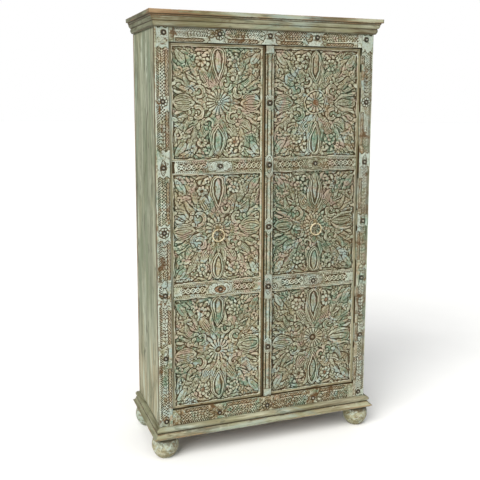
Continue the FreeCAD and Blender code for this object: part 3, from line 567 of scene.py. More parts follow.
    # ---- curls close to the middle: each a bent leaf of three lines that closes on a knob
    V = {
        "top_left": [(-84, 44, 30, CREAM, 1), (-88, -44, 29, TAN, -1), (64, -62, 29, CREAM, 1), (33, 74, 30, CREAM, -1), (84, 36, 24, 0.12, 1), (-40, -84, 20, TEAL, 1)],
        "top_right": [(-84, 50, 30, CREAM, 1), (78, 48, 29, CREAM, -1), (-76, -54, 27, 0.42, -1), (80, -52, 28, TAN, 1), (-36, 84, 20, CREAM, 1)],
        "middle_left": [(-80, 52, 30, TAN, 1), (84, 50, 26, CREAM, -1), (-76, -56, 28, CREAM, -1), (64, -60, 27, CREAM, 1), (36, 90, 20, 0.12, 1)],
        "middle_right": [(-72, -36, 27, BLUE, -1), (-84, 54, 30, TAN, 1), (78, 52, 27, CREAM, -1), (74, -56, 27, CREAM, 1), (-34, -82, 20, CREAM, 1)],
        "bottom_left": [(-82, -52, 31, CREAM, -1), (-76, 52, 27, TEAL, 1), (78, 52, 29, CREAM, -1), (72, -56, 26, TAN, 1), (34, 84, 20, CREAM, 1)],
        "bottom_right": [(-88, -46, 30, CREAM, -1), (-78, 52, 29, 0.42, 1), (76, 54, 26, CREAM, -1), (72, -56, 28, CREAM, 1), (36, -84, 19, TAN, 1)],
    }[name]
    for dx, dz, r, tt, way in V:
        a = math.atan2(dz, dx)
        R.disc(cx + dx, cz + dz, r + 2, -4.6, 0.42, 1.6)
        # small leaves behind the bend
        for q in range(4):
            b = a + way * (-1.2 + 0.85 * q) + 0.2 * j(1)
            ux, wz = cx + dx + (r - 4) * math.cos(b), cz + dz + (r - 4) * math.sin(b)
            R.leaf([(ux, wz), (ux + 10 * math.cos(b + 0.3 * way), wz + 10 * math.sin(b + 0.3 * way)), (ux + 20 * math.cos(b + 0.9 * way), wz + 20 * math.sin(b + 0.9 * way))],
                   16, -1.9 + j(0.4), 0.5, 0.75, "mid", 2, tint=hue(CREAM, CREAM, TAN, 0.42), roll=3.0, drop=2.2, groove=2.6)
        R.scroll(cx + dx, cz + dz, r, a + math.pi - way * (1.5 + 0.4 * j(1)), way * (4.3 + 0.4 * j(1)), 3 if r > 22 else 2, 6.6, -0.3, tt, 0.3)

    # ---- upright petals: a double outline with a long drop inside
    def petal(za, zb, w, pp, qq, inner, tint, it, lift=0.0, x=0.0):
        c = cx + x
        R.leaf([(c, za), (c + j(1), (za + zb) / 2), (c, zb - (zb - za) * -0.06)], w + 13, -1.8, pp, qq, "plain", tint=CREAM, roll=2.6, drop=1.6, groove=3.2, echo=(5.0,))
        R.leaf([(c, za + (zb - za) * 0.04), (c + j(1), (za + zb) / 2), (c, zb - (zb - za) * 0.03)], w - 3, -0.4 + lift, pp, qq, "plain", tint=tint,
               roll=2.8, drop=1.8, groove=2.8, dish=3.4, rim=4.0, samples=48)
        a, b = inner
        R.leaf([(c, a), (c, (a + b) / 2), (c, b)], w * 0.44, -1.0, 0.75, 0.75, "mid", tint=it, roll=3.6, drop=2.4, groove=1.8, samples=40, echo=(3.6,))

    N = {
        "top_left": ((1697, 1560, 56, 0.42, 0.95, (1686, 1592), TEAL, CREAM), (1260, 1388, 54, 0.8, 0.85, (1264, 1372), TEAL, BLUE)),
        "top_right": ((1696, 1565, 50, 0.8, 0.8, (1688, 1590), TEAL, TAN), (1258, 1392, 52, 0.42, 0.9, (1266, 1368), CREAM, TEAL)),
        "middle_left": ((1184, 1045, 54, 0.42, 0.9, (1172, 1082), 0.42, BLUE), (746, 856, 50, 0.6, 0.7, (756, 836), TEAL, 0.12)),
        "middle_right": ((1188, 1035, 54, 0.8, 0.8, (1182, 1066), TEAL, 0.12), (746, 852, 50, 0.5, 0.75, (754, 836), TEAL, BLUE)),
        "bottom_left": ((672, 548, 50, 0.42, 0.9, (665, 560), TEAL, TAN), (224, 348, 58, 0.8, 0.95, (238, 330), CREAM, BLUE)),
        "bottom_right": ((668, 520, 54, 0.42, 1.0, (655, 560), TEAL, BLUE), (226, 372, 52, 0.6, 0.9, (262, 340), CREAM, BLUE)),
    }[name]
    for za, zb, w, pp, qq, inner, tt, it in N:
        petal(za, zb, w, pp, qq, inner, tt, it)

    # ---- side buds: a striped bulb in a pointed sheath
    E = {
        "top_left": (((-318, 1478), (-409, 1478), 54, "bud", CREAM), ((-124, 1476), (-36, 1476), 62, "bud", TAN)),
        "top_right": (((110, 1475), (24, 1475), 60, "bud", TEAL), ((302, 1478), (407, 1478), 66, "fan", CREAM)),
        "middle_left": (((-318, 958), (-409, 958), 58, "bud", CREAM), ((-132, 965), (-36, 965), 66, "bud", 0.12)),
        "middle_right": (((118, 960), (24, 960), 50, "lens", TEAL), ((300, 965), (407, 965), 70, "fan", CREAM)),
        "bottom_left": (((-318, 432), (-409, 432), 52, "bud", TAN), ((-138, 452), (-36, 452), 74, "bud", CREAM)),
        "bottom_right": (((122, 440), (24, 440), 54, "bud", BLUE), ((296, 436), (407, 436), 66, "fan", CREAM)),
    }[name]
    for (xa, za), (xb, zb), w, kind, tt in E:
        mid = ((xa + xb) / 2, (za + zb) / 2 + j(1.5))
        if kind == "fan":  # an open shell of ribs inside two curled lips
            s = 1 if xb > xa else -1
            R.leaf([(xa, za), mid, (xb, zb)], w, -2.4, 0.55, 0.42, "rib", 6, tint=tt, roll=4, drop=2.6, groove=3.0, rib=2.1)
            R.leaf([(xa - 2 * s, za), (xa + 40 * s, za + w * 0.44), (xb - 6 * s, zb + w * 0.47)], 15, -0.6, 0.8, 0.9, "rib", 2, tint=CREAM, groove=2.6, rib=1.8)
            R.leaf([(xa - 2 * s, za), (xa + 40 * s, za - w * 0.44), (xb - 6 * s, zb - w * 0.47)], 15, -0.6, 0.8, 0.9, "rib", 2, tint=TAN, groove=2.6, rib=1.8)
            R.leaf([(xa + 4 * s, za), mid, (xb - 12 * s, zb)], w * 0.4, -1.0, 0.7, 0.7, "rib", 3, tint=tt, roll=3, groove=2.4, rib=1.9)
        else:
            q = 0.5 if kind == "bud" else 0.85
            R.leaf([(xa, za), mid, (xb, zb)], w + 12, -1.8, 0.75, q + 0.12, "plain", tint=CREAM, roll=2.4, drop=1.6, groove=3.0, echo=(4.8,))
            R.leaf([(xa, za), mid, (xb, zb)], w - 6, -0.5, 0.7, q, "rib", 4 if kind == "bud" else 3, tint=tt, roll=3.2, drop=2.2, groove=2.8, rib=2.1, samples=44)
            R.leaf([(xa + (xb - xa) * 0.16, za), mid, (xb - (xb - xa) * 0.1, zb)], w * 0.34, -0.4, 0.7, 0.7, "mid", tint=hue(TAN, CREAM), roll=3.0, groove=2.4)

    # ---- small daisies
    D = {
        "top_left": [(-295, 1638), (-152, 1640), (-290, 1318), (-152, 1318)],
        "top_right": [(140, 1640), (283, 1635), (130, 1325), (283, 1320)],
        "middle_left": [(-290, 1120), (-152, 1130), (-290, 795), (-150, 795)],
        "middle_right": [(140, 1125), (282, 1125), (140, 808), (282, 800)],
        "bottom_left": [(-295, 615), (-150, 610), (-290, 275), (-150, 275)],
        "bottom_right": [(140, 605), (282, 608), (155, 285), (285, 275)],
    }[name]
    for k, (dx, dz) in enumerate(D):
        R.flower(dx, dz, 24.5 + j(2.5), 8 if k % 3 else 7, -0.5 + j(0.2), 0.30, j(0.4), 0.5, 0.24, hue(CREAM, CREAM, TAN, BLUE), hue(None, WOOD, TAN),
                 hue("dome", "dome", "hole"), fold=2.1)

    # ---- the medallion in the middle
    def petals_round(n, ra, rb, w, level, tint, phase=0.0, style="rib"):
        for k in range(n):
            a = phase + 2 * math.pi * k / n
            c, s = math.cos(a), math.sin(a)
            R.leaf([(cx + ra * c, cz + ra * s), (cx + (ra + rb) / 2 * c, cz + (ra + rb) / 2 * s), (cx + rb * c, cz + rb * s)], w, level, 0.6, 0.7,
                   style, 2, tint=tint if tint is not None else hue(CREAM, TAN, 0.42), roll=2.6, groove=1.8, rib=1.6)

    def turned(r0, r1, n, hues, phase=0.0):
        """Each flute of the medallion takes a colour of its own."""
        d = np.hypot(R.X - cx, R.Z - cz)
        th = np.arctan2(R.Z - cz, R.X - cx) - phase
        seg = np.round(th / (2 * math.pi / n)).astype(int) % n
        pick = np.array([hues[int(rnd.integers(0, len(hues)))] for _ in range(n)])[seg]
        R.T = np.where((d > r0) & (d < r1), pick, R.T)

    petals_round(18, 38, 70, 15, -2.2, None, math.pi / 18)
    if name == "top_left":
        R.flower(cx, cz, 53, 18, -1.4, 0.0, 0.1, 0.8, 0.12, 0.12, fold=2.0, cup=0.6, groove=3.2)
        R.flower(cx, cz, 46, 18, -0.2, 0.0, 0.1, 0.6, 0.14, CREAM, fold=3.2, cup=2.4, groove=2.2)
        turned(13, 46, 18, (TEAL, CREAM, TAN, CREAM, 0.42, TAN), 0.1)
        R.flower(cx, cz, 14, 8, -1.2, 0.4, 0, 0.5, 0.2, 0.42)
    elif name == "top_right":
        R.ring(cx, cz, 49, 6.5, -1.4, 0.12, rope=30)
        R.flower(cx, cz, 44, 14, -0.4, 0.36, 0, 0.5, 0.16, CREAM, WOOD, "button", fold=2.6)
        turned(16, 42, 14, (CREAM, CREAM, TAN, 0.42))
    elif name == "middle_left":
        R.flower(cx, cz, 54, 18, -0.8, 0.0, 0.1, 0.7, 0.20, CREAM, fold=3.0, cup=2.0)
        turned(26, 54, 18, (CREAM, CREAM, TAN), 0.1)
        R.ring(cx, cz, 28, 5, -0.8, WOOD)
        R.flower(cx, cz, 25, 10, -0.5, 0.34, 0, 0.5, 0.18, TAN, WOOD, "dome", fold=2.0)
    elif name == "middle_right":
        R.flower(cx, cz, 54, 20, -1.6, 0.0, 0.1, 0.8, 0.12, TAN, fold=2.0, cup=0.6, groove=3.0)
        R.flower(cx, cz, 45, 16, -0.9, 0.0, 0, 0.6, 0.16, CREAM, fold=2.8, cup=2.0)
        turned(23, 45, 16, (CREAM, 0.12, TAN, CREAM, 0.12))
        R.ring(cx, cz, 22, 5, -0.8, TAN)
        R.flower(cx, cz, 19, 8, -0.5, 0.36, 0, 0.5, 0.18, CREAM, WOOD, "dome", fold=1.8)
    elif name == "bottom_left":
        R.flower(cx, cz, 46, 16, -0.2, 0.30, 0.05, 0.75, 0.34, CREAM, TEAL, "hole", fold=3.0, cup=1.0, groove=3.2)
        turned(14, 46, 16, (BLUE, CREAM, BLUE, CREAM), 0.05)
    else:
        R.ring(cx, cz, 52, 4.5, -1.6, CREAM)
        R.gadroons(cx, cz, 15, 48, 18, -0.1, CREAM, amp=4.0, phase=0.1)
        turned(20, 48, 18, (CREAM, CREAM, 0.12), 0.1)
        R.disc(cx, cz, 16, -5.0, WOOD, 0.5)
        R.bead(cx, cz, 8, -3.4, WOOD, 1.0)

    # ---- berries in the gaps
    for sx, sz in ((-1, 1), (1, 1), (-1, -1), (1, -1)):
        P, _, _, ku, kw = quad(sx, sz)
        for u, w, r in ((96, 34, 4.4), (40, 98, 4.4), (104, 172, 4.6), (160, 70, 4.4), (120, 140, 4.8), (72, 124, 4.2), (174, 186, 5.4), (92, 186, 4.4), (148, 118, 5.0)):
            if rnd.uniform() < 0.6:
                continue
            x, z = P(u + j(3.0), w + j(3.0))
            R.bead(x, z, r + j(0.5), -1.2, hue(TAN, CREAM, CREAM, BLUE), pit=rnd.uniform() < 0.35)

    # ---- the uneven hand
    key = 500 + sum(ord(c) for c in name)
    R.shift(3.4, 38.0, key)
    R.shift(1.5, 13.0, key + 11)

    # ---- the margin left plain round the carving
    d = np.minimum(np.minimum(R.X - x0, x1 - R.X), np.minimum(R.Z - z0, z1 - R.Z))
    wob = 2.6 * noise(R.X, R.Z, 0 * R.X, 24.0, 77) + 1.2 * noise(R.X, R.Z, 0 * R.X, 8.0, 78) - 2.6
    if cx < 0:
        wob = wob + 5.0 * smooth(16, 6, x1 - R.X)
    k = np.clip((m + wob - d) / 1.4 + 0.5, 0, 1)
    edge = -1.6 * (1 - smooth(0, 2.2, d)) - 0.9 + 0.5 * noise(R.X, R.Z, 0 * R.X, 11.0, 79)
    R.H = R.H * (1 - k) + edge * k
    R.T = R.T * (1 - k) + 0.08 * k
    return R.finish(0.4, 0.22, 3.0, 5.6)
# ---------------------------------------------------------------- the carved frame, rails and astragal


def lattice(a, b, pitch, level=-3.0, high=2.3, width=0.16):
    """A diaper of crossing ridges with a small pyramid in each diamond."""
    p, q = (a + b) / pitch, (a - b) / pitch
    fp, fq = np.abs(p - np.round(p)), np.abs(q - np.round(q))
    ridge = np.maximum(np.exp(-((fp / width) ** 2)), np.exp(-((fq / width) ** 2)))
    pyr = np.clip(1 - np.maximum(np.abs(p - np.floor(p) - 0.5), np.abs(q - np.floor(q) - 0.5)) / 0.26, 0, 1)
    return level + high * np.maximum(ridge, 0.72 * pyr)


def diaper(a, b, pitch, top=-0.4, deep=3.6, wall=0.21):
    """Lozenge-shaped pockets cut close together, with sharp walls left between them."""
    p, q = (a + b) / pitch, (a - b) / pitch
    f = np.minimum(np.abs(p - np.round(p)), np.abs(q - np.round(q)))
    return top - deep * smooth(wall - 0.11, wall + 0.14, f)


def feathers(a, b, pitch, top=-0.3, deep=3.2, lean=0.75, spine=1.6):
    """Herringbone: slanting cuts on both sides of a spine."""
    t = (a + lean * np.abs(b)) / pitch
    t = t - np.floor(t)
    cut = np.clip(1 - np.abs(t - 0.5) / 0.36, 0, 1) ** 0.7
    return top - deep * cut * smooth(0.4 * spine, 1.3 * spine, np.abs(b))


def scales(a, b, pitch, row, top=-0.3, deep=3.2):
    """Overlapping fish scales, each with a nick at its root."""
    out = np.full(np.shape(a + b), top - deep)
    j0 = np.floor(b / row)
    for dj in (0, 1):
        j = j0 + dj
        off = np.where(j % 2 == 0, 0.0, 0.5)
        fa = ((a / pitch + off) % 1.0 - 0.5) * pitch
        fb = b - (j - 0.1) * row
        d = np.hypot(fa, fb * 1.05) / (0.56 * pitch)
        rise = top - deep * (0.16 + 0.84 * smooth(0.80, 1.02, d)) + 0.16 * deep * np.clip(1 - d, 0, 1)
        rise = rise - 0.5 * deep * np.exp(-((d / 0.3) ** 2))
        out = np.where((fb < 0.15 * row) & (d < 1.02), np.maximum(out, rise), out)
    return out


def strokes(a, b, pitch, level=-2.4, high=2.0, lean=1.0, bow=0.0, width=14.0):
    """A row of slanting ridges, like a rope laid along the edge."""
    t = (a + lean * b + bow * np.abs(b)) / pitch
    return level + high * (0.5 + 0.5 * np.cos(2 * math.pi * t)) ** 0.8 - 0.6 * (2 * b / width) ** 2


def zigzag(a, b, pitch, level=-2.6, high=2.2):
    """Small upright wedges, one tooth to each pitch."""
    f = np.abs((a / pitch) % 1.0 - 0.5) * 2
    return level + high * np.clip(1 - np.abs(f - (0.5 + b)) / 0.42, 0, 1) ** 0.7


def beads_row(a, b, pitch, r, level=-4.4, high=3.0, lozenge=0.5):
    """A line of beads and lozenges in turn, down in a sunk strip."""
    k = np.floor(a / pitch)
    f = (a / pitch - k - 0.5) * pitch
    d = np.where(k % 2 == 0, np.hypot(f, b) / r, (np.abs(f) * 0.72 + np.abs(b) * 1.1) / r)
    return level + high * np.sqrt(np.clip(1 - d**2, 0, 1))


def guilloche(a, b, period, amp, w, level=-5.2, high=4.0, eye=2.3):
    """Two cords that cross again and again, with a bead in each eye."""
    t = 2 * math.pi * a / period
    out = np.full(np.shape(t + b), float(level))
    for s in (1, -1):
        c = s * amp * np.sin(t)
        d = np.abs(b - c) / np.sqrt(1 + (amp * 2 * math.pi / period * np.cos(t)) ** 2)
        under = 0.55 * (0.5 - 0.5 * s * np.cos(t))
        out = np.maximum(out, level + (high - under) * np.sqrt(np.clip(1 - (d / w) ** 2, 0, 1)) * (d < w))
    f = (a / period * 2 - 0.5) % 1.0
    f = np.minimum(f, 1 - f) * period / 2
    out = np.maximum(out, level + 0.8 * high * np.sqrt(np.clip(1 - (np.hypot(f, b) / eye) ** 2, 0, 1)) * (np.hypot(f, b) < eye))
    return out


def blendin(H, top, sd, step):
    k = np.clip(sd / step + 0.5, 0, 1)
    return H * (1 - k) + top * k


def boss(R, x, z, r=21, n=8, level=-0.1, tint=0.0, seat=9.4):
    """A carved flower round the place of a stud, with a flat seat for it."""
    R.disc(x, z, r + 3, -1.0, tint, 0.5)
    R.flower(x, z, r, n, level, 0.0, 0.2, 0.55, 0.2, tint, fold=1.6, cup=0.3, groove=1.5)
    R.disc(x, z, seat, 0.0, tint, 0.4)


def almond(R, x, z, length, width, tint, upright=True):
    """Round a plain stud: an almond shape drawn with one cut line, and another inside it."""
    for k, (q, lv) in enumerate(((1.0, -0.2), (0.72, -0.3))):
        L, w = length * q, width * q
        pts = [(x, z - L), (x, z), (x, z + L)] if upright else [(x - L, z), (x, z), (x + L, z)]
        R.leaf(pts, w, lv, 0.75, 0.75, "plain", 1, tint=tint, groove=1.5 if k == 0 else 1.2, roll=1.8, drop=0.7, samples=20)


def seat_flat(R, x, z, r=9.6):
    """Under a stud the wood is brought back to the face plane."""
    d = np.hypot(R.X - x, R.Z - z)
    k = np.clip((r - d) / 1.5 + 0.5, 0, 1)
    R.H = R.H * (1 - k)


def soil(R, x, z, r=9.2):
    """A dark ring round the foot of a stud: old dirt and wax, and painted shade where the stud meets the wood."""
    d = np.hypot(R.X - x, R.Z - z)
    R.cav = np.clip(R.cav + 1.1 * np.exp(-(((d - r) / 1.5) ** 2)), 0, 1)
    R.fine = np.clip(R.fine + 0.7 * np.exp(-(((d - r) / 1.4) ** 2)), -1, 1)
    R.high = R.high * smooth(r, r + 4, d)


def worn_edges(R, left=False, right=False, low=False, up=False):
    """An outside edge keeps its paint: it isn't a hollow where dirt and painted shade would lie."""
    X, Z, xs, zs = R.X, R.Z, R.xs, R.zs
    for on, d in ((left, X - xs[0]), (right, xs[-1] - X), (low, Z - zs[0]), (up, zs[-1] - Z)):
        if on:
            k = smooth(0.5, 5.0, d)
            R.cav, R.fine = R.cav * k, R.fine * k
            R.T = R.T * k


HINGE_Z = (340.0, 972.5, 1575.0)
STUD_STILE_Z = (1745.0, 1480.0, 1220.0, 958.0, 699.0, 433.0, 160.0)


def carve_stile(side, step=1.5):
    """side -1 is the left stile, +1 the right; a is the distance from the middle of the front."""
    if side < 0:
        xs = np.r_[grid_lines(-480, -428.1, step), -427.85, -427.7, -426.3, -425.0]
    else:
        xs = np.r_[425.0, 426.3, 427.7, 427.85, grid_lines(428.1, 480, step)]
    zs = grid_lines(138, 1767, step)
    extra = [c + s * d for c in HINGE_Z for s in (-1, 1) for d in (36.0, 36.15)]
    zs = np.array(sorted(set(np.round(np.r_[zs, extra], 3))))
    keep = np.r_[True, np.diff(zs) > 0.1]
    zs = zs[keep]
    R = Relief(xs, zs, -1.2, "stile%d" % side)
    X, Z = R.X, R.Z
    a = np.abs(X)
    st = R.step
    wob = 1.0 * noise(Z, 0 * Z, 0 * Z, 60.0, 3 + side)
    # outer band of slanting cuts, in lengths that change hand
    hand = np.where(noise(Z, 0 * Z, 0 * Z, 140.0, 71 + side) > 0, 1.0, -1.0)
    rope = strokes(Z, (a - 470.6), 9.2, -3.6, 3.3, lean=0.9, width=30) * (hand > 0) + strokes(Z, (a - 470.6), 9.2, -3.6, 3.3, lean=-0.9, width=30) * (hand < 0)
    R.H = blendin(R.H, rope, 6.3 - np.abs(a - 470.2 + 0.3 * wob), st)
    lift = np.clip((rope + 3.6) / 3.3, 0, 1)
    # the broad field: lozenges, herringbone and scales in turn
    where_ = fbm(Z, 0 * Z, 0 * Z, 120.0, 81 + side, 1)
    field = np.where(where_ > 0.18, diaper(Z, a - 452, 12.6), np.where(where_ > -0.25, feathers(Z * side, a - 452.2, 9.0), scales(Z, a - 452, 10.0, 5.6)))
    R.H = blendin(R.H, field, 9.9 - np.abs(a - 452.4 + 0.3 * wob), st)
    # thin fillets between them
    for c, wd in ((463.2, 1.1), (478.4, 1.6)):
        R.H = np.where(np.abs(a - c) < wd, -0.35, R.H)
    # the sunk strip by the door, in lengths with cusped ends
    if side < 0:
        sunk = ((1680, 1500), (1445, 1275), (1165, 1005), (915, 760), (640, 490), (390, 215))
        flat = ((1767, 1686), (1290, 1180), (992, 922), (762, 733), (692, 652), (482, 448), (176, 138))
    else:
        sunk = ((1680, 1640), (1440, 1290), (1150, 1010), (915, 780), (660, 610), (490, 400), (330, 215))
        flat = ((1767, 1690), (1262, 1196), (990, 930), (758, 736), (690, 662), (470, 446), (176, 138))
    R.H = blendin(R.H, np.full(X.shape, -0.8), 442.0 - a, st)
    R.T = np.where(a < 441, TAN, CREAM) * 1.0
    cold = smooth(-0.25, 0.05, noise(Z, 0 * Z, 0 * Z, 110.0, 91 + side))
    R.T = np.where(a > 463.5, (TEAL + (BLUE - TEAL) * lift) * cold, R.T)
    for hi, lo in sunk:
        m, h = (hi + lo) / 2, (hi - lo) / 2
        cusp = 3.5 * np.cos(math.pi * (a - 434.2) / 14)
        sd = np.minimum((h - np.abs(Z - m)) * 0.9 + cusp - 3.0, 7.4 - np.abs(a - 434.2))
        cords = guilloche(Z - lo, a - 434.2, 25.0, 4.3, 2.1)
        R.H = blendin(R.H, cords, sd, st)
        k = np.clip(sd / st + 0.5, 0, 1)
        k = np.clip((sd + 1.6 + 2.2 * noise(X, Z, 0 * X, 9.0, 401)) / 2.0, 0, 1)
        R.T = R.T * (1 - k) + np.where(cords < -3.4, WOOD, 0.84) * k
    for hi, lo in flat:
        m, h = (hi + lo) / 2, (hi - lo) / 2
        ends = 4.0 * np.cos(2 * math.pi * (a - 452) / 27)
        sd = h - np.abs(Z - m) + ends - 2
        sd = np.minimum(sd, a - 441.5) if h < 20 else sd
        k = np.clip(sd / st + 0.5, 0, 1)
        g = 1.6 * np.exp(-((sd / 1.6) ** 2)) * (sd < 0)
        R.H = (R.H - g) * (1 - k) - 0.25 * k
        R.T = R.T * (1 - k) + (BLUE if h > 22 else CREAM) * k
    # leaf chevrons where the field changes
    for zc in ((1352, 862, 545, 300) if side < 0 else (1560, 1080, 830, 560, 530, 270)):
        for q in range(-3, 4):
            z = zc + q * 15
            for s in (-1, 1):
                R.leaf([(side * 452, z - 6), (side * (452 + s * 5), z), (side * (452 + s * 10), z + 9)], 8.5, -0.5, 0.6, 0.9, "mid", 1, groove=1.6, roll=2, drop=1.4,
                       samples=14)
    for z in STUD_STILE_Z:
        xb = side * (445 if z > 1700 else 452)
        if z in ((1480.0, 958.0) if side < 0 else (1480.0,)):
            boss(R, xb, z, 20, 8 if z != 958 else 7, tint=BLUE)
        elif 200 < z < 1700:
            almond(R, xb, z, 30, 21, BLUE)
        seat_flat(R, xb, z)
    R.shift(1.5, 19.0, 300 + side)
    R.shift(0.7, 6.5, 310 + side)
    d = np.minimum(480 - a, a - 425)
    R.H = R.H - 1.2 * (1 - smooth(0, 1.8, d))
    R.finish(0.3, 0.15, 2.2, 6.0)
    for z in STUD_STILE_Z:
        seat_flat(R, side * (445 if z > 1700 else 452), z)
        soil(R, side * (445 if z > 1700 else 452), z)
    worn_edges(R, left=side < 0, right=side > 0)
    for c in HINGE_Z:
        R.H = np.where((a < 427.78) & (np.abs(Z - c) < 36.05), -9.8, R.H)
    return R


def carve_rail(top, step=1.5):
    z0, z1 = (1710, 1767) if top else (138, 205)
    R = Relief(grid_lines(-425, 425, step), grid_lines(z0, z1, step), -1.0, "rail%d" % top)
    X, Z = R.X, R.Z
    st = R.step
    bosses = ((-217, 1746), (0, 1746), (212, 1746)) if top else ((-220, 163), (0, 163), (222, 163))
    if top:
        R.H = blendin(R.H, strokes(X, Z - 1761.4, 8.8, -3.4, 3.1, lean=-0.9, width=24), 4.4 - np.abs(Z - 1761.4), st)
        where_ = fbm(X, 0 * X, 0 * X, 95.0, 83, 1)
        field = np.where(where_ > 0.1, diaper(X, Z - 1743, 12.6), np.where(where_ > -0.3, feathers(X, Z - 1744, 9.0), scales(X, Z - 1744, 10.0, 5.6)))
        R.H = blendin(R.H, field, 11.0 - np.abs(Z - 1744), st)
        sunk = ((-402, -280), (-185, -50), (45, 150), (255, 387))
        zc, hw = 1720.0, 7.4
        flats = ((-425, -408, 0), (-262, -196, 1), (-34, 30, 1), (168, 242, 1), (405, 425, 0))
        fillets = (1756.2, 1731.6)
    else:
        R.H = blendin(R.H, zigzag(X, (Z - 144.8) / 14, 8.6, -4.2, 4.0), 5.8 - np.abs(Z - 144.8), st)
        where_ = fbm(X, 0 * X, 0 * X, 105.0, 87, 1)
        field = np.where(where_ > 0.1, diaper(X, Z - 167, 14.0), np.where(where_ > -0.3, feathers(X, Z - 167, 9.6), scales(X, Z - 167, 11.0, 6.2)))
        R.H = blendin(R.H, field, 14.2 - np.abs(Z - 167), st)
        sunk = ((-372, -268), (-190, -48), (58, 172), (253, 382))
        zc, hw = 194.0, 7.6
        flats = ((-425, -392, 0), (-252, -200, 1), (-32, 32, 1), (188, 240, 1), (396, 425, 0))
        fillets = (151.8, 182.2)
    for c in fillets:
        R.H = np.where(np.abs(Z - c) < 1.0, -0.5, R.H)
    R.T = np.where(np.abs(Z - zc) < hw + 2, TAN, CREAM) * 1.0
    for lo, hi in sunk:
        m, h = (hi + lo) / 2, (hi - lo) / 2
        cusp = 3.5 * np.cos(math.pi * (Z - zc) / (2 * hw))
        sd = np.minimum((h - np.abs(X - m)) * 0.9 + cusp - 3.0, hw - np.abs(Z - zc))
        cords = guilloche(X - lo, Z - zc, 25.0, 4.3, 2.1)
        R.H = blendin(R.H, cords, sd, st)
        k = np.clip(sd / st + 0.5, 0, 1)
        k = np.clip((sd + 1.6 + 2.2 * noise(X, Z, 0 * X, 9.0, 402)) / 2.0, 0, 1)
        R.T = R.T * (1 - k) + np.where(cords < -3.4, WOOD, 0.84) * k
    for lo, hi, mid in flats:
        m, h = (hi + lo) / 2, (hi - lo) / 2
        zz = (Z - (z0 + z1) / 2) / (z1 - z0) * 2
        sd = h - np.abs(X - m) + (5.0 * np.cos(2 * math.pi * zz) if mid else 0)
        k = np.clip(sd / st + 0.5, 0, 1)
        g = 1.6 * np.exp(-((sd / 1.6) ** 2)) * (sd < 0)
        R.H = (R.H - g) * (1 - k) - 0.25 * k
        R.T = R.T * (1 - k) + (BLUE if mid and top else CREAM) * k
    for n_, (x, z) in enumerate(bosses):
        if top and n_ == 0 or not top and n_ == 1:
            boss(R, x, z - (2 if top else -2), 19 if top else 21, 8)
        else:
            almond(R, x, z - (2 if top else -2), 26, 22, BLUE if top else CREAM, False)
        for s in (-1, 1):
            R.leaf([(x + s * 22, z), (x + s * 36, z + 7), (x + s * 52, z + 2)], 15, -0.4, 0.6, 0.9, "vein", 3, groove=1.8)
            R.leaf([(x + s * 22, z - 2), (x + s * 34, z - 10), (x + s * 48, z - 12)], 13, -0.5, 0.6, 0.9, "rib", 2, groove=1.8)
    rnd = R.rnd
    # runs of small leaves that break the lattice between the bosses
    for x in ((-330, -118, 105, 318) if top else (-310, -110, 112, 312)):
        zc2 = 1744 if top else 167
        for q in range(-2, 3):
            for s in (-1, 1):
                R.leaf([(x + q * 13 - 5, zc2), (x + q * 13, zc2 + s * 4), (x + q * 13 + 8, zc2 + s * 9)], 8.5, -0.5, 0.6, 0.9, "mid", 1, groove=1.6, roll=2, drop=1.4, samples=14)
    R.shift(1.5, 19.0, 320 + top)
    R.shift(0.7, 6.5, 330 + top)
    d = np.minimum(Z - z0, z1 - Z)
    R.H = R.H - 1.2 * (1 - smooth(0, 1.8, d))
    R.finish(0.3, 0.15, 2.2, 6.0)
    for x, z in bosses:
        seat_flat(R, x, z)
        soil(R, x, z)
    return R


MIDRAILS = {
    "left_upper": dict(x=(-414.2, -28.8), z=(1192, 1247), stud=(-213, 1220), gaps=((-414, -404),), fields=((-397, -268), (-160, -32))),
    "left_lower": dict(x=(-414.2, -28.8), z=(678, 737), stud=(-213, 704), gaps=(), fields=((-384, -272), (-158, -58))),
    "right_upper": dict(x=(17.8, 414.2), z=(1192, 1247), stud=(216, 1220), gaps=(), fields=((33, 163), (267, 402))),
    "right_lower": dict(x=(17.8, 414.2), z=(678, 737), stud=(216, 704), gaps=(), fields=((62, 163), (267, 382))),
}


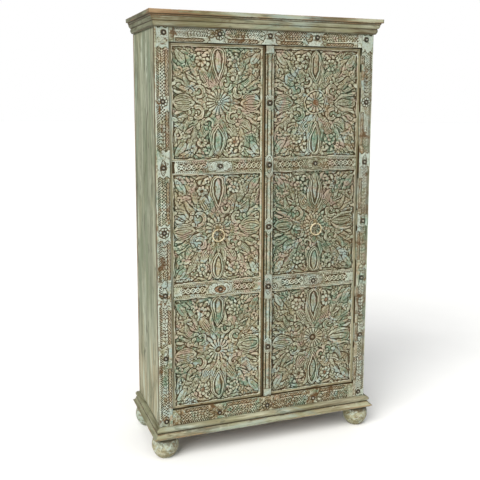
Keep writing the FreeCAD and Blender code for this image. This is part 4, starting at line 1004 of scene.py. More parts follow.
def carve_midrail(name, step=1.5):
    p = MIDRAILS[name]
    (x0, x1), (z0, z1) = p["x"], p["z"]
    R = Relief(grid_lines(x0, x1, step), grid_lines(z0, z1, step), -0.5, "mid" + name)
    X, Z = R.X, R.Z
    st = R.step
    zm, hz = (z0 + z1) / 2, (z1 - z0) / 2
    sx, sz = p["stud"]
    # thin beaded borders above and below
    for s in (-1, 1):
        zb = zm + s * (hz - 7.5)
        R.H = blendin(R.H, strokes(X, Z - zb, 8.0, -3.4, 3.1, lean=s * 0.8, width=12), 3.6 - np.abs(Z - zb), st)
    for lo, hi in p["fields"]:
        m, h = (lo + hi) / 2, (hi - lo) / 2
        cusp = 5.0 * np.cos(2 * math.pi * (Z - zm) / (2 * hz - 26))
        sd = np.minimum(h - np.abs(X - m) + cusp - 2, hz - 13.0 - np.abs(Z - zm))
        weave = np.maximum(guilloche(X - lo, Z - zm, 42.0, 10.8, 2.7, -4.4, 3.9, 3.0), guilloche(X - lo + 10.5, Z - zm, 42.0, 5.2, 2.2, -4.4, 3.2, 0.1))
        R.H = blendin(R.H, weave, sd, st)
        k = np.clip(sd / st + 0.5, 0, 1)
        R.T = R.T * (1 - k) + np.where(weave < -3.0, 0.9, 0.06) * k
        edge = np.abs(sd + 1.6) < 0.9
        R.H = np.where(edge, np.minimum(R.H, -1.6), R.H)
    for lo, hi in p["gaps"]:
        k = np.clip(np.minimum(X - lo, hi - X) / st + 0.5, 0, 1) * (np.abs(Z - zm) < hz - 3)
        R.H = R.H * (1 - k) - 6.0 * k
        R.T = R.T * (1 - k) + WOOD * k
    # the cartouche round the stud: pointed at both ends, with feathered leaves
    d = np.abs(X - sx)
    long_ = 50 if name.startswith("left") else 44
    hue = BLUE if name != "right_upper" else CREAM
    lob = 3.0 * np.cos(2 * math.pi * (Z - zm) / (2 * hz))
    bulge = (hz - 4.0) * np.sqrt(np.clip(1 - (d / (long_ + 14.0)) ** 2, 0, 1))
    sd = np.minimum(long_ + lob - d, bulge - np.abs(Z - zm))
    k = np.clip(sd / st + 0.5, 0, 1)
    g = 2.4 * np.exp(-((sd / 1.7) ** 2)) * (sd < 0)
    R.H = (R.H - g) * (1 - k) - 0.3 * k
    R.T = R.T * (1 - k) + hue * k
    R.H = R.H - 1.5 * np.exp(-(((sd - 4.5) / 1.2) ** 2))
    for s in (-1, 1):
        R.leaf([(sx + s * 10, zm), (sx + s * 26, zm + 1), (sx + s * (long_ - 4), zm)], 2 * hz - 20, -0.3, 0.55, 0.85, "vein", 5, groove=1.8, roll=2.0, drop=1.2, tint=hue, rib=1.3)
    if name == "left_lower":
        R.disc(sx, sz, 15, -0.9, WOOD, 1.8, 1.0, oval=1.5)
    elif name == "right_lower":
        boss(R, sx, sz, 18, 8, tint=hue)
    else:
        R.disc(sx, sz, 13, -0.2, hue, 1.4)
    if name == "right_lower":
        R.flower(33, 693, 14, 6, -0.4, 0.25, 0.2, 0.5, 0.2, BLUE, None, "dome", groove=2.0)
    R.shift(1.5, 17.0, 340 + len(name) + (7 if "right" in name else 0))
    R.shift(0.7, 6.5, 350 + len(name))
    d = np.minimum(np.minimum(X - x0, x1 - X), np.minimum(Z - z0, z1 - Z))
    R.H = R.H - 1.3 * (1 - smooth(0, 2.0, d))
    R.finish(0.3, 0.15, 2.2, 6.0)
    seat_flat(R, sx, sz)
    soil(R, sx, sz)
    return R


ASTRAGAL_STUDS = (1476, 1220, 958, 698, 430)


def carve_astragal(step=1.45):
    R = Relief(grid_lines(-17.5, 17.5, step), grid_lines(207.5, 1707.5, step), -1.0, "astragal")
    X, Z = R.X, R.Z
    st = R.step
    flare = smooth(1652, 1694, Z) + 1 - smooth(222, 252, Z)
    # a rounded middle between two cut lines, and a finely roped strip along each edge
    w = 7.2 + 4.0 * flare
    rope = strokes(Z, np.abs(X) - 14.2, 7.0, -1.9, 1.2, lean=0.8, width=9)
    hand = strokes(Z, 14.2 - np.abs(X), 7.0, -1.9, 1.2, lean=0.8, width=9)
    R.H = np.where(noise(Z, 0 * Z, 0 * Z, 160.0, 47) + 0.3 * np.sign(X) > 0, rope, hand)
    R.T = np.where(X < 0, 0.3, 0.06) * 1.0
    R.H = R.H - 3.0 * np.exp(-(((np.abs(X) - w - 2.0) / 1.35) ** 2))
    R.T = np.where(np.abs(np.abs(X) - w - 2.0) < 1.4, WOOD, R.T)
    bead = -0.2 - 2.2 * (1 - np.sqrt(np.clip(1 - (X / w) ** 2, 0, 1)))
    R.H = blendin(R.H, bead, w - np.abs(X), st)
    R.T = np.where(np.abs(X) < w, 0.66, R.T)
    plates = ((1515, 1440, 0.5), (1270, 1160, 0.9), (1005, 920, 1.1), (760, 635, 0.6), (475, 395, 0.7), (1707.5, 1676, 0), (238, 207.5, 0))
    for hi, lo, cut in plates:
        m, h = (hi + lo) / 2, (hi - lo) / 2
        sd = (h - np.abs(Z - m)) - cut * np.abs(X) - 2.0
        sd = np.where(cut > 0, sd, h - np.abs(Z - m))
        k = np.clip(sd / st + 0.5, 0, 1)
        g = 2.0 * np.exp(-((sd / 1.6) ** 2)) * (sd < 0)
        R.H = np.maximum(R.H - g, -7) * (1 - k) - 0.2 * k
        R.T = R.T * (1 - k) + BLUE * k
        if cut > 0:
            R.H = R.H - 1.4 * np.exp(-(((sd - 4.0) / 1.1) ** 2))
    for z in ASTRAGAL_STUDS:
        almond(R, 0, z, 34, 25, BLUE)
        R.disc(0, z, 11.5, -0.1, BLUE, 1.2)
    R.shift(0.8, 15.0, 361, 6.0)
    R.H = R.H - 1.2 * (1 - smooth(0, 1.6, 17.5 - np.abs(X)))
    R.finish(0.25, 0.12, 2.4, 6.0)
    for z in ASTRAGAL_STUDS:
        seat_flat(R, 0, z, 9.2)
        soil(R, 0, z)
    return R
# ---------------------------------------------------------------- meshes

MADE = []


def pack_charts(sizes, pad=0.004):
    """Places rectangles in the unit square on shelves, all at one scale. Returns the scale and each corner."""
    sizes = [(max(w, 1e-6), max(h, 1e-6)) for w, h in sizes]
    order = sorted(range(len(sizes)), key=lambda i: -sizes[i][1])

    def attempt(s):
        x = y = pad
        row = 0.0
        at = {}
        for i in order:
            w, h = sizes[i][0] * s, sizes[i][1] * s
            if x + w + pad > 1:
                x, y, row = pad, y + row + pad, 0.0
            if x + w + pad > 1 or y + h + pad > 1:
                return None
            at[i] = (x, y)
            x += w + pad
            row = max(row, h)
        return at

    lo, hi = 0.0, 2.0 / math.sqrt(sum(w * h for w, h in sizes))
    best = None
    for _ in range(34):
        m = (lo + hi) / 2
        got = attempt(m)
        if got is None:
            hi = m
        else:
            lo, best = m, (m, got)
    return best


def build(name, verts, quads=(), ngons=(), mats=(), mat_index=None, smooth=None, attrs=None, uv=None, body="carcass", slot=None, nodes=(), sharp=None):
    """A mesh object from arrays. verts in metres; uv holds one pair for each corner, quads first."""
    me = bpy.data.meshes.new(name)
    verts = np.asarray(verts, np.float32)
    quads = np.asarray(quads, np.int32).reshape(-1, 4)
    loops = [quads.ravel()] + [np.asarray(n, np.int32) for n in ngons]
    totals = np.r_[np.full(len(quads), 4, np.int32), np.array([len(n) for n in ngons], np.int32)].astype(np.int32)
    loops = np.concatenate(loops) if loops else np.zeros(0, np.int32)
    me.vertices.add(len(verts))
    me.vertices.foreach_set("co", verts.ravel())
    me.loops.add(len(loops))
    me.loops.foreach_set("vertex_index", loops.astype(np.int32))
    me.polygons.add(len(totals))
    starts = np.r_[0, np.cumsum(totals)[:-1]].astype(np.int32)
    me.polygons.foreach_set("loop_start", starts)
    for m in mats:
        me.materials.append(m)
    if mat_index is not None:
        me.polygons.foreach_set("material_index", np.asarray(mat_index, np.int32))
    me.update(calc_edges=True)
    me.validate(clean_customdata=False)
    if smooth is None:
        smooth = np.ones(len(totals), bool)
    me.polygons.foreach_set("use_smooth", np.asarray(smooth, bool))
    for key, values in (attrs or {}).items():
        a = me.attributes.new(key, "FLOAT", "POINT")
        a.data.foreach_set("value", np.asarray(values, np.float32).ravel())
    if uv is not None:
        layer = me.uv_layers.new(name="OFBake")
        layer.data.foreach_set("uv", np.asarray(uv, np.float32).ravel())
    me.update()
    ob = bpy.data.objects.new(name, me)
    bpy.context.scene.collection.objects.link(ob)
    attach(ob, body)
    if nodes:
        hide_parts(*nodes)
    MADE.append(ob)
    return ob


def grid_quads(nr, nc, flip=False, first=0):
    i = np.arange(nr - 1)[:, None] * nc + np.arange(nc - 1)[None, :] + first
    q = np.stack([i, i + 1, i + nc + 1, i + nc], -1).reshape(-1, 4)
    return q[:, ::-1] if flip else q


def relief_object(name, R, face, back, body, slot, mats, nodes, rim_painted_shade=0.45, rim_tint=0.9):
    """A carved board: the relief in front, thin edges, and a flat back. face and back are distances in mm along -y."""
    nz, nx = R.X.shape
    front = np.stack([R.X, -(face + R.H), R.Z], -1).reshape(-1, 3)
    edge = np.r_[np.arange(nx), np.arange(1, nz) * nx + nx - 1, (nz - 1) * nx + np.arange(nx - 2, -1, -1), np.arange(nz - 2, 0, -1) * nx]
    n0 = len(front)
    rim = front[edge].copy()
    rim[:, 1] = -back
    V = np.vstack([front, rim])
    m = len(edge)
    q_front = grid_quads(nz, nx)
    k = np.arange(m)
    k2 = (k + 1) % m
    q_edge = np.stack([edge[k], n0 + k, n0 + k2, edge[k2]], -1)
    # the back: one long face for each row, and the first and last rows with every edge point of their sides
    bottom = n0 + np.arange(nx)
    right = n0 + nx - 1 + np.arange(nz)
    top = n0 + nx - 1 + nz - 1 + np.arange(nx)
    left = n0 + np.r_[0, m - np.arange(1, nz)]
    q_back = np.stack([left[1:-2], left[2:-1], right[2:-1], right[1:-2]], -1)
    n_low = np.r_[left[1], right[1], bottom[::-1]]
    n_up = np.r_[right[-2], left[-2], left[-1], top[::-1][1:-1], right[-1]]
    quads = np.vstack([q_front, q_edge, q_back])
    ngons = [n_low, n_up]
    nf, ne, nb = len(q_front), len(q_edge), len(q_back)
    smooth = np.r_[np.ones(nf, bool), np.zeros(ne + nb + 2, bool)]
    mi = np.r_[np.zeros(nf + ne, int), np.full(nb + 2, 1 if len(mats) > 1 else 0)]
    # charts: the front in lengths, the back, and the four edges
    W, Hh = R.xs[-1] - R.xs[0], R.zs[-1] - R.zs[0]
    horizontal = W > Hh
    long, short = max(W, Hh), min(W, Hh)
    parts = max(1, int(round(math.sqrt(long / short) * 1.0))) if long / short > 2 else 1
    sizes = []
    cut = np.linspace(0, (nx if horizontal else nz) - 1, parts + 1).astype(int)
    axis = R.xs if horizontal else R.zs
    for p in range(parts):
        ln = axis[cut[p + 1]] - axis[cut[p]]
        sizes.append((ln, short) if horizontal else (short, ln))
    bp = 1 if horizontal else max(1, parts // 2)
    bs = 0.4
    for p in range(bp):
        sizes.append((long / bp * bs, short * bs) if horizontal else (short * bs, long / bp * bs))
    depth = face - back
    nstrip = max(1, int(round(2 * (W + Hh) / 600)))
    for p in range(nstrip):
        sizes.append((2 * (W + Hh) / nstrip + 2, depth))
    s, at = pack_charts(sizes)
    x0, z0 = R.xs[0], R.zs[0]
    # front
    row, col = np.divmod(np.arange(nf), nx - 1)
    along = col if horizontal else row
    seg = np.clip(np.searchsorted(cut, along, side="right") - 1, 0, parts - 1)
    org = np.array([at[p] for p in range(parts)])[seg]
    base = axis[cut[seg]]
    fx = front[q_front][:, :, 0]
    fz = front[q_front][:, :, 2]
    if horizontal:
        uvf = np.stack([org[:, 0:1] + (fx - base[:, None]) * s, org[:, 1:2] + (fz - z0) * s], -1)
    else:
        uvf = np.stack([org[:, 0:1] + (fx - x0) * s, org[:, 1:2] + (fz - base[:, None]) * s], -1)
    # edges
    per = np.r_[0, np.cumsum(np.hypot(*np.diff(np.vstack([rim[:, [0, 2]], rim[:1, [0, 2]]]), axis=0).T))]
    total = per[-1]
    step_len = total / nstrip
    sg = np.clip((per[:-1] / step_len).astype(int), 0, nstrip - 1)
    first_k = np.array([np.argmax(sg == p) for p in range(nstrip)])
    org = np.array([at[parts + bp + p] for p in range(nstrip)])[sg]
    u0, u1 = per[:-1] - per[first_k[sg]], per[1:] - per[first_k[sg]]
    top_v = np.full(m, depth * 0.999)
    uve = np.stack([
        np.stack([org[:, 0] + u0 * s, org[:, 1] + top_v * s], -1),
        np.stack([org[:, 0] + u0 * s, org[:, 1]], -1),
        np.stack([org[:, 0] + u1 * s, org[:, 1]], -1),
        np.stack([org[:, 0] + u1 * s, org[:, 1] + top_v * s], -1)], 1)

    def back_uv(idx):
        x, z = V[idx][:, 0], V[idx][:, 2]
        c = (x.mean() if horizontal else z.mean())
        a0, span_ = (x0, W) if horizontal else (z0, Hh)
        p = int(np.clip((c - a0) / span_ * bp, 0, bp - 1))
        ox, oz = at[parts + p]
        if horizontal:
            return np.stack([ox + (x - x0 - p * W / bp) * s * bs, oz + (z - z0) * s * bs], -1)
        return np.stack([ox + (x - x0) * s * bs, oz + (z - z0 - p * Hh / bp) * s * bs], -1)

    uvb = np.array([back_uv(q) for q in q_back]) if len(q_back) else np.zeros((0, 4, 2))
    uvn = [back_uv(n) for n in ngons]
    uv = np.vstack([uvf.reshape(-1, 2), uve.reshape(-1, 2), uvb.reshape(-1, 2)] + uvn)
    z = np.zeros(m)
    # the rim points get a cav value that darkens the side faces: painted shade
    attrs = {
        "cav": np.r_[R.cav.ravel(), z + rim_painted_shade],
        "fine": np.r_[R.fine.ravel(), z],
        "high": np.r_[R.high.ravel(), z + 0.1],
        "tint": np.r_[R.T.ravel(), z + rim_tint],
    }
    return build(name, V / 1000.0, quads, ngons, mats, mi, smooth, attrs, uv, body, slot, nodes)


def rounded_box(lo, hi, r=1.2, step=40.0, wave=0.25, seed=0, lines=()):
    """Verts, quads and per-vertex edge wear of a box with soft worn edges, in mm; lines adds grid lines (axis, place)."""
    lo, hi = np.array(lo, float), np.array(hi, float)
    r = min(r, 0.24 * float((hi - lo).min()))

    def ticks(ax):
        a, b = lo[ax], hi[ax]
        n = max(1, int(round((b - a - 2 * r) / step)))
        t = list(np.linspace(a + r, b - r, n + 1))
        t = [a, a + 0.29 * r, a + 0.62 * r] + t + [b - 0.62 * r, b - 0.29 * r, b]
        t += [v for x, v in lines if x == ax]
        return np.array(sorted(set(np.round(t, 4))))

    T = [ticks(k) for k in range(3)]
    index, V = {}, []

    def vid(p):
        key = tuple(np.round(p, 3))
        if key not in index:
            index[key] = len(V)
            V.append(p)
        return index[key]

    quads, side = [], []
    for ax in range(3):
        b, c = [k for k in range(3) if k != ax]
        for s, val in ((0, lo[ax]), (1, hi[ax])):
            ids = np.empty((len(T[b]), len(T[c])), int)
            for i, u in enumerate(T[b]):
                for j, v in enumerate(T[c]):
                    p = [0.0, 0.0, 0.0]
                    p[ax], p[b], p[c] = val, u, v
                    ids[i, j] = vid(tuple(p))
            q = np.stack([ids[:-1, :-1], ids[1:, :-1], ids[1:, 1:], ids[:-1, 1:]], -1).reshape(-1, 4)
            if (s == 0) != (ax == 1):
                q = q[:, ::-1]
            quads.append(q)
            side += [ax * 2 + s] * len(q)
    V = np.array(V)
    inner = np.clip(V, lo + r, hi - r)
    d = V - inner
    L = np.linalg.norm(d, axis=1)[:, None]
    V2 = inner + r * d / np.maximum(L, 1e-9)
    nrm = d / np.maximum(L, 1e-9)
    w = noise(V2[:, 0], V2[:, 1], V2[:, 2], 90.0, seed) * wave - wave
    V2 = V2 + nrm * w[:, None]
    many = (np.abs(d) > 1e-6).sum(1)
    wear = np.clip((many - 1) * 1.0, 0, 1) * (0.6 + 0.4 * noise(V2[:, 0], V2[:, 1], V2[:, 2], 25.0, seed + 5))
    return V2, np.vstack(quads), wear, np.array(side)


def box_uv(V, quads, side):
    """Six flat charts for a box-like mesh."""
    sizes, lows = [], []
    for k in range(6):
        b, c = [a for a in range(3) if a != k // 2]
        P = V[quads[side == k].ravel()]
        lo = P[:, [b, c]].min(0)
        hi = P[:, [b, c]].max(0)
        sizes.append(tuple(hi - lo))
        lows.append(lo)
    # long charts are turned upright so that they share shelves
    turned = [w > h for w, h in sizes]
    s, at = pack_charts([(h, w) if t else (w, h) for (w, h), t in zip(sizes, turned)])
    uv = np.zeros((len(quads), 4, 2))
    for k in range(6):
        b, c = [a for a in range(3) if a != k // 2]
        q = side == k
        P = V[quads[q]][:, :, [b, c]] - lows[k]
        if turned[k]:
            P = P[:, :, ::-1]
        uv[q] = np.array(at[k]) + P * s
    return uv.reshape(-1, 2)


def board(name, mats, body, slot, nodes=(), lo=None, hi=None, r=1.2, step=60.0, wave=0.25, seed=None, trim=0.0, lines=(), move=None):
    """A board with soft edges in the place of a box-shaped node."""
    if lo is None:
        a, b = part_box(nodes[0])
        lo, hi = np.array(a) * 1000, np.array(b) * 1000
    seed = int(rng("board", name).integers(1, 99999)) if seed is None else seed
    V, q, wear, side = rounded_box(lo, hi, r, step, wave, seed, lines)
    if move is not None:
        V = move(V)
    z = np.zeros(len(V))
    attrs = {"cav": z, "fine": -wear, "high": wear, "tint": z, "wear": wear}
    return build(name, V / 1000.0, q, (), mats, None, None, attrs, box_uv(V, q, side), body, slot, nodes)
# ---------------------------------------------------------------- mouldings, boards, feet and fittings


def arc_through(p0, pm, p1, n=7):
    """Points of the circle through three points, from p0 to p1."""
    (ax, ay), (bx, by), (cx, cy) = p0, pm, p1
    d = 2 * (ax * (by - cy) + bx * (cy - ay) + cx * (ay - by))
    ux = ((ax**2 + ay**2) * (by - cy) + (bx**2 + by**2) * (cy - ay) + (cx**2 + cy**2) * (ay - by)) / d
    uy = ((ax**2 + ay**2) * (cx - bx) + (bx**2 + by**2) * (ax - cx) + (cx**2 + cy**2) * (bx - ax)) / d
    r = math.hypot(ax - ux, ay - uy)
    t0, tm, t1 = (math.atan2(y - uy, x - ux) for x, y in (p0, pm, p1))

    def after(t):
        return (t - t0) % (2 * math.pi)

    if after(tm) < after(t1):
        sweep = after(t1)
    else:
        sweep = after(t1) - 2 * math.pi
    return [(ux + r * math.cos(t0 + sweep * k / n), uy + r * math.sin(t0 + sweep * k / n)) for k in range(1, n + 1)]


# outer profiles: (distance in from the widest line, height below the top), from the back of the top round the front
CORNICE = [(60, 0), (0, 0), (0, -17), (8, -17.6), (8, -22), (11, -24.5)] + arc_through((11, -24.5), (12.6, -33.5), (17.5, -40), 9) + [(20.5, -40.5)] + arc_through(
    (20.5, -40.5), (18.6, -50.5), (24, -61), 9) + [(24, -63), (75, -63), (75, -18), (60, -18)]
PLINTH = [(22, 0)] + arc_through((22, 0), (11.6, -10), (20, -20), 10) + [(19.5, -22.5), (14, -24.5)] + arc_through((14, -24.5), (10.5, -33.5), (1.5, -37), 8) + [
    (0, -38), (0, -41), (8, -48), (80, -48), (80, 0)]


def soften(profile, r=1.1, longest=7.0):
    """Rounds each sharp corner of a closed profile a little and divides its long sides."""
    P = np.array(profile, float)
    n = len(P)
    out, wear = [], []
    for i in range(n):
        a, b, c = P[i - 1], P[i], P[(i + 1) % n]
        u, v = a - b, c - b
        lu, lv = np.hypot(*u), np.hypot(*v)
        cosang = float(u @ v / (lu * lv))
        turn = math.pi - math.acos(max(-1, min(1, cosang)))
        convex = (b - a)[0] * (c - b)[1] - (b - a)[1] * (c - b)[0]
        if turn > math.radians(24):
            k = min(r * math.tan(turn / 2), 0.42 * lu, 0.42 * lv)
            p, q = b + u / lu * k, b + v / lv * k
            for t in (0, 0.5, 1):
                out.append((1 - t) ** 2 * p + 2 * t * (1 - t) * b + t * t * q)
                wear.append(1.0 if convex > 0 else -0.7)
        else:
            out.append(b)
            wear.append(0.0)
    O, W = [], []
    m = len(out)
    for i in range(m):
        a, b = out[i], out[(i + 1) % m]
        O.append(a)
        W.append(wear[i])
        L = np.hypot(*(b - a))
        k = int(L // longest)
        for t in range(1, k + 1):
            O.append(a + (b - a) * t / (k + 1))
            W.append(0.0)
    return np.array(O), np.array(W)


def moulding(name, profile, kind, half, z_top, mats, slot, nodes, key, rubbed=()):
    """One run of a moulding, mitred to its neighbours. kind is front, left or right; half = half the width at the widest."""
    pr, wr = soften(profile)
    ori = np.sum(pr[:, 0] * np.roll(pr[:, 1], -1) - np.roll(pr[:, 0], -1) * pr[:, 1])
    if ori < 0:
        wr = -wr
        # convex corners were counted against the direction of travel
    d, dz = pr[:, 0], pr[:, 1]
    n = len(pr)
    depth_half = 220.0
    L = 2 * half if kind == "front" else 440.0
    ns = int(L / 7.0)
    s = np.linspace(0, 1, ns + 1)
    V = np.zeros((ns + 1, n, 3))
    for i, t in enumerate(s):
        if kind == "front":
            V[i, :, 0] = -(half - d) + t * 2 * (half - d)
            V[i, :, 1] = -(depth_half if half > 505 else 210.0) + d
        else:
            sg = -1 if kind == "left" else 1
            front = -(depth_half if half > 505 else 210.0) + d
            V[i, :, 0] = sg * (half - d)
            V[i, :, 1] = front + t * (220.0 - front)
        V[i, :, 2] = z_top + dz
    # outward normals of the profile, in the section
    e = np.roll(pr, -1, 0) - np.roll(pr, 1, 0)
    nr = np.stack([e[:, 1], -e[:, 0]], -1)
    nr /= np.maximum(np.hypot(nr[:, 0], nr[:, 1]), 1e-9)[:, None]
    if ori < 0:
        nr = -nr
    X, Y, Z = V[..., 0], V[..., 1], V[..., 2]
    depth = 0.42 * (1 + fbm(X, Y, Z, (55, 55, 30), key, 2)) + 0.22 * (1 + noise(X, Y, Z, (14, 14, 6), key + 7))
    # dents along the arrises
    dent = np.clip(fbm(X, Y, Z * 0.3, (19, 19, 19), key + 3, 2) - 0.42, 0, 1) * 6.0 * np.clip(wr, 0, 1)[None, :]
    depth = depth + dent
    back = (d > 58) | ((dz > -0.5) & (d > 50))
    depth = np.where(back[None, :], 0.0, depth)
    out_d = nr[:, 0][None, :] * depth  # outward d is negative, so moving in adds to it
    out_z = nr[:, 1][None, :] * depth
    if kind == "front":
        V[..., 1] -= out_d * 1.0
        V[..., 2] -= out_z
        V[..., 1] = np.maximum(V[..., 1], V[..., 1])
    else:
        sg = -1 if kind == "left" else 1
        V[..., 0] += sg * out_d
        V[..., 2] -= out_z
    flat = V.reshape(-1, 3)
    q = []
    k = np.arange(n)
    k2 = (k + 1) % n
    for i in range(ns):
        q.append(np.stack([i * n + k, i * n + k2, (i + 1) * n + k2, (i + 1) * n + k], -1))
    q = np.vstack(q)
    # orient outward
    a, b, c = flat[q[0, 0]], flat[q[0, 1]], flat[q[0, 3]]
    cen = flat.mean(0)
    vol = 0.0
    P = flat[q]
    vol = np.einsum("ij,ij->i", P[:, 0] - cen, np.cross(P[:, 1] - cen, P[:, 2] - cen)).sum() + np.einsum("ij,ij->i", P[:, 0] - cen, np.cross(P[:, 2] - cen, P[:, 3] - cen)).sum()
    flip = vol < 0
    if flip:
        q = q[:, ::-1]
    cap0, cap1 = np.arange(n), ns * n + np.arange(n)
    ngons = [cap0 if flip else cap0[::-1], cap1[::-1] if flip else cap1]
    wear = np.broadcast_to(np.clip(wr, 0, 1)[None, :], (ns + 1, n)) * (0.75 + 0.5 * noise(X, Y, Z, (40, 40, 40), key + 9))
    for (cx_, cy_, cz_, rad, amt) in rubbed:
        wear = wear + amt * np.exp(-(((X - cx_) / rad[0]) ** 2 + ((Y - cy_) / rad[1]) ** 2 + ((Z - cz_) / rad[2]) ** 2))
    cav = np.broadcast_to(np.clip(-wr, 0, 1)[None, :], (ns + 1, n)) * 1.0
    cav = cav * 1.0
    # charts: the run unrolled, in lengths
    per = np.r_[0, np.cumsum(np.hypot(*np.diff(np.vstack([pr, pr[:1]]), axis=0).T))]
    parts = max(1, int(round(math.sqrt(L / per[-1]))))
    cut = np.linspace(0, ns, parts + 1).astype(int)
    sizes = [((cut[p + 1] - cut[p]) * L / ns, per[-1]) for p in range(parts)] + [(80, 64), (80, 64)]
    sc, at = pack_charts(sizes)
    uv = []
    for i in range(ns):
        p = int(np.clip(np.searchsorted(cut, i, side="right") - 1, 0, parts - 1))
        ox, oz = at[p]
        u0, u1 = (i - cut[p]) * L / ns, (i + 1 - cut[p]) * L / ns
        row = np.stack([
            np.stack([np.full(n, ox + u0 * sc), oz + per[:-1] * sc], -1),
            np.stack([np.full(n, ox + u0 * sc), oz + per[1:] * sc], -1),
            np.stack([np.full(n, ox + u1 * sc), oz + per[1:] * sc], -1),
            np.stack([np.full(n, ox + u1 * sc), oz + per[:-1] * sc], -1)], 1)
        uv.append(row[:, ::-1] if flip else row)
    uv = np.vstack(uv).reshape(-1, 2)
    caps = []
    for kx, ng in enumerate(ngons):
        ox, oz = at[parts + kx]
        dd, zz = pr[np.asarray(ng) % n, 0], pr[np.asarray(ng) % n, 1]
        caps.append(np.stack([ox + dd * sc, oz + (zz - pr[:, 1].min()) * sc], -1))
    uv = np.vstack([uv] + caps)
    smooth = np.r_[np.ones(len(q), bool), False, False]
    attrs = {"wear": wear.ravel(), "cav": cav.ravel(), "high": np.clip(wear.ravel(), 0, 1), "fine": -wear.ravel(), "tint": np.zeros(len(flat))}
    return build(name, flat / 1000.0, q, ngons, mats, None, smooth, attrs, uv, "carcass", slot, nodes)


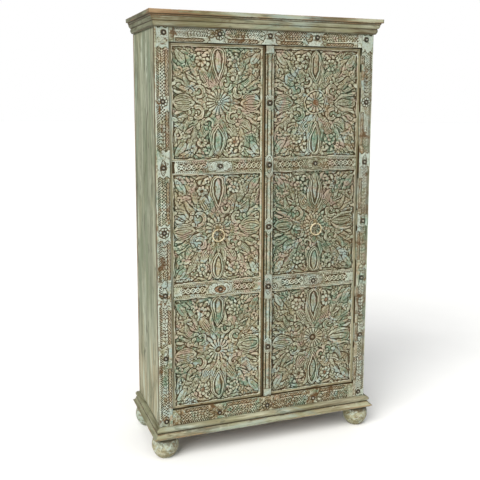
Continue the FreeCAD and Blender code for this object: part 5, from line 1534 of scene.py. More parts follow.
def side_boards(side, mats, nodes):
    """The side of the case: four planks glued edge to edge, planed by hand; the joints have opened a little."""
    name = "side_boards_left" if side < 0 else "side_boards_right"
    seams = (-101.0, 6.0, 108.0) if side < 0 else (-88.0, 22.0, 118.0)
    ys = set(np.round(grid_lines(-160, 208, 5.2), 3))
    for c in seams:
        for o in (-2.2, -1.0, -0.35, 0.35, 1.0, 2.2):
            ys.add(round(c + o, 3))
    for c, o in ((-160, 1), (208, -1)):
        for k in (0.4, 1.0, 2.0):
            ys.add(round(c + o * k, 3))
    ys = np.array(sorted(ys))
    ys = ys[np.r_[True, np.diff(ys) > 0.25]]
    zs = grid_lines(138, 1767, 7.0)
    Y, Z = np.meshgrid(ys, zs)
    key = 11 if side < 0 else 29
    H = np.zeros(Y.shape)
    plank = np.searchsorted(seams, Y)
    H -= 0.35 * (1 + fbm(Y, Z, plank * 40.0, (46, 420, 1), key, 2))
    H -= 0.22 * (1 + noise(Y, Z, plank * 13.0, (9.5, 260, 1), key + 5))
    bow = 0.35 * np.sin(plank * 2.1 + 0.4)
    H += bow - 0.35
    for c in seams:
        o = 0.5 * noise(0 * Z, Z, 0 * Z, 150.0, int(c) + 300)
        H -= 1.9 * np.exp(-(((Y - c - 0.2 * o) / 0.75) ** 2)) * (0.72 + 0.28 * noise(0 * Z, Z, 0 * Z, 90.0, int(c) + 320))
    r = rng("side", side)
    crack = np.zeros(Y.shape)
    for _ in range(10):  # drying checks along the grain
        cy, cz, ln = r.uniform(-150, 200), r.uniform(180, 1720), r.uniform(60, 190)
        line = cy + 2.0 * noise(0 * Z, Z, 0 * Z, 80.0, int(r.integers(1, 9999)))
        f = np.exp(-(((Y - line) / 1.1) ** 2)) * np.clip(1 - ((Z - cz) / ln) ** 2, 0, 1)
        crack = np.maximum(crack, f)
    H -= 0.9 * crack
    for _ in range(16):  # dents
        cy, cz, rr, dp = r.uniform(-150, 200), r.uniform(160, 1750), r.uniform(5, 12), r.uniform(0.3, 0.9)
        H -= dp * np.exp(-(((Y - cy) / rr) ** 2 + ((Z - cz) / (1.6 * rr)) ** 2))
    edge = np.minimum(np.minimum(Y + 160, 208 - Y), np.minimum(Z - 138, 1767 - Z))
    H -= 0.9 * (1 - smooth(0, 1.8, edge)) * (np.minimum(Y + 160, 208 - Y) < 3)
    H = np.clip(H, -3.5, 0.0)
    R = Relief.__new__(Relief)
    R.xs, R.zs, R.X, R.Z, R.H = ys, zs, Y, Z, H
    low = blur(H, 2, 3)
    R.cav = np.clip((low - H) / 0.9, 0, 1)
    R.fine = np.clip(crack, 0, 1)
    R.high = 1 - smooth(0, 7, edge)
    R.T = (plank * 0.31) % 1.0
    nz, ny = Y.shape
    s = side
    outer = np.stack([s * (480.0 + H), Y, Z], -1).reshape(-1, 3)
    e = np.r_[np.arange(ny), np.arange(1, nz) * ny + ny - 1, (nz - 1) * ny + np.arange(ny - 2, -1, -1), np.arange(nz - 2, 0, -1) * ny]
    rim = outer[e].copy()
    rim[:, 0] = s * 460.0
    V = np.vstack([outer, rim])
    m, n0 = len(e), len(outer)
    q1 = grid_quads(nz, ny)
    k = np.arange(m)
    k2 = (k + 1) % m
    q2 = np.stack([e[k], n0 + k, n0 + k2, e[k2]], -1)
    left = n0 + np.r_[0, m - np.arange(1, nz)]
    right = n0 + ny - 1 + np.arange(nz)
    bottom = n0 + np.arange(ny)
    top = n0 + ny - 1 + nz - 1 + np.arange(ny)
    q3 = np.stack([left[1:-2], left[2:-1], right[2:-1], right[1:-2]], -1)
    ng = [np.r_[left[1], right[1], bottom[::-1]], np.r_[right[-2], left[-2], left[-1], top[::-1][1:-1], right[-1]]]
    quads = np.vstack([q1, q2, q3])
    if side < 0:
        quads = quads[:, ::-1]
        ng = [g[::-1] for g in ng]
    # charts: the outside in four lengths, the inside in four, the edges in a strip
    W, L = 368.0, 1629.0
    cut = np.linspace(0, nz - 1, 5).astype(int)
    sizes = [(W, zs[cut[p + 1]] - zs[cut[p]]) for p in range(4)] + [(W * 0.5, L * 0.5 / 2)] * 2 + [(2 * (W + L) / 5 + 1, 20.0)] * 5
    sc, at = pack_charts(sizes)
    P = V[q1]
    row = np.repeat(np.arange(nz - 1), ny - 1)
    seg = np.clip(np.searchsorted(cut, row, side="right") - 1, 0, 3)
    org = np.array([at[p] for p in range(4)])[seg]
    uv1 = np.stack([org[:, 0:1] + (P[:, :, 1] + 160) * sc, org[:, 1:2] + (P[:, :, 2] - zs[cut[seg]][:, None]) * sc], -1)
    per = np.r_[0, np.cumsum(np.hypot(*np.diff(np.vstack([rim[:, 1:], rim[:1, 1:]]), axis=0).T))]
    stepl = per[-1] / 5
    sg = np.clip((per[:-1] / stepl).astype(int), 0, 4)
    f0 = per[np.array([np.argmax(sg == p) for p in range(5)])][sg]
    org = np.array([at[6 + p] for p in range(5)])[sg]
    u0, u1 = (per[:-1] - f0) * sc, (per[1:] - f0) * sc
    uv2 = np.stack([np.stack([org[:, 0] + u0, org[:, 1] + 19.9 * sc], -1), np.stack([org[:, 0] + u0, org[:, 1]], -1),
                    np.stack([org[:, 0] + u1, org[:, 1]], -1), np.stack([org[:, 0] + u1, org[:, 1] + 19.9 * sc], -1)], 1)

    def inner_uv(idx):
        y, z = V[idx][:, 1], V[idx][:, 2]
        p = int(z.mean() > 138 + L / 2)
        ox, oz = at[4 + p]
        return np.stack([ox + (y + 160) * 0.5 * sc, oz + (z - 138 - p * L / 2) * 0.5 * sc], -1)

    uv3 = np.array([inner_uv(q) for q in q3])
    if side < 0:
        uv1, uv2, uv3 = uv1[:, ::-1], uv2[:, ::-1], uv3[:, ::-1]
    uv = np.vstack([uv1.reshape(-1, 2), uv2.reshape(-1, 2), uv3.reshape(-1, 2)] + [inner_uv(g) for g in ng])
    zz = np.zeros(m)
    attrs = {"cav": np.r_[R.cav.ravel(), zz], "fine": np.r_[R.fine.ravel(), zz], "high": np.r_[R.high.ravel(), zz + 0.5], "tint": np.r_[R.T.ravel(), zz]}
    mi = np.r_[np.zeros(len(q1) + len(q2), int), np.ones(len(q3) + 2, int)]
    sm = np.r_[np.ones(len(q1), bool), np.zeros(len(q2) + len(q3) + 2, bool)]
    return build(name, V / 1000.0, quads, ng, mats, mi, sm, attrs, uv, "carcass", "side_paint", nodes)


def lathe(profile, centre, n=56, key=0, wobble=0.5, close_top=True):
    """Verts and quads of a turned piece; profile is (radius, height) from the bottom centre up."""
    P = np.array(profile, float)
    th = np.linspace(0, 2 * math.pi, n, endpoint=False)
    V, W = [], []
    for r, z in P[1:-1]:
        x, y = centre[0] + r * np.cos(th), centre[1] + r * np.sin(th)
        k = wobble * noise(x, y, 0 * x + z, 26.0, key) - wobble
        k = k + 0.25 * noise(x, y, 0 * x + z, 7.0, key + 3) - 0.25
        f = (r + k * min(1.0, r / 20)) / max(r, 1e-6)
        V.append(np.stack([centre[0] + (x - centre[0]) * f, centre[1] + (y - centre[1]) * f, 0 * x + z], -1))
    V = np.vstack(V)
    m = len(P) - 2
    q = []
    j = np.arange(n)
    for i in range(m - 1):
        q.append(np.stack([i * n + j, i * n + (j + 1) % n, (i + 1) * n + (j + 1) % n, (i + 1) * n + j], -1))
    q = np.vstack(q)
    caps = [j[::-1].copy(), (m - 1) * n + j]
    return V, q, caps, m, n


def feet_object(mats):
    prof = [(0, 0), (20, 0.0), (28.5, 0.0), (31.4, 0.9)]
    prof += [(x, z) for x, z in arc_through((33.2, 2.9), (49.9, 22.8), (57.1, 49.0), 13)]
    prof += [(57.3, 52.0)] + arc_through((57.25, 54.0), (55.3, 67.4), (50.4, 80.4), 10)
    prof += [(48.6, 82.6), (46.0, 83.9), (44.9, 85.0), (44.8, 90.0), (12.4, 90.0), (12.4, 119.8), (0, 119.8)]
    V, Q, NG, U, WEAR, CHECKS_AND_SHADE = [], [], [], [], [], []
    P = np.array(prof)
    per = np.r_[0, np.cumsum(np.hypot(*np.diff(P, axis=0).T))]
    total, circ = per[-1], 2 * math.pi * 57.4
    sizes = [(circ, total)] * 4 + [(64, 64), (30, 30)] * 4
    sc, at = pack_charts(sizes)
    base = 0
    capuv = []
    for f, c in enumerate(((-452.5, -160), (452.5, -160), (-452.5, 162), (452.5, 162))):
        v, q, caps, m, n = lathe(prof, c, 60, 40 + f * 7, 0.55)
        r = rng("foot", f)
        th = np.arctan2(v[:, 1] - c[1], v[:, 0] - c[0])
        z = v[:, 2]
        ck = np.zeros(len(v))
        for _ in range(4):
            t0, w = r.uniform(-3.1, 3.1), r.uniform(0.02, 0.045)
            dt = np.abs((th - t0 - 0.10 * noise(z, 0 * z, 0 * z, 15.0, f) + math.pi) % (2 * math.pi) - math.pi)
            ck = np.maximum(ck, np.exp(-((dt / w) ** 2)) * smooth(4, 20, z) * (1 - smooth(66, 80, z)))
        rad = np.hypot(v[:, 0] - c[0], v[:, 1] - c[1])
        k = 1 - 1.0 * ck / np.maximum(rad, 1) * (rad > 20)
        # flats left by knocks
        for _ in range(5):
            t0, z0 = r.uniform(-3.1, 3.1), r.uniform(14, 62)
            dd = np.hypot(((th - t0 + math.pi) % (2 * math.pi) - math.pi) * 48, z - z0)
            k = k - 0.9 * np.exp(-((dd / 8.0) ** 2)) / np.maximum(rad, 1) * (rad > 20)
        v = v.copy()
        v[:, 0] = c[0] + (v[:, 0] - c[0]) * k
        v[:, 1] = c[1] + (v[:, 1] - c[1]) * k
        V.append(v)
        Q.append(q + base)
        NG += [g + base for g in caps]
        i, j = np.divmod(np.arange(len(q)), n)
        ox, oz = at[f]
        pj = per[1:-1]
        U.append(np.stack([np.stack([ox + circ * j / n * sc, oz + pj[i] * sc], -1), np.stack([ox + circ * (j + 1) / n * sc, oz + pj[i] * sc], -1),
                           np.stack([ox + circ * (j + 1) / n * sc, oz + pj[i + 1] * sc], -1), np.stack([ox + circ * j / n * sc, oz + pj[i + 1] * sc], -1)], 1).reshape(-1, 2))
        for kx, g in enumerate(caps):
            ox, oz = at[4 + 2 * f + kx]
            h = 32 if kx == 0 else 15
            capuv.append(np.stack([ox + (v[g, 0] - c[0] + h) * sc, oz + (v[g, 1] - c[1] + h) * sc], -1))
        zz = v[:, 2]
        WEAR.append(0.75 * np.exp(-(((zz - 48) / 16.0) ** 2)) * (0.5 + 0.8 * noise(v[:, 0], v[:, 1], zz, 22.0, 5)) + 0.6 * np.exp(-((zz / 6.0) ** 2)))
        # cav: the checks, and painted shade over the top of the ball where it runs under the plinth
        CHECKS_AND_SHADE.append(np.maximum(0.45 * ck, np.maximum(0.9 * smooth(74, 84, zz), 0.42 * smooth(52, 78, zz) * (0.6 + 0.6 * noise(v[:, 0], v[:, 1], zz, 18.0, 9)))))
        base += len(v)
    V, Q = np.vstack(V), np.vstack(Q)
    wear, cav = np.concatenate(WEAR), np.concatenate(CHECKS_AND_SHADE)
    sm = np.r_[np.ones(len(Q), bool), np.zeros(len(NG), bool)]
    attrs = {"wear": wear, "cav": cav, "fine": -wear, "high": np.clip(wear, 0, 1), "tint": 0 * wear}
    return build("bun_feet", V / 1000.0, Q, NG, mats, None, sm, attrs, np.vstack(U + capuv), "carcass", "foot_paint", ["feet"])


def stud_mesh(points, face, key, squash_=1.0):
    """Hand-forged nail heads: a dished flange with a faceted dome."""
    n = 20
    prof = [(8.35, 0.0), (8.4, 0.35), (8.1, 0.8), (7.2, 0.95), (6.5, 0.85), (6.1, 1.25), (5.6, 2.1), (4.6, 2.95), (3.2, 3.5), (1.6, 3.75)]
    V, Q, NG, W, C = [], [], [], [], []
    base = 0
    for f, (x, z) in enumerate(points):
        r = rng("stud", key, f)
        th = np.linspace(0, 2 * math.pi, n, endpoint=False) + r.uniform(0, 1)
        rows = []
        tilt = r.uniform(-0.12, 0.12, 2)
        for k, (rr, h) in enumerate(prof):
            e = 1 + 0.035 * np.cos(3 * th + r.uniform(0, 6)) - 0.035
            facet = 1 - (0.045 * (np.cos(4 * (th + 0.3)) * 0.5 + 0.5) if 4 < k < 9 else 0.0)
            a = rr * e * facet
            hh = h + (tilt[0] * np.cos(th) + tilt[1] * np.sin(th)) * (0.25 * (k > 4)) - 0.12 * (k > 4)
            rows.append(np.stack([x + a * np.cos(th), -(face + np.maximum(hh, 0.0)), z + a * np.sin(th)], -1))
        top = np.array([[x, -(face + 3.68), z]])
        v = np.vstack(rows + [top])
        m = len(prof)
        j = np.arange(n)
        q = np.vstack([np.stack([i * n + j, i * n + (j + 1) % n, (i + 1) * n + (j + 1) % n, (i + 1) * n + j], -1) for i in range(m - 1)])
        tri = [np.array([(m - 1) * n + a, (m - 1) * n + (a + 1) % n, m * n]) for a in range(n)]
        V.append(v)
        Q.append(q[:, ::-1] + base)
        Q[-1] = Q[-1][:, ::-1]
        NG += [t + base for t in tri] + [j[::-1] + base]
        hgt = np.r_[np.repeat([h for _, h in prof], n), 3.7]
        # wear rises towards the crown: rubbed metal and a painted highlight on the dome
        W.append(np.clip(hgt / 3.7, 0, 1) ** 2)
        C.append(np.exp(-(((hgt - 0.9) / 0.25) ** 2)) * (np.r_[np.repeat(np.arange(m), n), m] > 2))
        base += len(v)
    return np.vstack(V), np.vstack(Q), NG, np.concatenate(W), np.concatenate(C)


def studs_object(name, groups, mat, body, nodes):
    V, Q, NG, W, C = [], [], [], [], []
    base = 0
    for pts, fc in groups:
        v, q, ng, w, c = stud_mesh(pts, fc, name)
        V.append(v)
        Q.append(q + base)
        NG += [g + base for g in ng]
        W.append(w)
        C.append(c)
        base += len(v)
    V, Q = np.vstack(V), np.vstack(Q)
    sm = np.r_[np.ones(len(Q), bool), np.ones(len(NG), bool)]
    return build(name, V / 1000.0, Q, NG, [mat], None, sm, {"wear": np.concatenate(W), "cav": np.concatenate(C)}, None, body, "stud_bronze", nodes)


def ring_object(name, cx, body, mat, nodes):
    """A forged ring: round wire, thinner and brighter where it hangs in its eye, with hammer flats and a painted
    highlight along the front and upper half of the wire.
    """
    R0, r0, cy, cz = 25.0, 3.2, -190.0, 935.0
    nu, nv = 96, 18
    u = np.linspace(0, 2 * math.pi, nu, endpoint=False)
    v = np.linspace(0, 2 * math.pi, nv, endpoint=False)
    U, Vv = np.meshgrid(u, v, indexing="ij")
    r = r0 * (0.965 - 0.035 * np.cos(11 * U + 1.3 * np.sin(3 * U)) * (np.cos(Vv) * 0.5 + 0.5)) - 0.06 * (1 + noise(np.cos(U) * 20, np.sin(U) * 20, np.cos(Vv) * 6, 5.0, 3))
    top = np.exp(-(((U - math.pi / 2 + math.pi) % (2 * math.pi) - math.pi) / 0.2) ** 2)
    r = r * (1 - 0.07 * top)
    X = cx + (R0 + r * np.cos(Vv)) * np.cos(U)
    Z = cz + (R0 + r * np.cos(Vv)) * np.sin(U)
    Y = cy + r * np.sin(Vv)
    P = np.stack([X, Y, Z], -1).reshape(-1, 3)
    i, j = np.meshgrid(np.arange(nu), np.arange(nv), indexing="ij")
    a = i * nv + j
    b = ((i + 1) % nu) * nv + j
    c = ((i + 1) % nu) * nv + (j + 1) % nv
    d = i * nv + (j + 1) % nv
    q = np.stack([a, b, c, d], -1).reshape(-1, 4)
    # outward?
    Pq = P[q[0]]
    nrm = np.cross(Pq[1] - Pq[0], Pq[3] - Pq[0])
    cen = np.array([cx + R0 * np.cos(u[0] + 0.03), cy, cz + R0 * np.sin(u[0] + 0.03)])
    if nrm @ (Pq.mean(0) - cen) < 0:
        q = q[:, ::-1]
    # wear: rubbing where the ring hangs in its eye, and a painted highlight along the front of the wire and across its
    # upper half
    wear = (0.12 + 0.88 * smooth(0.15, 0.85, -np.sin(Vv) + 0.25 * np.sin(U) * np.cos(Vv))) * (0.75 + 0.25 * top)
    return build(name, P / 1000.0, q, (), [mat], None, None, {"wear": wear.ravel(), "cav": (1 - top).ravel() * 0.3}, None, body, "ring_brass", nodes)
# ---------------------------------------------------------------- materials


def lin(r, g, b):
    """A colour given as it looks, 0 to 255, in the linear values that nodes take."""
    out = []
    for c in (r, g, b):
        c = c / 255.0
        out.append(c / 12.92 if c <= 0.04045 else ((c + 0.055) / 1.055) ** 2.4)
    return tuple(out) + (1.0,)


class Mat:
    """A short way to write a node tree: every method returns a socket."""

    def __init__(self, name, metallic=0.0, specular=0.5, coat=0.0, coat_rough=0.3):
        self.m = bpy.data.materials.new(name)
        self.m.use_nodes = True
        self.t = self.m.node_tree
        self.t.nodes.clear()
        self.out = self.t.nodes.new("ShaderNodeOutputMaterial")
        self.b = self.t.nodes.new("ShaderNodeBsdfPrincipled")
        self.t.links.new(self.b.outputs["BSDF"], self.out.inputs["Surface"])
        self.b.inputs["Metallic"].default_value = metallic
        self.b.inputs["Specular IOR Level"].default_value = specular
        if coat:
            self.b.inputs["Coat Weight"].default_value = coat
            self.b.inputs["Coat Roughness"].default_value = coat_rough
        self.co = self.t.nodes.new("ShaderNodeTexCoord").outputs["Object"]

    def _put(self, sock, v):
        if isinstance(v, bpy.types.NodeSocket):
            self.t.links.new(v, sock)
        elif v is not None:
            sock.default_value = v

    def attr(self, name):
        n = self.t.nodes.new("ShaderNodeAttribute")
        n.attribute_name = name
        return n.outputs["Fac"]

    def scaled(self, x, y, z, move=(0, 0, 0), turn=(0, 0, 0)):
        n = self.t.nodes.new("ShaderNodeMapping")
        self.t.links.new(self.co, n.inputs["Vector"])
        n.inputs["Scale"].default_value = (x, y, z)
        n.inputs["Location"].default_value = move
        n.inputs["Rotation"].default_value = turn
        return n.outputs["Vector"]

    def noise(self, scale, detail=3.0, rough=0.55, distort=0.0, vec=None, color=False):
        n = self.t.nodes.new("ShaderNodeTexNoise")
        self.t.links.new(vec if vec is not None else self.co, n.inputs["Vector"])
        n.inputs["Scale"].default_value = scale
        n.inputs["Detail"].default_value = detail
        n.inputs["Roughness"].default_value = rough
        n.inputs["Distortion"].default_value = distort
        return n.outputs["Color" if color else "Fac"]

    def voronoi(self, scale, vec=None, feature="F1", out="Distance", randomness=1.0):
        n = self.t.nodes.new("ShaderNodeTexVoronoi")
        n.feature = feature
        self.t.links.new(vec if vec is not None else self.co, n.inputs["Vector"])
        n.inputs["Scale"].default_value = scale
        n.inputs["Randomness"].default_value = randomness
        return n.outputs[out]

    def math(self, op, a, b=None, c=None, clamp=False):
        n = self.t.nodes.new("ShaderNodeMath")
        n.operation = op
        n.use_clamp = clamp
        self._put(n.inputs[0], a)
        self._put(n.inputs[1], b)
        self._put(n.inputs[2], c)
        return n.outputs[0]

    def mul(self, a, b):
        return self.math("MULTIPLY", a, b)

    def add(self, a, b):
        return self.math("ADD", a, b)

    def sub(self, a, b):
        return self.math("SUBTRACT", a, b)

    def step(self, v, lo, hi, smooth_=True):
        """0 below lo, 1 above hi."""
        n = self.t.nodes.new("ShaderNodeMapRange")
        n.interpolation_type = "SMOOTHSTEP" if smooth_ else "LINEAR"
        self._put(n.inputs["Value"], v)
        n.inputs["From Min"].default_value = lo
        n.inputs["From Max"].default_value = hi
        return n.outputs["Result"]

    def remap(self, v, a, b, c, d):
        n = self.t.nodes.new("ShaderNodeMapRange")
        self._put(n.inputs["Value"], v)
        for k, x in zip(("From Min", "From Max", "To Min", "To Max"), (a, b, c, d)):
            n.inputs[k].default_value = x
        return n.outputs["Result"]

    def mix(self, f, a, b, how="MIX"):
        n = self.t.nodes.new("ShaderNodeMix")
        n.data_type = "RGBA"
        n.blend_type = how
        n.clamp_factor = True
        self._put(n.inputs[0], f)
        self._put(n.inputs[6], a)
        self._put(n.inputs[7], b)
        return n.outputs[2]

    def ramp(self, f, stops):
        n = self.t.nodes.new("ShaderNodeValToRGB")
        self._put(n.inputs[0], f)
        e = n.color_ramp.elements
        while len(e) < len(stops):
            e.new(0.5)
        for k, (p, c) in enumerate(stops):
            e[k].position = p
            e[k].color = c
        return n.outputs[0]

    def bump(self, height, strength=0.3, distance=0.001, below=None):
        n = self.t.nodes.new("ShaderNodeBump")
        n.inputs["Strength"].default_value = strength
        n.inputs["Distance"].default_value = distance
        self._put(n.inputs["Height"], height)
        if below is not None:
            self.t.links.new(below, n.inputs["Normal"])
        return n.outputs["Normal"]

    def done(self, color, rough, normal=None):
        self._put(self.b.inputs["Base Color"], color)
        self._put(self.b.inputs["Roughness"], rough)
        if normal is not None:
            self.t.links.new(normal, self.b.inputs["Normal"])
        return self.m


def carved_paint(name, seed, teal=0.5, blue=0.5, rose=0.5, depth=1.0, pale=0.0, dark=1.0, rust=0.4, tone=1.0, chips=1.0, hold=0.75, stain=0.35):
    """Old milk paint in thin coats over brown wood: olive cream on top, green teal and pale blue below, wood in the
    cuts, with dirt and painted shade down in the cuts and a painted highlight on the crests.
    """
    M = Mat(name, 0.0, 0.32)
    cav, fine, high, tint = (M.attr(k) for k in ("cav", "fine", "high", "tint"))
    at = M.scaled(1, 1, 1, (seed * 1.7, seed * 0.9, seed * 2.3))
    big = M.noise(7.5, 2.0, 0.5, 0.4, at)
    mid = M.noise(24.0, 3.0, 0.6, 0.5, at)
    small = M.noise(85.0, 3.0, 0.65, 0.3, at)
    flake = M.noise(165.0, 2.0, 0.6, 0.6, at)
    tiny = M.noise(380.0, 2.0, 0.7, 0.0, at)
    grain = M.noise(60.0, 3.0, 0.6, 0.2, M.scaled(1.0, 1.0, 0.12, (seed, 0, 0)))
    jag = M.remap(small, 0.3, 0.7, -0.05, 0.05)
    # the top coat
    c = M.mix(M.step(mid, 0.38, 0.62), lin(118, 119, 90), lin(156, 157, 131))
    c = M.mix(M.mul(M.step(small, 0.44, 0.66), 0.8), c, lin(176, 178, 157))
    c = M.mix(M.mul(M.step(big, 0.46, 0.68), 0.5), c, lin(112, 119, 91))
    # the colour that each motif was once given, broken and nearly gone
    fam = M.ramp(tint, [(0.0, lin(150, 150, 122)), (0.12, lin(160, 148, 114)), (0.25, lin(160, 140, 112)), (0.37, lin(112, 124, 94)),
                        (0.5, lin(84, 118, 98)), (0.62, lin(116, 138, 124)), (0.75, lin(158, 174, 162)), (0.86, lin(122, 94, 56)), (1.0, lin(100, 70, 38))])
    hue_noise = M.noise(31.0, 3.0, 0.6, 0.5, M.scaled(1, 1, 1, (seed * 3.1, 2.2, seed)))
    away = M.mul(M.step(tint, 0.02, 0.12), M.step(M.add(hue_noise, jag), 0.54 - 0.14 * hold, 0.62 - 0.14 * hold))
    c = M.mix(M.mul(away, 0.72), c, fam)
    # loose patches of the coats below
    p1 = M.noise(10.0, 3.0, 0.6, 0.8, M.scaled(1, 1, 1, (3.1 + seed, 7.7, 1.3)))
    p2 = M.noise(13.0, 3.0, 0.6, 0.8, M.scaled(1, 1, 1, (9.4, 2.2 + seed, 5.1)))
    p3 = M.noise(15.0, 3.0, 0.6, 0.8, M.scaled(1, 1, 1, (1.9, 4.8, 8.6 + seed)))
    p5 = M.noise(18.0, 3.0, 0.6, 0.8, M.scaled(1, 1, 1, (2.9, 8.8 + seed, 0.6)))
    lowside = M.step(M.add(cav, M.mul(fine, 0.4)), -0.1, 0.4)
    f_teal = M.math("MULTIPLY", M.step(M.add(p1, jag), 0.60 - 0.11 * teal, 0.70 - 0.11 * teal), M.remap(lowside, 0, 1, 0.55, 1.0), clamp=True)
    c = M.mix(f_teal, c, M.mix(M.step(flake, 0.4, 0.62), lin(44, 102, 82), lin(96, 146, 124)))
    f_blue = M.math("MULTIPLY", M.step(M.add(p2, jag), 0.62 - 0.10 * blue, 0.69 - 0.10 * blue), 0.82, clamp=True)
    c = M.mix(f_blue, c, M.mix(M.step(flake, 0.4, 0.62), lin(124, 150, 144), lin(180, 196, 190)))
    f_rose = M.math("MULTIPLY", M.step(M.add(p3, jag), 0.62 - 0.10 * rose, 0.69 - 0.10 * rose), 0.75, clamp=True)
    c = M.mix(f_rose, c, M.mix(M.step(flake, 0.42, 0.6), lin(148, 118, 102), lin(184, 162, 150)))
    f_ochre = M.math("MULTIPLY", M.step(M.add(p5, jag), 0.58, 0.68), 0.65, clamp=True)
    c = M.mix(f_ochre, c, M.mix(M.step(flake, 0.42, 0.6), lin(118, 106, 62), lin(152, 142, 100)))
    # brown areas where the paint has gone
    p4 = M.noise(12.0, 3.0, 0.65, 0.6, M.scaled(1, 1, 1, (6.6, 1.2 + seed, 2.7)))
    f_rust = M.math("MULTIPLY", M.step(M.add(p4, M.remap(flake, 0.3, 0.7, -0.07, 0.07)), 0.64 - 0.12 * rust, 0.73 - 0.12 * rust), 0.75, clamp=True)
    c = M.mix(f_rust, c, M.mix(M.step(small, 0.4, 0.6), lin(100, 76, 42), lin(140, 112, 74)))
    c = M.mix(M.mul(M.step(tint, 0.78, 0.9), M.remap(M.step(mid, 0.60, 0.46), 0, 1, 0.45, 0.95)), c, M.mix(M.step(tint, 0.86, 0.97), M.mix(M.step(small, 0.4, 0.62), lin(144, 112, 74), lin(186, 166, 132)), M.mix(small, lin(84, 50, 22), lin(128, 80, 42))))
    if pale:
        keep_off = M.remap(M.step(tint, 0.16, 0.3), 0, 1, 1.0, 0.25)
        on_plate = M.math("MULTIPLY", M.step(tint, 0.68, 0.74), M.sub(1.0, M.step(tint, 0.78, 0.84)))
        wash = M.add(M.noise(8.0, 2.0, 0.5, 0.5, M.scaled(1, 1, 1, (5.5, 6.6, seed))), M.add(M.mul(high, 0.05), M.mul(on_plate, 0.2)))
        f = M.math("MULTIPLY", M.math("MULTIPLY", M.step(M.add(wash, jag), 0.50, 0.62), pale), M.math("MAXIMUM", keep_off, on_plate), clamp=True)
        c = M.mix(f, c, M.mix(M.step(flake, 0.36, 0.62), lin(150, 164, 150), lin(196, 206, 194)))
    # flaked spots, light and dark
    if chips:
        c = M.mix(M.mul(M.step(flake, 0.55, 0.66), 0.6 * chips), c, lin(84, 76, 44))
        c = M.mix(M.mul(M.step(flake, 0.44, 0.33), 0.6 * chips), c, lin(188, 192, 172))
    # dry brushing and a painted highlight on the crests, less where bare wood is meant
    bare = M.remap(M.step(tint, 0.8, 0.97), 0, 1, 1.0, 0.3)
    crest_brush_and_highlight = M.math("MULTIPLY", M.math("MULTIPLY", M.step(M.add(high, M.remap(small, 0.3, 0.7, -0.3, 0.3)), 0.2, 0.8), 0.8), bare, clamp=True)
    c = M.mix(M.mul(crest_brush_and_highlight, 0.52), c, M.mix(mid, lin(178, 179, 152), lin(212, 215, 196)))
    # painted highlight: a screen blend lightens the crests
    c = M.mix(M.mul(crest_brush_and_highlight, 0.68), c, lin(122, 124, 110), "SCREEN")
    edge = M.math("MULTIPLY", M.math("MULTIPLY", M.step(M.add(M.mul(fine, -1.0), M.remap(small, 0.3, 0.7, -0.45, 0.45)), 0.4, 0.9), M.step(p3, 0.40, 0.56)), bare, clamp=True)
    c = M.mix(M.mul(edge, 0.42), c, M.mix(tiny, lin(140, 116, 82), lin(184, 166, 134)))
    # dirt, bare wood and painted shade down in the cuts
    low = M.add(M.mul(cav, 0.95 * depth), M.mul(M.math("MAXIMUM", fine, 0.0), 0.85 * depth))
    low = M.add(low, M.remap(small, 0.3, 0.7, -0.14, 0.14))
    c = M.mix(M.mul(M.step(low, 0.08, 0.55), 0.66 * dark), c, M.mix(M.step(mid, 0.42, 0.6), lin(80, 74, 42), lin(100, 76, 38)))
    c = M.mix(M.mul(M.step(low, 0.38, 0.86), 0.95 * dark), c, M.mix(M.step(p1, 0.46, 0.62), M.mix(small, lin(42, 30, 8), lin(72, 52, 18)), M.mix(small, lin(28, 30, 12), lin(46, 54, 30))))
    c = M.mix(M.mul(M.step(tiny, 0.58, 0.74), 0.4), c, lin(78, 70, 46))
    c = M.mix(M.mul(M.step(grain, 0.56, 0.7), 0.16), c, lin(74, 68, 46))
    if stain:
        ps = M.noise(17.0, 4.0, 0.7, 0.9, M.scaled(1, 1, 1, (4.4, seed, 9.1)))
        c = M.mix(M.mul(M.step(M.add(ps, M.add(jag, M.mul(cav, 0.05))), 0.555, 0.66), stain), c, M.mix(small, lin(66, 46, 22), lin(104, 78, 44)))
    grime = M.noise(5.0, 3.0, 0.6, 0.5, M.scaled(1, 1, 1, (seed, 3.3, 4.4)))
    shade = M.remap(grime, 0.3, 0.7, 1.06 * tone, 0.84 * tone)
    n = M.t.nodes.new("ShaderNodeCombineColor")
    for k in range(3):
        M.t.links.new(shade, n.inputs[k])
    c = M.mix(1.0, c, n.outputs[0], "MULTIPLY")
    rough = M.remap(M.add(small, M.mul(crest_brush_and_highlight, -0.2)), 0.2, 0.8, 0.62, 0.86)
    h = M.add(M.mul(tiny, 0.5), M.add(M.mul(flake, 0.9), M.add(M.mul(small, 0.6), M.mul(grain, 0.5))))
    return M.done(c, rough, M.bump(h, 0.45, 0.001))


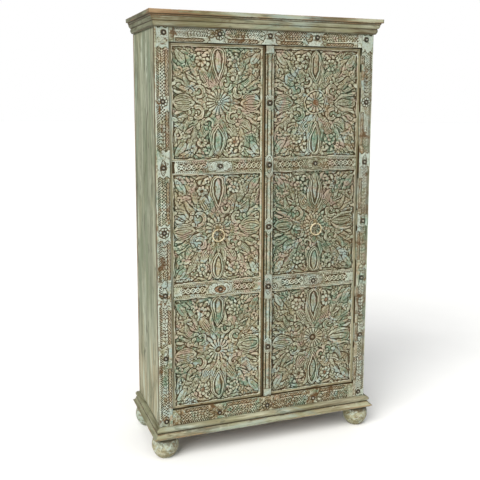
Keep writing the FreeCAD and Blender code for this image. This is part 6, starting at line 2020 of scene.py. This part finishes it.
def flat_paint(name, seed, axis="z", base=(156, 156, 130), light=(174, 175, 152), dark=(112, 108, 82), wood=(176, 124, 84), teal=0.3, warm=0.3, streak=0.6, blue=0.0, cavs=1.0,
               grime=0.5, strip=None, marks=0.0, foot=0.0, mottle=0.0):
    """Thin grey-olive paint over planed wood: the grain shows as darker lines, and arrises are rubbed to the wood."""
    M = Mat(name, 0.0, 0.35)
    cav, fine, high, wear, tint = (M.attr(k) for k in ("cav", "fine", "high", "wear", "tint"))
    k = {"x": (0.06, 1.0, 1.0), "y": (1.0, 0.06, 1.0), "z": (1.0, 1.0, 0.045)}[axis]
    off = (seed * 1.3, seed * 2.1, seed * 0.7)
    lines = M.noise(95.0, 4.0, 0.62, 0.25, M.scaled(*k, off))
    broad = M.noise(17.0, 3.0, 0.55, 0.6, M.scaled(*[min(1.0, v * 2.2) for v in k], off))
    hair = M.noise(420.0, 2.0, 0.6, 0.1, M.scaled(*[v * 0.6 if v < 1 else v for v in k], off))
    patch = M.noise(6.0, 3.0, 0.55, 0.6, M.scaled(1, 1, 0.5, off))
    small = M.noise(120.0, 3.0, 0.6, 0.2)
    c = M.mix(M.step(broad, 0.36, 0.66), lin(*base), lin(*light))
    c = M.mix(M.mul(M.step(patch, 0.42, 0.66), 0.5), c, lin(base[0] - 10, base[1] - 5, base[2] - 12))
    c = M.mix(M.mul(M.step(M.add(patch, M.mul(tint, 0.08)), 0.60, 0.70), 0.5 * warm), c, lin(158, 142, 108))
    if teal:
        pt = M.noise(8.0, 3.0, 0.6, 1.0, M.scaled(*[min(1.0, v * 4) for v in k], (seed + 4.4, 1.1, 2.9)))
        c = M.mix(M.mul(M.step(pt, 0.56, 0.70), teal), c, lin(108, 136, 118))
    if blue:
        pb = M.noise(9.0, 3.0, 0.6, 1.0, M.scaled(*[min(1.0, v * 4) for v in k], (seed + 8.4, 6.1, 2.9)))
        c = M.mix(M.mul(M.step(pb, 0.54, 0.66), blue), c, lin(150, 166, 156))
    if strip:
        y = M.t.nodes.new("ShaderNodeSeparateXYZ")
        M.t.links.new(M.co, y.inputs[0])
        near = M.step(M.add(M.mul(y.outputs[1], -1.0), M.remap(broad, 0.3, 0.7, -0.004, 0.004)), strip - 0.004, strip + 0.004)
        c = M.mix(M.mul(near, 0.5), c, M.mix(M.step(lines, 0.4, 0.6), lin(160, 160, 136), lin(126, 122, 94)))
    if foot:  # the lower end has worn warmer
        z = M.t.nodes.new("ShaderNodeSeparateXYZ")
        M.t.links.new(M.co, z.inputs[0])
        down = M.step(M.add(M.mul(z.outputs[2], -1.0), M.remap(patch, 0.3, 0.7, -0.16, 0.16)), -0.62, -0.22)
        c = M.mix(M.mul(down, foot), c, M.mix(M.step(lines, 0.4, 0.62), lin(170, 156, 124), lin(138, 122, 90)))
    # grain lines and a few long dark streaks
    c = M.mix(M.mul(M.step(lines, 0.48, 0.70), streak), c, lin(*dark))
    c = M.mix(M.mul(M.step(hair, 0.50, 0.76), 0.4 * streak), c, lin(dark[0] - 10, dark[1] - 12, dark[2] - 12))
    long_ = M.noise(34.0, 2.0, 0.5, 0.3, M.scaled(*[v * 0.8 if v < 1 else v for v in k], (seed + 2.2, 5.0, 3.3)))
    c = M.mix(M.mul(M.step(long_, 0.59, 0.68), 0.72 * streak), c, lin(dark[0] - 26, dark[1] - 26, dark[2] - 24))
    c = M.mix(M.mul(M.step(M.sub(0.5, lines), 0.06, 0.2), 0.4), c, lin(light[0] + 12, light[1] + 14, light[2] + 16))
    if marks:
        wide = M.noise(15.0, 3.0, 0.6, 0.7, M.scaled(*[min(1.0, v * 3.4) for v in k], (seed + 6.6, 1.7, 2.3)))
        c = M.mix(M.mul(M.step(wide, 0.50, 0.66), 0.75 * marks), c, lin(dark[0] + 14, dark[1] + 22, dark[2] + 16))
        c = M.mix(M.mul(M.step(wide, 0.46, 0.32), 0.7 * marks), c, lin(light[0] + 20, light[1] + 24, light[2] + 26))
        nick = M.noise(52.0, 2.0, 0.5, 0.6, M.scaled(*[min(1.0, v * 4.8) for v in k], (seed + 1.6, 4.7, 0.3)))
        c = M.mix(M.mul(M.step(nick, 0.61, 0.68), 0.85 * marks), c, lin(72, 76, 56))
    blot = M.noise(26.0, 4.0, 0.65, 0.8, M.scaled(*[min(1.0, v * 5) for v in k], (seed, 2.0, 7.7)))
    c = M.mix(M.mul(M.step(blot, 0.54, 0.70), grime), c, lin(dark[0] + 2, dark[1] + 6, dark[2] + 2))
    c = M.mix(M.mul(M.step(blot, 0.44, 0.30), 0.5 * grime), c, lin(light[0] + 16, light[1] + 18, light[2] + 20))
    if mottle:  # coats broken into small flakes, pale blue, cream and brown
        m1 = M.noise(34.0, 4.0, 0.66, 0.9, M.scaled(1, 1, 1, (seed + 1.9, 3.3, 6.1)))
        m2 = M.noise(58.0, 3.0, 0.62, 0.8, M.scaled(1, 1, 1, (2.7, seed + 5.2, 1.4)))
        c = M.mix(M.mul(M.step(m1, 0.50, 0.60), 0.8 * mottle), c, M.mix(small, lin(150, 164, 152), lin(188, 198, 186)))
        c = M.mix(M.mul(M.step(m2, 0.54, 0.64), 0.75 * mottle), c, M.mix(small, lin(84, 68, 40), lin(118, 98, 64)))
        c = M.mix(M.mul(M.step(m2, 0.44, 0.36), 0.55 * mottle), c, lin(188, 184, 158))
    # rubbed arrises, and dirt with painted shade in the creases
    rub = M.math("MULTIPLY", M.step(M.add(wear, M.add(M.remap(broad, 0.3, 0.7, -0.35, 0.35), M.remap(small, 0.3, 0.7, -0.25, 0.25))), 0.62, 1.0), 0.8, clamp=True)
    c = M.mix(rub, c, M.mix(M.step(lines, 0.4, 0.62), lin(*wood), lin(wood[0] - 34, wood[1] - 34, wood[2] - 28)))
    # painted shade: the cav value darkens creases, seams and dents, together with real dirt
    dirt = M.step(M.add(M.mul(cav, cavs), M.remap(small, 0.3, 0.7, -0.2, 0.2)), 0.2, 0.85)
    c = M.mix(M.mul(dirt, 0.85), c, lin(62, 50, 30))
    c = M.mix(M.mul(M.math("MAXIMUM", fine, 0.0, clamp=True), 0.85), c, lin(48, 40, 26))
    rough = M.remap(lines, 0.3, 0.7, 0.62, 0.84)
    h = M.add(M.mul(lines, -1.0), M.add(M.mul(hair, -0.5), M.mul(small, 0.3)))
    return M.done(c, rough, M.bump(h, 0.4, 0.0007))


def raw_wood(name, seed, axis="z", light=(172, 128, 84), dark=(118, 78, 46), dust=0.25, paint=0.0):
    """Unpainted wood inside: bands of early and late growth, pores, and a little dust."""
    M = Mat(name, 0.0, 0.4)
    wear = M.attr("wear")
    k = {"x": (0.05, 1.0, 1.0), "y": (1.0, 0.05, 1.0), "z": (1.0, 1.0, 0.05)}[axis]
    off = (seed * 0.77, seed * 1.9, seed * 1.21)
    warp = M.noise(5.0, 3.0, 0.5, 0.6, M.scaled(*[min(1.0, v * 3) for v in k], off))
    n = M.t.nodes.new("ShaderNodeTexWave")
    n.wave_type = "BANDS"
    n.bands_direction = "DIAGONAL"
    n.inputs["Scale"].default_value = 17.0
    n.inputs["Distortion"].default_value = 7.5
    n.inputs["Detail"].default_value = 3.0
    n.inputs["Detail Scale"].default_value = 1.2
    M.t.links.new(M.scaled(*k, off), n.inputs["Vector"])
    bands = n.outputs["Fac"]
    pores = M.noise(380.0, 2.0, 0.6, 0.1, M.scaled(*[v * 0.8 if v < 1 else v for v in k], off))
    fig = M.noise(70.0, 4.0, 0.6, 0.3, M.scaled(*k, off))
    c = M.mix(M.remap(bands, 0.1, 0.9, 0.0, 1.0), lin(*dark), lin(*light))
    c = M.mix(M.step(fig, 0.42, 0.66), c, lin(light[0] + 8, light[1] + 2, light[2] - 6))
    c = M.mix(M.mul(M.step(warp, 0.5, 0.7), 0.35), c, lin(dark[0] + 6, dark[1] - 6, dark[2] - 10))
    c = M.mix(M.mul(M.step(pores, 0.56, 0.74), 0.55), c, lin(66, 42, 24))
    if paint:
        p = M.noise(14.0, 4.0, 0.65, 0.8, M.scaled(1, 1, 0.5, off))
        c = M.mix(M.mul(M.step(p, 0.42, 0.58), paint), c, M.mix(M.step(fig, 0.4, 0.6), lin(140, 130, 96), lin(170, 164, 132)))
    c = M.mix(M.mul(M.step(wear, 0.4, 1.0), 0.3), c, lin(light[0] + 22, light[1] + 20, light[2] + 14))
    c = M.mix(M.mul(M.step(M.noise(9.0, 4.0, 0.6, 0.3), 0.4, 0.75), dust), c, lin(150, 138, 116))
    h = M.add(M.mul(pores, -0.8), M.mul(fig, 0.6))
    return M.done(c, M.remap(fig, 0.3, 0.7, 0.55, 0.78), M.bump(h, 0.35, 0.0006))


def metal(name, seed, base, bright, stain, rough=(0.32, 0.6), metallic=0.9, stain_amount=0.6):
    """Aged metal: dull in the hollows, brighter where hands and hammer touched it; on the studs and the ring pulls that
    brighter colour also serves as a painted highlight.
    """
    M = Mat(name, metallic, 0.5)
    wear, cav = M.attr("wear"), M.attr("cav")
    a = M.noise(160.0, 4.0, 0.6, 0.3, M.scaled(1, 1, 1, (seed, seed * 2, 0)))
    b = M.noise(700.0, 3.0, 0.6, 0.0)
    d = M.noise(45.0, 3.0, 0.55, 0.6, M.scaled(1, 1, 1, (0, seed, 3)))
    c = M.mix(M.step(a, 0.38, 0.66), lin(*base), lin(*[min(255, v + 24) for v in base]))
    c = M.mix(M.math("MULTIPLY", M.step(M.add(wear, M.remap(a, 0.3, 0.7, -0.3, 0.3)), 0.45, 1.0), 0.85, clamp=True), c, lin(*bright))
    c = M.mix(M.mul(M.step(M.add(d, M.mul(cav, 0.25)), 0.5, 0.72), stain_amount), c, lin(*stain))
    r = M.remap(M.add(M.mul(a, 0.6), M.mul(b, 0.4)), 0.3, 0.7, rough[0], rough[1])
    return M.done(c, r, M.bump(M.add(M.mul(a, 1.0), M.mul(b, 0.3)), 0.35, 0.0004))
# ---------------------------------------------------------------- the wardrobe put together

SKY, KEY, FILL, TOP = 0.38, 3.4, 0.32, 0.9

inside = raw_wood("wood_inside", 2.0, "z", (154, 122, 88), (108, 80, 54), 0.35)
inside_x = raw_wood("wood_inside_cross", 4.0, "x", (156, 122, 86), (110, 80, 52), 0.35)
back_wood = raw_wood("wood_back", 9.0, "z", (142, 118, 90), (100, 78, 54), 0.5)
back_rail = raw_wood("wood_back_rails", 10.0, "x", (140, 116, 88), (98, 78, 54), 0.5)
cap_wood = raw_wood("wood_cap", 12.0, "x", (134, 120, 90), (98, 84, 60), 0.5, 0.85)
door_wood = raw_wood("wood_door_frame", 6.0, "z", (138, 100, 64), (92, 62, 36), 0.2, 0.55)
door_wood_x = raw_wood("wood_door_rails", 5.0, "x", (138, 100, 64), (92, 62, 36), 0.2, 0.55)
door_back = raw_wood("wood_door_back", 7.0, "z", (146, 118, 84), (104, 78, 50), 0.32)

# tone scales each paint's brightness; the right-hand panels, stile and rails are toned darker than the left ones:
# painted shade on the right half of the front
panel_paint = {
    "top_left": carved_paint("paint_panel_top_left", 1.0, 0.75, 0.5, 0.65, depth=1.47, chips=1.25, tone=1.05),
    "top_right": carved_paint("paint_panel_top_right", 2.0, 0.65, 0.55, 0.55, depth=1.47, chips=1.25, tone=0.93),
    "middle_left": carved_paint("paint_panel_middle_left", 3.0, 0.5, 0.75, 0.75, depth=1.52, chips=1.25, tone=1.05),
    "middle_right": carved_paint("paint_panel_middle_right", 4.0, 0.9, 0.5, 0.5, depth=1.7, chips=1.25, tone=0.86),
    "bottom_left": carved_paint("paint_panel_bottom_left", 5.0, 0.8, 0.8, 0.6, depth=1.52, chips=1.25, tone=1.03),
    "bottom_right": carved_paint("paint_panel_bottom_right", 6.0, 0.8, 0.6, 0.6, depth=1.7, chips=1.25, tone=0.91),
}
frame_paint = carved_paint("paint_frame", 11.0, 0.6, 0.9, 0.3, depth=3, pale=0.8, dark=1.0, rust=0.97, tone=1.04, chips=1.6, stain=1)
frame_paint_r = carved_paint("paint_frame_right", 21.0, 0.6, 0.9, 0.3, depth=3, pale=0.75, dark=1.0, rust=0.92, tone=0.97, chips=1.6, stain=0.95)
astragal_paint = carved_paint("paint_astragal", 18.0, 0.5, 0.6, 0.4, depth=2.1, pale=0.38, dark=1.0, rust=1.05, tone=0.94, stain=0.8)
low_paint = carved_paint("paint_frame_low", 12.0, 0.85, 0.2, 0.3, depth=3.6, pale=0.05, dark=1.0, rust=1.45, tone=1.0, chips=1.6, stain=1.25)
rail_paint = carved_paint("paint_mid_rails_left", 13.0, 0.5, 0.8, 0.4, depth=1.82, pale=0.95, dark=1.0, rust=0.3, tone=1.10, chips=1.3, stain=0.5)
rail_paint_r = carved_paint("paint_mid_rails_right", 15.0, 0.6, 0.5, 0.4, depth=2.1, pale=0.5, dark=1.0, rust=0.7, tone=0.94, chips=1.3, stain=0.6)
side_paint = flat_paint("paint_sides", 1.0, "z", (122, 124, 103), (146, 149, 127), (84, 86, 66), (136, 120, 94), teal=0.4, warm=0.4, streak=0.7, grime=0.7, strip=0.104, marks=1.0, foot=0.55)
# the side runs of the cornice and the plinth take darker copies of the front paints: painted shade on the sides
cornice_x = flat_paint("paint_cornice_front", 3.0, "x", (129, 125, 94), (158, 157, 130), (84, 62, 34), (156, 124, 88), teal=0.4, warm=0.6, streak=0.75, blue=0.75, cavs=1.6, grime=0.75, marks=0.5)
cornice_side_shaded = flat_paint("paint_cornice_side", 4.0, "y", (104, 103, 80), (128, 129, 105), (66, 60, 40), (140, 114, 82), teal=0.2, warm=0.3, streak=0.8, cavs=1.6, grime=0.7, marks=0.4)
plinth_x = flat_paint("paint_plinth_front", 5.0, "x", (138, 135, 106), (168, 166, 140), (88, 68, 38), (152, 124, 88), teal=0.6, warm=0.6, streak=0.75, blue=0.65, cavs=1.6, grime=0.75, marks=0.6)
plinth_side_shaded = flat_paint("paint_plinth_side", 6.0, "y", (118, 116, 92), (140, 140, 116), (78, 70, 46), (144, 116, 84), teal=0.25, warm=0.5, streak=0.7, cavs=1.5, grime=0.7, marks=0.4)
foot_paint = flat_paint("paint_feet", 8.0, "x", (132, 126, 96), (164, 162, 136), (82, 66, 42), (140, 116, 80), teal=0.5, warm=0.4, streak=0.3, blue=0.7, cavs=1.6, grime=0.8, marks=0.3, mottle=1.0)

# the bright colours of the studs and ring pulls are also painted highlights on their crowns and fronts
bronze = metal("metal_studs", 1.0, (17, 16, 9), (176, 170, 148), (12, 12, 7), (0.34, 0.5), 0.3, 0.3)
brass = metal("metal_ring_pulls", 2.0, (150, 132, 90), (240, 232, 200), (108, 90, 56), (0.3, 0.5), 0.3, 0.3)
eye_brass = metal("metal_pull_eyes", 7.0, (112, 98, 66), (186, 174, 136), (58, 46, 28), (0.34, 0.55), 0.35, 0.45)
steel = metal("metal_screws", 3.0, (96, 90, 80), (170, 166, 156), (70, 52, 36), (0.35, 0.6), 0.9, 0.4)
iron = metal("metal_hinges_bolts", 4.0, (70, 62, 54), (128, 116, 100), (62, 42, 28), (0.42, 0.68), 0.85, 0.5)

hinge_mat = metal("metal_hinges_painted", 6.0, (112, 108, 82), (150, 146, 120), (78, 60, 38), (0.55, 0.75), 0.25, 0.5)
lip_paint = flat_paint("paint_door_lips", 14.0, "z", (132, 124, 94), (172, 168, 140), (84, 66, 38), (160, 122, 82), teal=0.75, warm=0.6, streak=0.8, blue=0.7, grime=1.0, marks=0.5)
lip_x = flat_paint("paint_door_lips_cross", 17.0, "x", (136, 124, 92), (176, 168, 138), (84, 62, 36), (160, 118, 78), teal=0.6, warm=0.7, streak=0.8, blue=0.5, grime=1.0, marks=0.5)
lip_rust = flat_paint("paint_meeting_edge", 16.0, "z", (92, 72, 44), (124, 106, 74), (50, 34, 18), (96, 64, 34), teal=0.3, warm=0.1, streak=0.85, grime=0.95, marks=0.8)

# carved work
for side in ("left", "right"):
    for row in ("top", "middle", "bottom"):
        key = f"{row}_{side}"
        relief_object(f"carved_panel_{key}", carve_panel(key), 180.0, 160.0, f"door_{side}", "carved_door_paint", [panel_paint[key], door_back], [f"{side}_panel_{row}"])
    for row in ("upper", "lower"):
        relief_object(f"carved_{row}_rail_{side}", carve_midrail(f"{side}_{row}"), 180.0, 160.0, f"door_{side}", "carved_door_paint",
                      [rail_paint if side == "left" else rail_paint_r, door_back], [f"{side}_{row}_rail"])
    s = -1 if side == "left" else 1
    relief_object(f"carved_stile_{side}", carve_stile(s), 188.0, 160.0, "carcass", "carved_frame_paint", [frame_paint if side == "left" else frame_paint_r, inside], [f"frame_stile_{side}"], 0.38, 0.36)
relief_object("carved_rail_top", carve_rail(True), 188.0, 160.0, "carcass", "carved_frame_paint", [frame_paint, inside], ["frame_top_rail"])
relief_object("carved_rail_bottom", carve_rail(False), 188.0, 160.0, "carcass", "carved_frame_paint", [low_paint, inside], ["frame_bottom_rail"])
relief_object("carved_astragal", carve_astragal(), 188.0, 160.0, "door_right", "carved_door_paint", [astragal_paint, door_back], ["astragal"])

# case
for s, n in ((-1, "left"), (1, "right")):
    side_boards(s, [side_paint, inside], [f"side_panel_{n}"])
rub_c = [(-505, -215, 1818, (130, 60, 40), 0.9), (-350, -215, 1822, (140, 40, 16), 0.45), (505, -215, 1815, (40, 40, 40), 0.35), (160, -215, 1826, (180, 40, 8), 0.25)]
rub_p = [(480, -215, 118, (70, 60, 40), 0.45), (-490, -215, 118, (40, 50, 30), 0.35)]
for kind, mat in (("front", cornice_x), ("left", cornice_side_shaded), ("right", cornice_side_shaded)):
    moulding(f"cornice_moulding_{kind}", CORNICE, kind, 510.0, 1830.0, [mat], "cornice_paint", [f"cornice_{kind}"], 21, rub_c)
for kind, mat in (("front", plinth_x), ("left", plinth_side_shaded), ("right", plinth_side_shaded)):
    moulding(f"plinth_moulding_{kind}", PLINTH, kind, 510.0, 138.0, [mat], "plinth_paint", [f"plinth_{kind}"], 33, rub_p)
feet_object([foot_paint])

# hardware
frame_pts = [(s * (445 if z > 1700 else 452), z) for s in (-1, 1) for z in STUD_STILE_Z] + [(-217, 1746), (0, 1746), (212, 1746), (-220, 163), (0, 163), (222, 163)]
studs_object("studs_frame", [(frame_pts, 188.0)], bronze, "carcass", ["frame_studs"])
studs_object("studs_door_left", [([(-213, 1220), (-213, 704)], 180.0)], bronze, "door_left", ["left_door_studs"])
studs_object("studs_door_right", [([(216, 1220), (216, 704)], 180.0), ([(0, z) for z in ASTRAGAL_STUDS], 188.0)], bronze, "door_right", ["right_door_studs"])
ring_object("ring_pull_left", -224.0, "ring_left", brass, ["ring_left"])
ring_object("ring_pull_right", 220.0, "ring_right", brass, ["ring_right"])

# plain boards, with their edges eased


def parts_of(node):
    """The separate solids of a CAD node, each as its lowest and highest corner in mm."""
    me = NODES[node].data
    n = len(me.vertices)
    co = np.empty(n * 3, np.float32)
    me.vertices.foreach_get("co", co)
    co = co.reshape(-1, 3) * 1000
    _, inv = np.unique(np.round(co, 2), axis=0, return_inverse=True)
    inv = inv.ravel()
    root = np.arange(inv.max() + 1)

    def find(a):
        while root[a] != a:
            root[a] = root[root[a]]
            a = root[a]
        return a

    for e in me.edges:
        a, b = find(inv[e.vertices[0]]), find(inv[e.vertices[1]])
        if a != b:
            root[max(a, b)] = min(a, b)
    label = np.array([find(k) for k in inv])
    out = [(co[label == k].min(0), co[label == k].max(0)) for k in np.unique(label)]
    return sorted(out, key=lambda b: tuple(np.round(b[0], 1)))


for node, mat, step in (("back_boards", back_wood, 90.0), ("shelf_cleats", inside, 60.0), ("door_stops", inside_x, 40.0)):
    for k, (lo, hi) in enumerate(parts_of(node)):
        board(f"{node}_{k + 1}", [mat], "carcass", "inside_wood", [node], lo, hi, 1.4, step)
for node, mat, slot_ in (("hat_shelf", inside_x, "inside_wood"), ("cornice_back", back_rail, "cornice_paint"), ("cornice_cap", cap_wood, "cornice_paint"), ("plinth_back", back_rail, "plinth_paint")):
    board(f"{node}_piece", [mat], "carcass", slot_, [node], None, None, 1.5, 60.0)


def eased(node, name, mat, body, width=0.6, segments=2, front=None):
    """The CAD node's own shape with its sharp edges broken."""
    src = NODES[node].data
    me = src.copy()
    me.name = name
    bm = bmesh.new()
    bm.from_mesh(me)
    bmesh.ops.remove_doubles(bm, verts=bm.verts, dist=1e-6)
    bmesh.ops.dissolve_limit(bm, angle_limit=math.radians(1.5), verts=bm.verts, edges=bm.edges, delimit={"NORMAL"})
    sharp = [e for e in bm.edges if len(e.link_faces) == 2 and e.calc_face_angle(0) > math.radians(28)]
    bmesh.ops.bevel(bm, geom=sharp, offset=width / 1000.0, offset_type="OFFSET", segments=segments, profile=0.6, affect="EDGES", clamp_overlap=True)
    for f in bm.faces:
        f.smooth = True
    bm.to_mesh(me)
    bm.free()
    me.materials.clear()
    me.materials.append(mat)
    me.update()
    if front is not None:
        me.materials.append(front)
        for f in me.polygons:
            f.material_index = int(f.normal.y < -0.4)
    ob = bpy.data.objects.new(name, me)
    bpy.context.scene.collection.objects.link(ob)
    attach(ob, body)
    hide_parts(node)
    ob.data.set_sharp_from_angle(angle=math.radians(40))
    MADE.append(ob)
    return ob


for s in ("left", "right"):
    for part in ("hinge_stile", "meeting_stile", "top_rail", "bottom_rail"):
        front = lip_rust if (s, part) == ("left", "meeting_stile") else (lip_paint if "stile" in part else lip_x)
        eased(f"{s}_{part}", f"door_{part}_{s}", door_wood if "stile" in part else door_wood_x, f"door_{s}", 0.9, front=front)
    eased(f"{s}_pull_eye", f"pull_eye_{s}", eye_brass, f"door_{s}", 0.35)
    eased(f"{s}_hinge_leaves", f"hinge_leaves_{s}", hinge_mat, f"door_{s}", 0.25)
    eased(f"{s}_door_screws", f"door_screws_{s}", steel, f"door_{s}", 0.2)
eased("frame_hinge_leaves", "hinge_leaves_frame", hinge_mat, "carcass", 0.25)
eased("frame_hinge_screws", "hinge_screws_frame", steel, "carcass", 0.2)
eased("hinge_pins", "hinge_pin_set", steel, "carcass", 0.4)
eased("hanging_rail", "clothes_rail", inside_x, "carcass", 0.6)
eased("rail_sockets", "rail_socket_pair", inside, "carcass", 0.8)
# both boards keep the holes that the bolts shoot into
eased("floor_board", "floor_board_piece", inside_x, "carcass", 1.2)
eased("top_board", "top_board_piece", inside_x, "carcass", 1.2)
eased("bolt_brackets", "bolt_bracket_plates", iron, "door_left", 0.4)
eased("top_bolt", "bolt_top_rod", iron, "bolt_top", 0.4)
eased("bottom_bolt", "bolt_bottom_rod", iron, "bolt_bottom", 0.4)

# a CAD node that still shows keeps its shape and gets its finish
KEEP = {
    "inside_wood": inside, "door_frame_wood": door_wood, "stud_bronze": bronze, "ring_brass": brass, "screw_steel": steel, "hardware_iron": iron,
    "side_paint": inside, "cornice_paint": back_wood, "plinth_paint": back_wood, "foot_paint": foot_paint, "carved_frame_paint": frame_paint, "carved_door_paint": rail_paint,
}
SLOT_OF = {s["node"]: s.get("material_slot") for s in frame["record"].get("subparts", [])}
for n, ob in NODES.items():
    ob.data.materials.clear()
    ob.data.materials.append(KEEP[SLOT_OF.get(n) or "inside_wood"])

# ---------------------------------------------------------------- studio

floor_mat = Mat("studio_floor", 0.0, 0.2)
fn = floor_mat.noise(3.0, 3.0, 0.5)
floor_mat.done(floor_mat.mix(fn, (0.84, 0.84, 0.83, 1), (0.88, 0.88, 0.87, 1)), floor_mat.remap(fn, 0.3, 0.7, 0.75, 0.85))
me = bpy.data.meshes.new("studio_floor")
ring_n = 64
pts = [(0.0, 0.0, 0.0)] + [(40 * math.cos(2 * math.pi * k / ring_n), 40 * math.sin(2 * math.pi * k / ring_n), 0.0) for k in range(ring_n)]
me.from_pydata(pts, [], [(0, 1 + k, 1 + (k + 1) % ring_n) for k in range(ring_n)])
me.materials.append(floor_mat.m)
floor = bpy.data.objects.new("studio_floor", me)
bpy.context.scene.collection.objects.link(floor)

scene = bpy.context.scene
world = bpy.data.worlds.new("studio")
scene.world = world
world.use_nodes = True
wt = world.node_tree
wt.nodes.clear()
w_out = wt.nodes.new("ShaderNodeOutputWorld")
seen, lit = wt.nodes.new("ShaderNodeBackground"), wt.nodes.new("ShaderNodeBackground")
seen.inputs["Color"].default_value = (1, 1, 1, 1)
seen.inputs["Strength"].default_value = 1.0
lit.inputs["Color"].default_value = (0.97, 0.985, 1.0, 1)
lit.inputs["Strength"].default_value = SKY
path = wt.nodes.new("ShaderNodeLightPath")
wmix = wt.nodes.new("ShaderNodeMixShader")
wt.links.new(path.outputs["Is Camera Ray"], wmix.inputs[0])
wt.links.new(lit.outputs[0], wmix.inputs[1])
wt.links.new(seen.outputs[0], wmix.inputs[2])
wt.links.new(wmix.outputs[0], w_out.inputs["Surface"])


def sun(name, travel, watts, degrees, color=(1, 1, 1)):
    """A far soft box: travel is the way its light goes."""
    data = bpy.data.lights.new(name, "SUN")
    data.energy = watts
    data.angle = math.radians(degrees)
    data.color = color
    ob = bpy.data.objects.new(name, data)
    bpy.context.scene.collection.objects.link(ob)
    d = Vector(travel).normalized()
    ob.location = -d * 4
    ob.rotation_euler = d.to_track_quat("-Z", "Y").to_euler()
    return ob


sun("key", (0.62, 0.52, -0.62), KEY, 44, (1.0, 0.985, 0.96))
sun("fill", (-0.7, 0.8, -0.35), FILL, 60, (0.97, 0.985, 1.0))
sun("top", (0.05, 0.15, -1.0), TOP, 70)

# camera at the photograph's place
F, CX, CY = 720.79, 251.45, 203.34
yaw, pitch, roll = 0.3656, -0.1464, 0.0051
fwd = Vector((math.sin(yaw) * math.cos(pitch), math.cos(yaw) * math.cos(pitch), math.sin(pitch)))
right = Vector((math.cos(yaw), -math.sin(yaw), 0.0))
up = right.cross(fwd)
r2 = math.cos(roll) * right + math.sin(roll) * up
u2 = -math.sin(roll) * right + math.cos(roll) * up
cam = bpy.data.cameras.new("camera")
cam.sensor_width = 36.0
cam.sensor_fit = "HORIZONTAL"
cam.lens = F * 36.0 / 480.0
cam.shift_x = (240.0 - CX) / 480.0
cam.shift_y = (CY - 240.0) / 480.0
cam.clip_start, cam.clip_end = 0.05, 200.0
cam_ob = bpy.data.objects.new("camera", cam)
scene.collection.objects.link(cam_ob)
cam_ob.matrix_world = Matrix((
    (r2.x, u2.x, -fwd.x, -1.1412), (r2.y, u2.y, -fwd.y, -2.9624), (r2.z, u2.z, -fwd.z, 1.4998), (0, 0, 0, 1)))
scene.camera = cam_ob
scene.view_settings.view_transform = "Standard"
scene.view_settings.look = "None"
